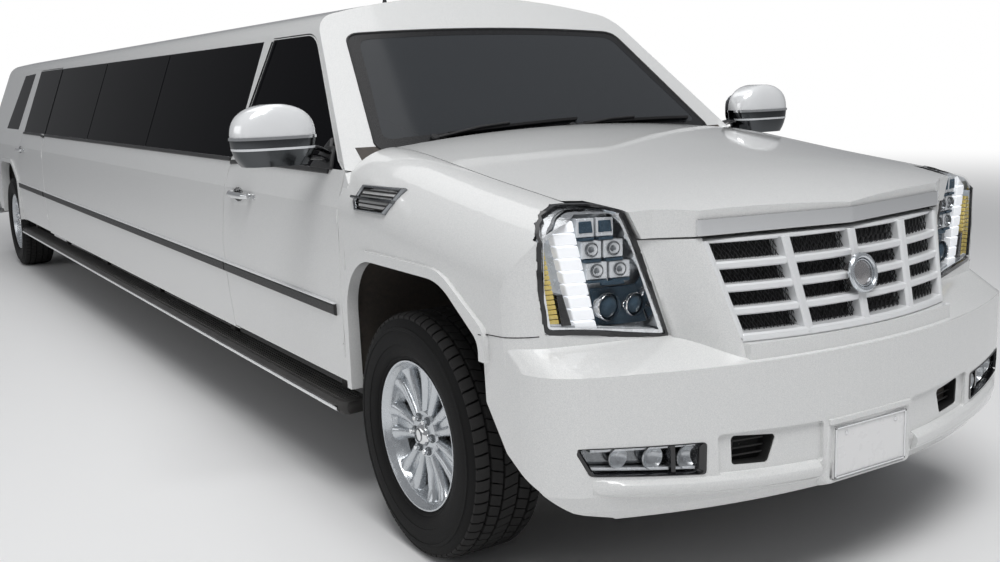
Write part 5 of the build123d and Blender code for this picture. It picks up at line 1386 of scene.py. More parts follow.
def filled(outline: Sequence[Flat], step: float = 0.03) -> list[Flat]:
    """A closed outline with points added so that none lie further apart than a step.

    Args:
        outline: the corners.
        step: the most that two neighbours lie apart.

    Returns:
        The points.
    """
    points = []
    for i, start in enumerate(outline):
        end = outline[(i + 1) % len(outline)]
        parts = max(1, math.ceil(math.dist(start, end) / step))
        points += [(lerp(start[0], end[0], k / parts), lerp(start[1], end[1], k / parts))
                   for k in range(parts)]
    return points


def towards_lamp(y: float, z: float, share: float) -> Flat:
    """A place drawn in towards the headlamp's middle, to a share of its distance."""
    return lerp(LAMP_MIDDLE[0], y, share), lerp(LAMP_MIDDLE[1], z, share)


@dataclass
class Headlamp:
    """What shows behind one headlamp's lens, and the dark rim round it; depths are from the lens's face."""

    side: Side
    rim: float = 0.013
    bowl_stations: Sequence[Flat] = ((0.950, 0.008), (0.935, 0.062), (0.925, 0.070))  # (share, depth)
    amber_foot: float = 0.864
    amber_head: float = 1.070
    amber_steps: int = 15
    daylight_foot: float = 0.832
    daylight_head: float = 1.146
    daylight_half: float = 0.031
    daylight_steps: int = 9

    def __post_init__(self) -> None:
        """Finds the lens's surface."""
        self.skin = Skin(["headlamp_lenses"])
        outline = filled(rounded(LAMP_OUTLINE,
                                 (0.012, 0.04, 0.018, 0.018, 0.018, 0.02, 0.014, 0.014, 0.04, 0.010), 3))
        self.outline = [self.edge(y, z) for y, z in outline]

    def cast(self, y: float, z: float) -> Vector | None:
        """The lens's face seen from the front at a place, if the lens is there."""
        return self.skin.tree.ray_cast(Vector((8.0, self.side.at(y), z)), Vector((-1, 0, 0)))[0]

    def edge(self, y: float, z: float) -> Flat:
        """The outermost place of the lens's face between the lamp's middle and a place.

        Args:
            y: how far the place is out from the car's middle.
            z: its height.

        Returns:
            The place itself where the lens is there, or else the nearest towards the lamp's middle.
        """
        found, missed = 0.0, 1.0
        if self.cast(y, z):
            return y, z
        while missed - found > 0.002:
            share = (found + missed) / 2
            if self.cast(*towards_lamp(y, z, share)):
                found = share
            else:
                missed = share
        return towards_lamp(y, z, found)

    def at(self, y: float, z: float, depth: float) -> Vector:
        """A point behind the lens's face, `y` out from the car's middle."""
        y, z = self.edge(y, z)
        return self.cast(y, z) - Vector((depth, 0, 0))

    def border(self, width: float, lift: float) -> list[Vector]:
        """The line that runs a steady distance inside the lens's edge.

        Args:
            width: the distance.
            lift: how far the line is set off the lens's face.

        Returns:
            The line's points.
        """
        ring = []
        for y, z in self.outline:
            share = 1.0
            start = point = self.cast(y, z)
            while (point - start).length < width and share > 0.6:
                share -= 0.004
                point = self.cast(*towards_lamp(y, z, share)) or point
            ring.append(point + self.skin.tree.find_nearest(point)[1] * lift)
        return ring

    def ring(self, share: float, depth: float) -> list[Vector]:
        """The lamp's outline drawn in towards its middle, behind the lens's face."""
        return [self.at(*towards_lamp(y, z, share), depth) for y, z in self.outline]

    def build(self) -> None:
        """Builds the lamp's pieces."""
        tag = self.side.label
        rim = [self.border(width, lift)
               for width, lift in ((0.0, -0.004), (0.0, 0.0025), (self.rim, 0.0025),
                                   (self.rim + 0.002, -0.004))]
        Form(f"headlamp_rim_{tag}").loft([*rim, rim[0]], capped=False).done(GLOSS_BLACK)
        bowl = [self.ring(share, depth) for share, depth in self.bowl_stations]
        Form(f"headlamp_bowl_{tag}").loft(bowl, capped=False).done(REFLECTOR)
        back = [self.ring(share, 0.071) for share in (0.93, 0.6, 0.25, 0.02)]
        Form(f"headlamp_back_{tag}").loft(back, capped=False).done(LAMP_SILVER)
        self.columns(tag)
        self.modules(tag)
        self.projector(tag)

    def panel(self, form: Form, corners: Sequence[Flat], depth: float, thick: float) -> None:
        """Adds a block whose face has four (out, up) corners at a depth behind the lens."""
        form.loft([[self.at(y, z, back) for y, z in corners] for back in (depth + thick, depth)])

    def column(
        self, form: Form, levels: Flat, count: int, fill: float, edges: Callable[[float], Flat], block: Flat
    ) -> None:
        """Adds a column of blocks.

        Args:
            form: the form that they go into.
            levels: the column's foot and head.
            count: how many blocks it has.
            fill: the share of its step that a block fills.
            edges: gives the column's outer and inner edge at a height.
            block: the blocks' depth behind the lens and their thickness.
        """
        for k in range(count):
            foot, head = lerp(*levels, k / count), lerp(*levels, (k + fill) / count)
            (a, b), (c, d) = edges(foot), edges(head)
            self.panel(form, ((a, foot), (b, foot), (d, head), (c, head)), *block)

    def columns(self, tag: str) -> None:
        """The amber turn signal at the outer edge and the white running lamp beside it.

        Args:
            tag: `left` or `right`, for the pieces' names.
        """

        def amber_edges(z: float) -> Flat:
            """Outer and inner edge of the amber column at a height."""
            t = (z - self.amber_foot) / (self.amber_head - self.amber_foot)
            return lerp(0.899, 0.911, t), lerp(0.858, 0.896, t)

        def daylight_edges(z: float) -> Flat:
            """Outer and inner edge of the running lamp's column at a height."""
            middle = lerp(0.782, 0.850, (z - self.daylight_foot) / (self.daylight_head - self.daylight_foot))
            return middle + self.daylight_half, middle - self.daylight_half

        amber = Form(f"headlamp_amber_{tag}")
        levels = (self.amber_foot, self.amber_head)
        self.column(amber, levels, self.amber_steps, 0.86, amber_edges, (0.016, 0.02))
        trim = Form(f"headlamp_divider_{tag}")
        self.panel(trim, ((0.855, 0.858), (0.828, 0.858), (0.852, 0.945), (0.868, 0.945)), 0.012, 0.04)
        amber.done(AMBER, bevel=0.002)
        trim.done(GLOSS_BLACK)
        lamp = Form(f"headlamp_daylight_{tag}")
        levels = (self.daylight_foot, self.daylight_head)
        self.column(lamp, levels, self.daylight_steps, 0.95, daylight_edges, (0.014, 0.03))
        lamp.done(LED, bevel=0.004)

    def inner_edge(self, z: float) -> float:
        """How far out the lamp's inner edge lies at a height.

        Args:
            z: the height.

        Returns:
            The distance from the car's middle plane.
        """
        if z > 1.083:
            return lerp(0.646, 0.690, (z - 1.083) / 0.080)
        return lerp(0.548, 0.646, (z - 0.798) / 0.285)

    def modules(self, tag: str) -> None:
        """Rows of bright boxes, each with a small round optic and a dark strip of painted shadow under it.

        Args:
            tag: `left` or `right`, for the pieces' names.
        """
        # the slots are dark strips of painted shadow under the boxes
        boxes, slots, bowls, optics = (Form(f"headlamp_{n}_{tag}")
                                       for n in ("boxes", "slots", "bowls", "optics"))
        dark = Form(f"headlamp_windows_{tag}")
        rows = ((1.094, 1.146), (1.034, 1.084), (0.976, 1.024))
        for z0, z1 in rows:
            near = self.inner_edge((z0 + z1) / 2) + 0.026
            share = (z0 - self.daylight_foot) / (self.daylight_head - self.daylight_foot)
            far = lerp(0.751, 0.819, share) - 0.005
            for k in range(2):
                a, b = lerp(far, near, k / 2), lerp(far, near, (k + 0.9) / 2)
                self.panel(boxes, ((a, z0), (b, z0), (b, z1), (a, z1)), 0.022, 0.03)
                # a dark strip under each box: painted shadow line between the rows, in the dark
                # projector-glass finish
                foot, head, left, right = z0 - 0.009, z0 - 0.001, lerp(a, b, 0.1), lerp(a, b, 0.95)
                self.panel(slots, ((left, foot), (right, foot), (right, head), (left, head)), 0.020, 0.02)
                if z0 == rows[0][0]:  # the top row has dark windows in place of round optics
                    foot, head, left = z0 + 0.012, z1 - 0.008, lerp(a, b, 0.12)
                    window = ((left, foot), (lerp(a, b, 0.90), foot), (lerp(a, b, 0.82), head), (left, head))
                    self.panel(dark, window, 0.019, 0.01)
                    continue
                middle = self.at((a + b) / 2, (z0 + z1) / 2, 0.0215)
                size = min(abs(b - a), z1 - z0) * 0.40
                bowl = ((-0.004, size), (0.004, size), (0.004, size * 0.86),
                        (-0.010, size * 0.45), (-0.014, 0.0))
                bowls.spin(bowl, middle, AHEAD, 32)
                dome = ((-0.008, size * 0.5), (-0.002, size * 0.46), (0.003, size * 0.30), (0.005, 0.0))
                optics.spin(dome, middle, AHEAD, 24)
        boxes.done(LAMP_SILVER, bevel=0.003)
        # a longer dark strip under the lowest row: painted shadow line as well
        self.panel(dark, ((0.735, 0.958), (0.668, 0.958), (0.672, 0.970), (0.738, 0.970)), 0.019, 0.01)
        dark.done(PROJECTOR_GLASS, bevel=0.002)
        slots.done(PROJECTOR_GLASS)
        bowls.done(DARK_CHROME)
        optics.done(OPTIC)

    def projector(self, tag: str) -> None:
        """The two large optics low down on the inner side, with their shroud and the sill under them.

        Args:
            tag: `left` or `right`, for the pieces' names.
        """
        shroud = Form(f"headlamp_shroud_{tag}")
        self.panel(shroud, ((0.736, 0.840), (0.588, 0.840), (0.618, 0.950), (0.756, 0.950)), 0.040, 0.01)
        shroud.done(PROJECTOR_GLASS, bevel=0.004)
        ring, glass = Form(f"headlamp_ring_{tag}"), Form(f"headlamp_projector_{tag}")
        for y, size in ((0.712, 0.040), (0.634, 0.034)):
            middle = self.at(y, 0.896, 0.034)
            edge = ((-0.012, size), (0.010, size), (0.014, size * 0.93), (0.006, size * 0.84),
                    (-0.012, size * 0.84), (-0.012, size))
            ring.spin(edge, middle, AHEAD, 40)
            dome = ((-0.010, size * 0.84), (0.004, size * 0.72), (0.012, size * 0.42), (0.014, 0.0))
            glass.spin(dome, middle, AHEAD, 36)
        ring.done(CHROME)
        glass.done(PROJECTOR_GLASS)
        foot = Form(f"headlamp_foot_{tag}")
        self.panel(foot, ((0.895, 0.856), (0.578, 0.811), (0.582, 0.824), (0.895, 0.868)), 0.012, 0.04)
        foot.done(LAMP_SILVER, bevel=0.002)


@dataclass
class Grille:
    """Bars, mesh, frame and emblem of the grille."""

    top: float = 1.075
    foot: float = 0.792
    half_top: float = 0.490
    half_foot: float = 0.425
    rows: int = 4
    columns: int = 4
    mesh_turns: int = 76
    face_radius: float = 1.4  # of its curve in plan

    def half(self, z: float) -> float:
        """Half the grille's width at a height."""
        return lerp(self.half_foot, self.half_top, (z - self.foot) / (self.top - self.foot))

    def at(self, y: float, z: float, depth: float) -> Vector:
        """A point behind the grille's curved, leaning face.

        Args:
            y: place across the car.
            z: height.
            depth: how far behind the face.

        Returns:
            The point.
        """
        lean = lerp(0.975, 0.905, (z - self.foot) / (self.top - self.foot))
        fall = self.face_radius - math.sqrt(self.face_radius**2 - y * y)
        return Vector((FRONT_AXLE_X + lean - fall - depth, y, z))

    def bar(self, form: Form, ends: tuple[Flat, Flat], half: float, near: float, far: float) -> None:
        """Adds a bar between two (share across, height) places.

        Args:
            form: the form it goes into.
            ends: its two ends.
            half: half its width.
            near: how far its face lies behind the grille's face.
            far: how far its back does.
        """
        (s0, z0), (s1, z1) = ends
        level = z0 == z1
        rings = []
        for t in spread(0.0, 1.0, 17 if level else 7):
            share, z = lerp(s0, s1, t), lerp(z0, z1, t)
            side = UP if level else Vector((0, 1, 0))
            section = ((-1.0, far), (-1.0, near + 0.006), (-0.55, near),
                       (0.55, near), (1.0, near + 0.006), (1.0, far))
            rings.append([self.at(self.half(z) * share, z, depth) + side * a * half for a, depth in section])
        form.loft(rings)

    def build(self) -> None:
        """Builds the grille's pieces."""
        frame = Form("grille_frame")
        margin = 0.012
        for share in (-0.985, 0.985):
            self.bar(frame, ((share, self.foot + margin), (share, self.top - 0.006)), 0.009, 0.0, 0.150)
        self.bar(frame, ((-0.995, self.foot + margin), (0.995, self.foot + margin)), 0.013, -0.002, 0.150)
        self.bar(frame, ((-0.995, self.top - 0.010), (0.995, self.top - 0.010)), 0.006, 0.012, 0.150)
        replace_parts(frame.done(GRILLE_SILVER, bevel=0.0015), "grille")
        bars = Form("grille_bars")
        pitch = (self.top - 0.012 - self.foot - 0.020) / self.rows
        for row in range(1, self.rows):
            z = self.foot + 0.020 + pitch * row
            self.bar(bars, ((-0.985, z), (0.985, z)), 0.0115, 0.003, 0.046)
        for column in range(1, self.columns):
            share = 2 * column / self.columns - 1
            self.bar(bars, ((share, self.foot + 0.010), (share, self.top - 0.008)), 0.0165, -0.002, 0.056)
        bars.done(GRILLE_SILVER, bevel=0.001)
        self.mesh(pitch)
        self.emblem()

    def mesh(self, pitch: float) -> None:
        """Zigzag wires in front of a near-black screen, painted shade for the depth behind the grille.

        Args:
            pitch: height of one row of wires.
        """
        wires = Form("grille_mesh")
        for row in range(self.rows):
            z0 = self.foot + 0.020 + pitch * row + 0.006
            z1 = z0 + pitch - 0.012
            mid = (z0 + z1) / 2
            for low, high in ((z0, mid), (mid, z1)):
                for flip in (0, 1):
                    path = []
                    for k, share in enumerate(spread(-0.96, 0.96, self.mesh_turns + 1)):
                        z = low if (k + flip) % 2 else high
                        path.append(self.at(self.half(z) * share, z, 0.030 + 0.004 * flip))
                    wires.tube(path, 0.0016, 4)
        wires.done(MESH_BLACK, smooth=60.0)
        # near-black sheet behind the wires: painted shade standing for the dark depth of the grille
        screen = Form("grille_screen")
        screen.sheet([[self.at(self.half(z) * s, z, 0.052) for s in spread(-0.99, 0.99, 21)]
                      for z in spread(self.foot + 0.006, self.top - 0.004, 4)])
        screen.done(DEEP_BLACK)

    def emblem(self) -> None:
        """Plain round emblem: a bright wreath ring round a blank domed disc."""
        lean = Vector((self.top - self.foot, 0, 0.070)).normalized()
        middle = self.at(0.0, 0.941, -0.006)
        ring = Form("emblem_ring")
        for sides, steps, radius, deep, wide in ((10, 72, 0.0500, 0.009, 0.0085),
                                                 (8, 60, 0.0385, 0.003, 0.0022)):
            section = [(0.006 + deep * s, radius + wide * c) for c, s in around(sides)]
            ring.spin([*section, section[0]], middle, lean, steps)
        ring.done(WHEEL_CHROME)
        disc = Form("emblem_disc")
        dome = ((-0.030, 0.0), (-0.030, 0.040), (0.000, 0.0435),
                (0.004, 0.038), (0.010, 0.022), (0.0125, 0.0))
        disc.spin(dome, middle, lean, 60)
        disc.done(EMBLEM_GREY)


@dataclass
class FrontBumper:
    """Fog lamps, intakes, plate holder and ledge of the front bumper."""

    plate_half: float = 0.1525
    plate_low: float = 0.366
    plate_high: float = 0.518
    reach: float = 0.995  # how far ahead of the front axle the face's middle lies
    corner: float = 0.879  # where the face's arc ends, out from the car's middle
    sweep: float = 0.198  # how far the arc has fallen back there

    def face(self, y: float, z: float, depth: float) -> Vector:
        """A point behind the bumper's upright face, whose plan is an arc.

        Args:
            y: place across the car.
            z: height.
            depth: how far behind the face.

        Returns:
            The point.
        """
        radius = (self.corner**2 + self.sweep**2) / (2 * self.sweep)
        past = max(0.0, abs(y) - self.corner)
        fall = radius - math.sqrt(radius**2 - min(abs(y), self.corner) ** 2) + past * 0.62 + past**2 * 2.6
        return Vector((FRONT_AXLE_X + self.reach - fall - depth, y, z))

    def build(self) -> None:
        """Builds the bumper's pieces."""
        for side in Side:
            self.fog_lamp(side)
            self.intake(side)
            self.ledge(side)
        self.plate_holder()

    def ring(self, outline: Sequence[Flat], share: float, depth: float, side: Side) -> list[Vector]:
        """An outline on one side, drawn in towards its middle and set behind the face."""
        return [self.face(side.at(y), z, depth) for y, z in drawn_in(outline, share)]

    def fog_lamp(self, side: Side) -> None:
        """Fog lamp: black surround, clear lens in two parts, bright bowls behind it.

        Args:
            side: the side of the car.
        """
        tag = side.label
        outline = filled(rounded(FOG_OUTLINE, (0.012,) * 4, 4), 0.04)
        rings = [self.ring(outline, share, depth, side)
                 for share, depth in ((1.0, 0.022), (1.0, -0.002), (0.945, -0.003),
                                      (0.90, 0.006), (0.90, 0.050))]
        made = Form(f"fog_surround_{tag}").loft(rings, capped=False).done(GLOSS_BLACK)
        if side is Side.LEFT:
            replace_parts(made, "fog_lamps")
        for name, depths, finish in (("back", (0.052, 0.048), DARK_CHROME), ("lens", (0.013, 0.009), CLEAR)):
            Form(f"fog_{name}_{tag}").loft([self.ring(outline, 0.905, depth, side)
                                            for depth in depths]).done(finish)
        bright = Form(f"fog_bowls_{tag}")
        for y, z, size in ((0.606, 0.497, 0.034), (0.700, 0.506, 0.034), (0.790, 0.514, 0.030)):
            middle = self.face(side.at(y), z, 0.030)
            bowl = ((0.004, size), (0.008, size * 0.97), (-0.004, size * 0.75),
                    (-0.014, size * 0.4), (-0.017, 0.0))
            bright.spin(bowl, middle, AHEAD, 36)
        section = ((-0.004, 0.0), (0.004, 0.0), (0.004, 0.02), (-0.004, 0.02))
        for z, rise in ((0.464, 0.026), (0.531, 0.008)):
            bright.loft([[self.face(side.at(lerp(0.58, 0.86, t)), z + rise * t + dz, 0.022 + dx)
                          for dz, dx in section]
                         for t in spread(0.0, 1.0, 6)])
        bright.done(LAMP_SILVER)
        corners = ((0.646, 0.460), (0.658, 0.460), (0.660, 0.538), (0.648, 0.538))
        bar = [[self.face(side.at(y), z, depth) for y, z in corners] for depth in (0.046, 0.010)]
        Form(f"fog_divider_{tag}").loft(bar).done(GLOSS_BLACK)

    def intake(self, side: Side) -> None:
        """Black slatted duct behind the brake intake.

        Args:
            side: the side of the car.
        """
        outline = filled(rounded(INTAKE_OUTLINE, (0.010,) * 4, 4), 0.04)
        rings = [self.ring(outline, share, depth, side)
                 for share, depth in ((0.985, 0.014), (0.93, 0.016), (0.90, 0.060), (0.05, 0.062))]
        Form(f"intake_duct_{side.label}").loft(rings, capped=False).done(DEEP_BLACK)
        slats = Form(f"intake_slats_{side.label}")
        for z in (0.476, 0.497, 0.518):
            slats.tube([self.face(side.at(y), z, 0.040) for y in spread(0.366, 0.480, 4)], 0.003, 6)
        slats.done(BLACK)

    def ledge(self, side: Side) -> None:
        """Rounded ledge under the fog lamp that runs in to the plate.

        Args:
            side: the side of the car.
        """
        profile = ((0.424, 0.012), (0.418, -0.004), (0.408, -0.015), (0.398, -0.017), (0.380, -0.011),
                   (0.366, 0.010), (0.400, 0.030))
        rings = []
        for y in [*spread(0.205, 0.80, 22), *spread(0.815, 0.868, 4)]:
            fade = min(1.0, (0.872 - y) / 0.07)
            rise = 0.006 + 0.040 * (y / 0.87) ** 2
            rings.append([self.face(side.at(y), z + rise, depth * (fade if depth < 0 else 1.0))
                          for z, depth in profile])
        Form(f"bumper_ledge_{side.label}").loft(rings).done(PAINT, bevel=0.002)

    def plate_holder(self) -> None:
        """Painted mount round the number plate, a ledge over it, and the plate's own frame and screws."""
        x = FRONT_AXLE_X + 0.985
        holder = Form("plate_holder")
        outline = rounded(((-0.186, 0.350), (0.186, 0.350), (0.176, 0.545), (-0.176, 0.545)), (0.02,) * 4, 4)
        rings = [[Vector((x + proud, y * share, lerp(0.44, z, share))) for y, z in outline]
                 for share, proud in ((1.06, -0.016), (1.0, -0.001), (0.97, 0.0055),
                                      (0.90, 0.0055), (0.88, -0.002))]
        holder.loft(rings, capped=False)
        holder.box((x - 0.012, -0.172, 0.528), (x + 0.013, 0.172, 0.546))
        holder.done(PAINT, bevel=0.003)
        frame = Form("plate_frame")
        w, low, high = self.plate_half, self.plate_low, self.plate_high
        face = x + 0.0102
        for y0, z0, y1, z1 in ((-w, low, w, low + 0.006), (-w, high - 0.006, w, high),
                               (-w, low, -w + 0.006, high), (w - 0.006, low, w, high)):
            frame.box((face - 0.002, y0, z0), (face + 0.003, y1, z1))
        frame.done(CHROME, bevel=0.001)
        screws = Form("plate_screws")
        screw = ((-0.002, 0.0), (0.0025, 0.0001), (0.0015, 0.006), (-0.002, 0.0065), (-0.002, 0.0))
        for y in (-0.105, 0.105):
            screws.spin(screw, Vector((face, y, high - 0.022)), AHEAD, 16)
        screws.done(CHROME)


@dataclass
class Nose:
    """The car's front: lamps, grille, bumper details and shut lines."""

    def build(self) -> None:
        """Builds the front's pieces."""
        for side in Side:
            Headlamp(side).build()
            self.shut_line(side)
            self.cheek(side)
        Grille().build()
        FrontBumper().build()

    def shut_line(self, side: Side) -> None:
        """Dark joint between fender and bumper, from the wheel opening to the lamp.

        Args:
            side: the side of the car.
        """
        skin = Skin(["front_fenders", "front_bumper"])
        stations = [skin.side(FRONT_AXLE_X + x, lerp(0.823, 0.837, (x - 0.47) / 0.18), side)
                    for x in spread(0.462, 0.648, 14)]
        Form(f"shut_line_bumper_{side.label}").strip(stations, 0.0035, 0.0012).done(SHUT_LINE)

    def cheek(self, side: Side) -> None:
        """Smooth panel that runs forward from the lamp to the grille's edge and down to the bumper.

        Args:
            side: the side of the car.
        """
        grille = Grille()
        rings = []
        for z in spread(0.745, 1.0775, 24):
            level = max(z, grille.foot)
            share = (z - 0.798) / 0.285
            near = (lerp(0.757, 0.724, share), lerp(0.548, 0.646, share) - 0.005)
            edge = grille.at(grille.half(level), level, 0.003)
            far = (edge.x - FRONT_AXLE_X + max(0.0, grille.foot - z) * 0.35, edge.y + 0.004)
            front = []
            for t in spread(0.0, 1.0, 13):
                bend = lerp(t, t * t * (3 - 2 * t), 0.55)
                front.append(Vector((FRONT_AXLE_X + lerp(near[0], far[0], bend),
                                     side.at(lerp(near[1], far[1], t)), z)))
            front.append(Vector((FRONT_AXLE_X + far[0] - 0.002, side.at(far[1] - 0.006), z)))
            rings.append([*front, *(p - Vector((0.012, 0, 0)) for p in reversed(front))])
        Form(f"nose_cheek_{side.label}").loft(rings).done(PAINT, smooth=60.0)


# ------------------------------------------------------------------ glasshouse


@dataclass
class Windscreen:
    """Printed edge of the windscreen, its wipers and the cowl below it."""

    rake: float = math.radians(39.4)
    base: Point = (FRONT_AXLE_X - 0.470, 0.0, 1.262)
    low: float = 0.062
    high: float = 0.753
    half_low: float = 0.805
    half_high: float = 0.668
    corner: float = 0.055
    edge_inset: float = 0.004  # where the seal and the printed band start, inside the glass's edge
    print_inset: float = 0.040  # where the printed band ends
    print_foot: float = 0.6  # how much wider it is along the foot
    print_proud: float = 0.0008

    def __post_init__(self) -> None:
        """Finds the glass."""
        self.skin = Skin(["windscreen"])
        self.normal = Vector((math.sin(self.rake), 0, math.cos(self.rake)))
        self.up = Vector((-math.cos(self.rake), 0, math.sin(self.rake)))

    def at(self, y: float, rise: float, proud: float) -> Vector:
        """A point over the glass, `rise` up its slope from its base line.

        Args:
            y: place across the car.
            rise: distance up the glass's slope.
            proud: height over the glass.

        Returns:
            The point.
        """
        start = Vector(self.base) + Vector((0, y, 0)) + self.up * rise
        point, normal = self.skin.cast(start + self.normal * 1.0, -self.normal)
        return point + normal * proud

    def build(self) -> None:
        """Builds the pieces."""
        self.frit()
        self.wipers()
        self.cowl()
        self.seal()

    def outline(self, inset: float) -> list[Flat]:
        """The glass's outline drawn in by an inset.

        Args:
            inset: how far it is drawn in.

        Returns:
            Its points as (place across the car, rise).
        """
        low, high = self.half_low - inset, self.half_high - inset
        foot, head = self.low + inset, self.high - inset
        corners = ((-low, foot), (low, foot), (high, head), (-high, head))
        return filled(rounded(corners, (self.corner,) * 4, 6), 0.05)

    def frit(self) -> None:
        """Dark printed band round the glass's edge."""
        rows = []
        middle = (self.low + self.high) / 2
        for inset in spread(self.edge_inset, self.print_inset, 3):
            share = 1 - inset / self.half_high
            row = []
            for y, rise in self.outline(self.edge_inset):
                wider = 1.0 + self.print_foot * (rise < middle)
                up_share = 1 - inset / ((self.high - self.low) / 2) * wider
                row.append(self.at(y * share, lerp(middle, rise, up_share), self.print_proud))
            rows.append(row)
        Form("screen_print").loft(rows, capped=False).done(FRIT)

    def seal(self) -> None:
        """Rubber seal round the glass."""
        path = [self.at(y, rise, 0.001) for y, rise in self.outline(self.edge_inset)]
        Form("screen_seal").loop(path, 0.005, 6).done(BLACK)

    def wipers(self) -> None:
        """Two arms with blades, parked low on the glass."""
        for name, pivot, foot, tip in (("right", -0.56, -0.50, 0.10), ("left", 0.06, 0.12, 0.70)):
            arm = Form(f"wiper_arm_{name}")
            root = self.at(pivot, 0.100, 0.008)
            knee = self.at(lerp(pivot, tip, 0.30), 0.118, 0.024)
            hold = self.at(lerp(foot, tip, 0.45), 0.128, 0.024)
            arm.tube([root, lerp(root, knee, 0.5), knee, hold], 0.0065, 8)
            boss = ((-0.012, 0.0), (0.012, 0.0001), (0.012, 0.012),
                    (0.006, 0.017), (-0.012, 0.018), (-0.012, 0.0))
            arm.spin(boss, root, self.normal, 20)
            arm.done(BLACK, bevel=0.001)
            line = [self.at(lerp(foot, tip, t), 0.112 + 0.030 * t, 0.0015) for t in spread(0.0, 1.0, 13)]
            section = ((-0.003, 0.0), (0.003, 0.0), (0.008, 0.012), (0.0, 0.020), (-0.008, 0.012))
            rings = [[point + self.up * a + self.normal * b for a, b in section] for point in line]
            Form(f"wiper_blade_{name}").loft(rings).done(BLACK, bevel=0.001)

    def cowl(self) -> None:
        """Black grating between the hood's rear edge and the glass."""
        skin = Skin(["hood", "firewall", "windscreen"])
        down = Vector((0, 0, -0.05))
        rows = []
        for y in spread(-0.800, 0.800, 33):
            glass = self.at(y, self.low + 0.016, 0.004)
            ahead = Vector((FRONT_AXLE_X - 0.4815, y, 0))
            edge, _ = skin.top(FRONT_AXLE_X - 0.466, max(-0.74, min(0.74, y)))
            ahead.z = min(edge.z - 0.004, glass.z + 0.02, 1.270)
            middle = lerp(ahead, glass, 0.5) - Vector((0, 0, 0.006))
            rows.append([ahead + down, ahead, middle, glass, glass + down])
        Form("cowl").loft(rows).done(BLACK, smooth=60.0)


@dataclass
class Mirror:
    """Door mirror: bright domed cap, smoked lower shell with a bright line, glass, arm and door foot."""

    side: Side
    place: Point = (-0.640, 1.150, 1.352)  # its middle, ahead of the front axle, outward and up
    half_long: float = 0.088
    half_wide: float = 0.150
    half_high: float = 0.1135
    half_low: float = 0.118
    flat_rear: float = 0.62  # the rear half's share of the front half's depth

    @property
    def body(self) -> str:
        """The door that carries the mirror."""
        return f"front_door_leaf_{self.side.label}"

    def at(self, x: float, y: float, z: float) -> Vector:
        """A point about the mirror's middle, `y` outward."""
        cx, cy, cz = self.place
        return Vector((FRONT_AXLE_X + cx + x, self.side.at(cy + y), cz + z))

    def shell(
        self, name: str, low: float, high: float, finish: Finish, grow: float = 0.0, steps: int = 3
    ) -> bpy.types.Object:
        """Skins a slice of the mirror's head between two heights.

        Args:
            name: the piece's name.
            low: lower end of the slice from the middle.
            high: its upper end.
            finish: its finish.
            grow: how much wider it is than the head.
            steps: slices.

        Returns:
            The piece.
        """
        rings = []
        for t in spread(0.0, 1.0, steps):
            # the cap's slices lie closer together towards its crown
            z = lerp(low, high, math.sin(math.pi / 2 * t) if high > self.half_high / 2 else t)
            if z > 0:
                share = math.sqrt(max(0.0, 1 - (z / self.half_high) ** 2.6)) ** 0.9
            else:
                share = math.sqrt(max(0.02, 1 - (-z / self.half_low) ** 2.2 * 0.62))
            long, wide = (self.half_long + grow) * lerp(0.55, 1.0, share), (self.half_wide + grow) * share
            rings.append([self.at(c * long * (self.flat_rear if c < 0 else 1.0), s * wide + 0.004, z)
                          for c, s in squircle(40, 3.0)])
        return Form(f"{name}_{self.side.label}").loft(rings).done(finish, self.body, smooth=50.0)

    def build(self) -> None:
        """Builds the mirror's pieces."""
        tag = self.side.label
        cap = self.shell("mirror_cap", 0.004, 0.1125, MIRROR_CAP, steps=14)
        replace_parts(cap, f"mirror_{tag}")
        self.shell("mirror_base", -0.098, 0.002, MIRROR_SHELL, steps=9)
        self.shell("mirror_line", -0.006, 0.004, CHROME, grow=0.004)
        self.shell("mirror_lamp", -0.042, -0.034, LED_STRIP, grow=0.001)
        oval = [(s * 0.124, c * 0.072 + 0.004) for c, s in squircle(36, 3.4)]
        glass = [[self.at(x, y * share, z * share) for y, z in oval]
                 for x, share in ((-0.0600, 1.0), (-0.0625, 1.0), (-0.0625, 0.97))]
        Form(f"mirror_glass_{tag}").loft(glass).done(MIRROR_GLASS, self.body)
        skin = Skin([f"front_door_{tag}", f"front_door_glass_{tag}"])
        foot, normal = skin.side(FRONT_AXLE_X - 0.690, 1.262, self.side)
        arm = Form(f"mirror_arm_{tag}")
        inner = self.at(0.010, -0.120, -0.062)
        for lift in (-0.014, 0.020):
            rings = []
            start = foot - normal * 0.004 + Vector((0.020, 0, lift))
            for t in spread(0.0, 1.0, 7):
                middle = lerp(start, inner + UP * lift, t) + UP * 0.008 * math.sin(math.pi * t)
                half = lerp(0.034, 0.022, t)
                rings.append([middle + Vector((half * c, 0, 0.011 * s)) for c, s in around(14)])
            arm.loft(rings)
        arm.done(GLOSS_BLACK, self.body)
        outline = ((-0.610, 1.224), (-0.640, 1.335), (-0.672, 1.340), (-0.800, 1.232), (-0.800, 1.224))
        corners = rounded(outline, (0.01, 0.012, 0.02, 0.01, 0.005), 4)
        rows = []
        for share, proud in ((1.0, -0.003), (1.0, 0.006), (0.93, 0.012), (0.5, 0.016)):
            places = [(FRONT_AXLE_X + lerp(-0.70, x, share), lerp(1.262, z, share)) for x, z in corners]
            rows.append([lifted(skin.side(x, z, self.side), proud) for x, z in places])
        Form(f"mirror_foot_{tag}").loft(rows).done(BLACK, self.body)


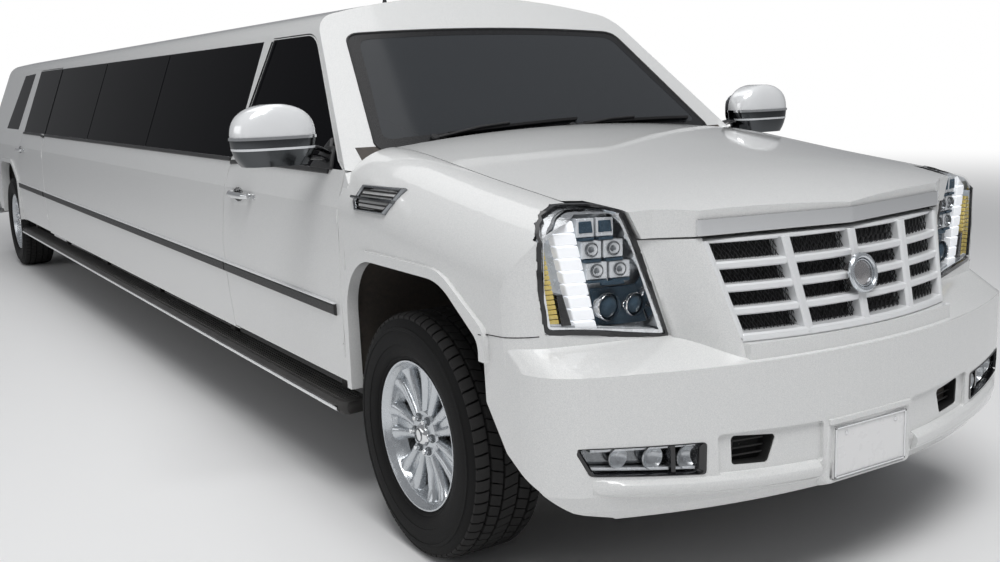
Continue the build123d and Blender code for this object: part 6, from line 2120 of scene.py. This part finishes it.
@dataclass
class WindowTrim:
    """Black pillar covers and dividers that make the side glass read as one band."""

    side: Side
    body_foot: float = 1.232
    door_foot: float = 1.228
    head: float = 1.716

    def build(self) -> None:
        """Builds the covers."""
        tag = self.side.label
        fronts = [f"front_door_{tag}", f"front_door_glass_{tag}"]
        rears = [f"rear_door_{tag}", f"rear_door_glass_{tag}"]
        body = Form(f"window_dividers_{tag}")
        skin = Skin([f"body_side_{tag}", "side_glass", *fronts, *rears])
        for x in pane_joints(self.side):
            self.post(body, skin, (x, x), self.body_foot, 0.022)
        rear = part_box(rears[0])[1].x
        self.post(body, skin, (rear + 0.010, rear + 0.010), self.body_foot, 0.012)
        low, high = (Skin(fronts[:1]).span(fronts[0], z, self.side, 700, 1.6)[0] for z in (1.222, 1.724))
        self.post(body, skin, (low - 0.012, high - 0.010), self.body_foot, 0.016)
        body.done(PILLAR_BLACK)
        for name, nodes, ends, width in (("front", fronts, (low + 0.026, high + 0.026), 0.044),
                                         ("rear", rears, (rear - 0.016, rear - 0.016), 0.030)):
            door = Form(f"door_post_{name}_{tag}")
            self.post(door, Skin(nodes), ends, self.door_foot, width)
            door.done(PILLAR_BLACK, f"{name}_door_leaf_{tag}")

    def post(self, form: Form, skin: Skin, ends: Flat, foot: float, width: float) -> None:
        """Adds an upright cover that follows the skin.

        Args:
            form: the form that it goes into.
            skin: the skin.
            ends: where its foot and head lie along the car.
            foot: the height of its foot.
            width: its width.
        """
        places = zip(spread(*ends, 9), spread(foot, self.head, 9))
        form.strip([skin.side(x, z, self.side) for x, z in places], width, 0.0022, sink=0.003)


def pane_joints(side: Side) -> list[float]:
    """Places along the car where two panes of the long window meet.

    Args:
        side: the side of the car.

    Returns:
        How far along the car each joint lies.
    """
    places = (vertex.co for vertex in FRAME_NODES["side_glass"].data.vertices)
    xs = sorted({round(p.x, 3) for p in places if p.y * side.value > 0 and p.x > REAR_AXLE_X + 1.6})
    return [(a + b) / 2 for a, b in zip(xs, xs[1:]) if 0.003 < b - a < 0.006]


@dataclass
class Glasshouse:
    """Windscreen, mirrors and window trim."""

    def build(self) -> None:
        """Builds them all."""
        Windscreen().build()
        for side in Side:
            Mirror(side).build()
            WindowTrim(side).build()


# ------------------------------------------------------------------ tail


@dataclass
class Tail:
    """Lamps, handle, wiper, spoiler, plate recess and bumper step at the rear."""

    lamp_foot: float = 0.772
    lamp_head: float = 1.188
    plate_half: float = 0.1525
    top: float = 1.705  # where the spoiler's upper side meets the gate
    pad_foot: float = 0.638
    pad_top: float = 0.6445

    def build(self) -> None:
        """Builds the rear's pieces."""
        self.gate = Skin(["tailgate", "tailgate_glass"])
        for side in Side:
            self.lamp(side)
        self.gate_trim()
        self.bumper()
        self.exhaust_tip()

    def lamp(self, side: Side) -> None:
        """Bright bezel, clear reversing window and light bars over a red lamp.

        Args:
            side: the side of the car.
        """
        skin = Skin(["tail_lamps"])
        low, high = self.lamp_foot, self.lamp_head
        # name, places across, ends, stations, width, height, finish
        strips = (
            ("bars", (0.806, 0.828, 0.850), (low + 0.12, high - 0.012), 9, 0.009, 0.005, RED_GLOW),
            ("reverse", (0.831,), (low + 0.012, low + 0.095), 5, 0.070, 0.005, LAMP_SILVER),
            ("edge", (0.7785, 0.890), (low - 0.004, high + 0.004), 9, 0.005, 0.006, CHROME),
        )
        for name, places, ends, count, width, height, finish in strips:
            form = Form(f"tail_lamp_{name}_{side.label}")
            for y in places:
                form.strip([skin.rear(side.at(y), z) for z in spread(*ends, count)], width, height)
            form.done(finish)

    def gate_trim(self) -> None:
        """Bright handle bar, plate recess, wiper, top spoiler and high brake lamp on the tailgate."""
        lid = "tailgate_lid"
        bar = [self.gate.rear(y, 1.075) for y in spread(-0.400, 0.400, 15)]
        Form("gate_bar").strip(bar, 0.042, 0.022).done(CHROME, lid, bevel=0.003)
        corners = ((-0.275, 0.865), (0.275, 0.865), (0.275, 1.035), (-0.275, 1.035))
        outline = filled(rounded(corners, (0.02,) * 4, 4), 0.08)
        rows = [[lifted(self.gate.rear(y * share, lerp(0.95, z, share)), proud) for y, z in outline]
                for share, proud in ((1.0, -0.003), (1.0, 0.008), (0.95, 0.010),
                                     (0.93, 0.003), (0.5, 0.002), (0.02, 0.002))]
        Form("gate_plate_recess").loft(rows, capped=False).done(GLOSS_BLACK, lid)
        across = spread(-self.plate_half, self.plate_half, 7)
        rows = [[self.gate.rear(y, z)[0] - AHEAD * proud for y in across]
                for z, proud in ((0.874, 0.004), (0.874, 0.009), (1.026, 0.009), (1.026, 0.004))]
        Form("gate_plate").sheet([*rows, rows[0]]).done(PLATE, lid)
        pivot, normal = self.gate.rear(0.0, 1.262)
        wiper = Form("gate_wiper")
        boss = ((-0.004, 0.0), (0.030, 0.0001), (0.030, 0.014),
                (0.022, 0.020), (-0.004, 0.022), (-0.004, 0.0))
        wiper.spin(boss, pivot, normal, 24)
        path = [self.gate.rear(y, z)[0] + normal * 0.022
                for y, z in ((0.0, 1.262), (-0.16, 1.290), (-0.34, 1.312))]
        wiper.tube(path, 0.006, 8)
        blade = [self.gate.rear(y, z) for y, z in zip(spread(-0.05, -0.46, 9), spread(1.283, 1.324, 9))]
        wiper.strip(blade, 0.010, 0.018)
        wiper.done(BLACK, lid)
        rings = []
        for y in spread(-0.600, 0.600, 25):
            reach = 0.052 * math.sqrt(max(0.0, 1 - (abs(y) / 0.605) ** 8))
            top, normal = self.gate.rear(y, self.top)
            low = self.gate.rear(y, 1.665)[0]
            section = ((reach, -0.012), (reach, 0.006), (0.018, 0.020), (-0.003, 0.016))
            rings.append([low - normal * 0.003, low + normal * 0.010,
                          *(top + normal * a + UP * b for a, b in section)])
        Form("gate_spoiler").loft(rings).done(PAINT, lid, bevel=0.002)
        rings = []
        for y in spread(-0.17, 0.17, 9):
            top, normal = self.gate.rear(y, self.top)
            section = ((0.053, -0.009), (0.053, 0.003), (0.040, 0.003), (0.040, -0.009))
            rings.append([top + normal * a + UP * b for a, b in section])
        Form("high_brake_lamp").loft(rings).done(RED, lid)
        badge = [self.gate.rear(y, 1.155) for y in spread(-0.055, 0.055, 5)]
        Form("gate_emblem_bar").strip(badge, 0.012, 0.006).done(CHROME, lid)

    def bumper(self) -> None:
        """Black step pad on the rear bumper, reflectors and parking sensors."""
        skin = Skin(["rear_bumper"])

        def behind(y: float, inset: float, z: float) -> Vector:
            """A point ahead of the bumper's rear edge."""
            return Vector((skin.rear(y, 0.62)[0].x + inset, y, z))

        low, high = self.pad_foot, self.pad_top
        section = ((0.012, low), (0.012, high), (0.060, high), (0.060, low))
        pad = Form("rear_step_pad").loft([[behind(y, a, z) for a, z in section]
                                          for y in spread(-0.700, 0.700, 29)])
        ribs = Form("rear_step_ribs")
        for k in range(4):
            line = [(behind(y, 0.020 + 0.010 * k, high), UP) for y in spread(-0.690, 0.690, 25)]
            ribs.strip(line, 0.004, 0.002, sink=0.001)
        pad.done(BLACK, bevel=0.002)
        ribs.done(BLACK)
        reflectors = Form("rear_reflectors")
        for side in Side:
            reflectors.strip([skin.rear(side.at(y), 0.500) for y in spread(0.600, 0.740, 6)], 0.034, 0.005)
        reflectors.done(RED, bevel=0.001)
        sensors = Form("rear_sensors")
        sensor = ((-0.002, 0.0), (0.0015, 0.0001), (0.0015, 0.009),
                  (0.0, 0.011), (-0.002, 0.011), (-0.002, 0.0))
        for y in (-0.520, -0.200, 0.200, 0.520):
            sensors.spin(sensor, *skin.rear(y, 0.560), 24)
        sensors.done(SHUT_LINE)

    def exhaust_tip(self) -> None:
        """Bright sleeve at the exhaust's end."""
        middle = Vector((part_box("exhaust")[0].x + 0.045, -0.300, 0.362))
        sleeve = ((0.052, 0.0315), (-0.070, 0.0315), (-0.074, 0.0345), (-0.070, 0.0365), (0.054, 0.0375),
                  (0.057, 0.0345), (0.052, 0.0315))
        Form("exhaust_tip").spin(sleeve, middle, AHEAD, 48).done(CHROME)


# ------------------------------------------------------------------ cabin


@dataclass
class Cabin:
    """Seats, dashboard details and lounge cushions."""

    puff: float = 0.018  # how far a cushion's faces bulge
    fill: float = 0.75
    lounge_places: int = 9
    rear_places: int = 3
    rear_step: float = 0.158  # how far the rear floor lies over the cabin's

    def build(self) -> None:
        """Builds the cabin's pieces."""
        self.front_seats()
        self.lounge()
        self.dashboard()

    def cushion(self, name: str, centre: Point, half: Point, tilt: float = 0.0) -> bpy.types.Object:
        """A padded block with crowned faces, tilted about the car's width.

        Args:
            name: the piece's name.
            centre: its middle.
            half: its half sizes.
            tilt: how far it leans, in degrees.

        Returns:
            The piece.
        """
        form = Form(name)
        bmesh.ops.create_cube(form.mesh, size=2.0)
        bmesh.ops.subdivide_edges(form.mesh, edges=form.mesh.edges, cuts=5, use_grid_fill=True)
        turn = Matrix.Rotation(math.radians(tilt), 3, "Y")
        for vertex in form.mesh.verts:
            x, y, z = vertex.co
            bulge = (1 - x**2) * (1 - y**2) * self.puff * z
            local = Vector((x * math.sqrt(1 - y**2 * 0.10 - z**2 * 0.06) * half[0],
                            y * math.sqrt(1 - x**2 * 0.10 - z**2 * 0.05) * half[1],
                            z * math.sqrt(1 - x**2 * 0.12 - y**2 * 0.12) * half[2] + bulge))
            vertex.co = Vector(centre) + turn @ local
        made = form.done(LEATHER, smooth=70.0)
        return made

    def front_seats(self) -> None:
        """Two front seats with bolsters, piping and headrests."""
        first = None
        x = FRONT_AXLE_X - 1.450
        for side in Side:
            y, tag = side.at(0.420), side.label
            pieces = (
                ("cushion", (x + 0.02, y, 0.812), (0.265, 0.185, 0.055), -4.0),
                ("back", (x - 0.305, y, 1.130), (0.060, 0.180, 0.285), -14.0),
                ("headrest", (x - 0.400, y, 1.455), (0.045, 0.130, 0.080), -8.0),
                ("bolster_in", (x + 0.02, y - 0.215, 0.830), (0.250, 0.042, 0.062), -4.0),
                ("bolster_out", (x + 0.02, y + 0.215, 0.830), (0.250, 0.042, 0.062), -4.0),
                ("wing_in", (x - 0.285, y - 0.210, 1.120), (0.066, 0.040, 0.255), -14.0),
                ("wing_out", (x - 0.285, y + 0.210, 1.120), (0.066, 0.040, 0.255), -14.0),
            )
            for part, centre, half, tilt in pieces:
                made = self.cushion(f"seat_{part}_{tag}", centre, half, tilt)
                first = first or made
            base = Form(f"seat_base_{tag}")
            base.box((x - 0.230, y - 0.230, 0.504), (x + 0.230, y + 0.230, 0.560))
            base.box((x - 0.280, y - 0.240, 0.560), (x + 0.260, y + 0.240, 0.765))
            base.done(CABIN, bevel=0.012)
            posts = Form(f"headrest_posts_{tag}")
            for dy in (-0.06, 0.06):
                posts.tube([Vector((x - 0.378, y + dy, 1.34)), Vector((x - 0.398, y + dy, 1.44))], 0.006, 10)
            posts.done(CHROME)
            piping = Form(f"seat_piping_{tag}")
            for dy in (-0.178, 0.178):
                piping.tube([Vector((x - 0.236, y + dy, 0.870)), Vector((x - 0.030, y + dy, 0.8815)),
                             Vector((x + 0.250, y + dy, 0.862))], 0.003, 6)
            piping.done(PIPING)
        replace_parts(first, "front_seats")

    def lounge(self) -> None:
        """Seat and back cushions of the long side bench and of the rear bench, on plain plinths."""
        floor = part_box("front_seats")[0].z
        low, high = REAR_AXLE_X + 1.8, FRONT_AXLE_X - 2.5
        pitch = (high - low) / self.lounge_places
        first = None
        for k in range(self.lounge_places):
            x, long = low + pitch * (k + 0.5), pitch * 0.49
            seat = self.cushion(f"lounge_seat_{k + 1}", (x, 0.535, floor + 0.350), (long, 0.195, 0.050))
            self.cushion(f"lounge_back_{k + 1}", (x, 0.782, floor + 0.600), (long, 0.056, 0.215))
            first = first or seat
        rear_floor = floor + self.rear_step
        x = REAR_AXLE_X - 0.390
        for k in range(self.rear_places):
            y = -0.427 + 0.427 * k
            seat, back = (x + 0.235, y, rear_floor + 0.290), (x - 0.060, y, rear_floor + 0.590)
            self.cushion(f"rear_seat_{k + 1}", seat, (0.225, 0.208, 0.060), -3.0)
            self.cushion(f"rear_back_{k + 1}", back, (0.055, 0.208, 0.195), -5.0)
        plinth = Form("lounge_plinth")
        plinth.box((low + 0.005, 0.345, floor), (high - 0.005, 0.838, floor + 0.298))
        plinth.box((x - 0.120, -0.632, rear_floor + 0.005), (x + 0.460, 0.632, rear_floor + 0.235))
        plinth.done(CABIN, bevel=0.01)
        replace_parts(first, "lounge_bench")

    def dashboard(self) -> None:
        """Instrument hood, screen and vents on the dashboard."""
        x = FRONT_AXLE_X - 0.905
        rings = []
        for k in spread(-1.0, 1.0, 13):
            y = 0.420 + k * 0.190
            rise = 0.060 * math.sqrt(max(0.0, 1 - k**4))
            section = ((0.015, 1.118), (-0.020, 1.130 + rise), (0.015, 1.140 + rise),
                       (0.180, 1.160 + rise * 0.4), (0.180, 1.100))
            rings.append([Vector((x + ahead, y, z)) for ahead, z in section])
        Form("instrument_hood").loft(rings).done(CABIN, bevel=0.003)
        corners = ((-0.130, 1.010), (0.130, 1.010), (0.130, 1.115), (-0.130, 1.115))
        screen = [[Vector((x - 0.012 + dx, y, z)) for y, z in corners] for dx in (0.02, -0.008)]
        Form("dash_screen").loft(screen).done(GLOSS_BLACK, bevel=0.004)
        vents = Form("dash_vents")
        for y in (-0.740, -0.210, 0.210, 0.740):
            for k in range(5):
                z = 1.045 + 0.013 * k
                vents.box((x - 0.020, y - 0.055, z), (x + 0.010, y + 0.055, z + 0.004))
            for z in (1.038, 1.103):
                vents.box((x - 0.014, y - 0.062, z), (x - 0.006, y + 0.062, z + 0.004))
        vents.done(DARK_CHROME, bevel=0.001)


def parts() -> list[SideTrim | Nose | Glasshouse | RoadWheel | Tail | Cabin]:
    """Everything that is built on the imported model, in order.

    Returns:
        The parts.
    """
    wheels = []
    for axle, x, half in (("front", FRONT_AXLE_X, FRONT_HALF_TRACK), ("rear", REAR_AXLE_X, REAR_HALF_TRACK)):
        for side in Side:
            brake = f"steered_{side.label}" if axle == "front" else "body"
            wheels.append(RoadWheel(axle, side, Vector((x, side.at(half), AXLE_Z)), brake))
    return [*wheels, *(SideTrim(side) for side in Side), Nose(), Glasshouse(), Tail(), Cabin()]


# ------------------------------------------------------------------ studio and camera


@dataclass(frozen=True)
class Lamp:
    """A soft lamp, aimed at a point."""

    name: str
    place: Point
    target: Point
    size: Flat
    power: float

    def build(self) -> bpy.types.Object:
        """Makes the lamp.

        Returns:
            The lamp.
        """
        data = bpy.data.lights.new(self.name, "AREA")
        data.shape = "RECTANGLE"
        data.size, data.size_y = self.size
        data.energy = self.power
        made = link(self.name, data)
        made.location = self.place
        aim = Vector(self.target) - Vector(self.place)
        made.rotation_euler = aim.to_track_quat("-Z", "Y").to_euler()
        return made


LAMPS = (
    Lamp("key", (8.6, -2.4, 11.0), (3.4, 0.0, 0.8), (7.0, 5.0), 1000.0),
    Lamp("side_fill", (-1.0, -12.0, 4.5), (-1.0, 0.0, 0.9), (14.0, 4.0), 170.0),
    Lamp("overhead", (-1.0, 0.0, 9.0), (-1.0, 0.0, 0.0), (12.0, 5.0), 160.0),
)


@dataclass(frozen=True)
class Camera:
    """The camera: its place, how it is turned, and its lens."""

    place: Point = (7.0765, -2.534, 1.516)
    yaw: float = 31.75  # degrees left of straight back along the car
    pitch: float = 10.22  # degrees down
    roll: float = -1.87
    lens: float = 39.81

    def build(self) -> bpy.types.Object:
        """Makes the camera and gives it to the scene.

        Returns:
            The camera.
        """
        yaw, pitch, roll = (math.radians(a) for a in (self.yaw, self.pitch, self.roll))
        ahead = Vector((-math.cos(yaw) * math.cos(pitch), math.sin(yaw) * math.cos(pitch), -math.sin(pitch)))
        right = ahead.cross(UP).normalized()
        up = right.cross(ahead)
        across = right * math.cos(roll) + up * math.sin(roll)
        upright = up * math.cos(roll) - right * math.sin(roll)
        data = bpy.data.cameras.new("camera")
        data.lens = self.lens
        data.sensor_width = 36.0
        data.clip_start, data.clip_end = 0.1, 200.0
        made = link("camera", data)
        turned = Matrix((across, upright, -ahead)).transposed()
        made.matrix_world = Matrix.Translation(self.place) @ turned.to_4x4()
        bpy.context.scene.camera = made
        return made


@dataclass
class Studio:
    """Pale floor, white background and soft lamps."""

    floor_colour: Colour = (0.82, 0.82, 0.82)
    sky: Colour = (0.52, 0.53, 0.55)
    sky_strength: float = 0.5
    fade: Flat = (6.0, 17.0)  # from where to where the floor runs out into the background

    def build(self) -> None:
        """Makes the floor, the world and the lamps."""
        form = Form("studio_floor")
        form.sheet([[Vector((x, y, 0.0)) for y in (-60.0, 60.0)] for x in (-60.0, 60.0)])
        mesh = bpy.data.meshes.new("studio_floor")
        form.mesh.to_mesh(mesh)
        form.mesh.free()
        floor = link("studio_floor", mesh)
        mesh.materials.append(self.floor_finish())
        for lamp in LAMPS:
            lamp.build()
        self.world()
        scene = bpy.context.scene
        scene.view_settings.view_transform = "Standard"
        scene.render.engine = "CYCLES"
        scene.cycles.max_bounces = 10
        scene.cycles.transparent_max_bounces = 12
        scene.cycles.caustics_reflective = scene.cycles.caustics_refractive = False

    def floor_finish(self) -> bpy.types.Material:
        """The floor's finish, which runs out into the plain background far from the car.

        Returns:
            The material.
        """
        material = Finish("studio_floor", Slot.PLATE, self.floor_colour, 0.7, specular=0.2).build()
        tree = material.node_tree
        place = add_node(tree, "NewGeometry").outputs["Position"]
        reach = add_node(tree, "VectorMath", {0: place}, operation="LENGTH").outputs["Value"]
        limits = {"From Min": self.fade[0], "From Max": self.fade[1]}
        fade = add_node(tree, "MapRange", {"Value": reach, **limits},
                        interpolation_type="SMOOTHSTEP").outputs[0]
        rays = add_node(tree, "LightPath").outputs["Is Camera Ray"]
        both = add_node(tree, "Math", {0: fade, 1: rays}, operation="MULTIPLY").outputs[0]
        shader, plain = tree.nodes["Principled BSDF"].outputs[0], add_node(tree, "Emission").outputs[0]
        mix = add_node(tree, "MixShader", {0: both, 1: shader, 2: plain})
        feed(tree, tree.nodes["Material Output"], {0: mix.outputs[0]})
        return material

    def world(self) -> None:
        """Makes a world that lights softly and looks plain white straight on."""
        world = bpy.data.worlds.new("studio")
        bpy.context.scene.world = world
        world.use_nodes = True
        tree = world.node_tree
        light = tree.nodes["Background"]
        feed(tree, light, {"Color": opaque(self.sky), "Strength": self.sky_strength})
        plain = add_node(tree, "Background", {"Color": opaque((1.0, 1.0, 1.0))})
        rays = add_node(tree, "LightPath").outputs["Is Camera Ray"]
        mix = add_node(tree, "MixShader", {0: rays, 1: light.outputs[0], 2: plain.outputs[0]})
        feed(tree, tree.nodes["World Output"], {0: mix.outputs[0]})


def main() -> None:
    """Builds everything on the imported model."""
    logging.basicConfig(level=logging.INFO, format="%(name)s: %(message)s")
    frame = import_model()
    FRAME_NODES.update(frame["nodes"])
    for part in parts():
        log.info("building %s", type(part).__name__)
        part.build()
    dress_nodes(frame["nodes"])
    Studio().build()
    Camera().build()


if __name__ == "__main__":
    main()
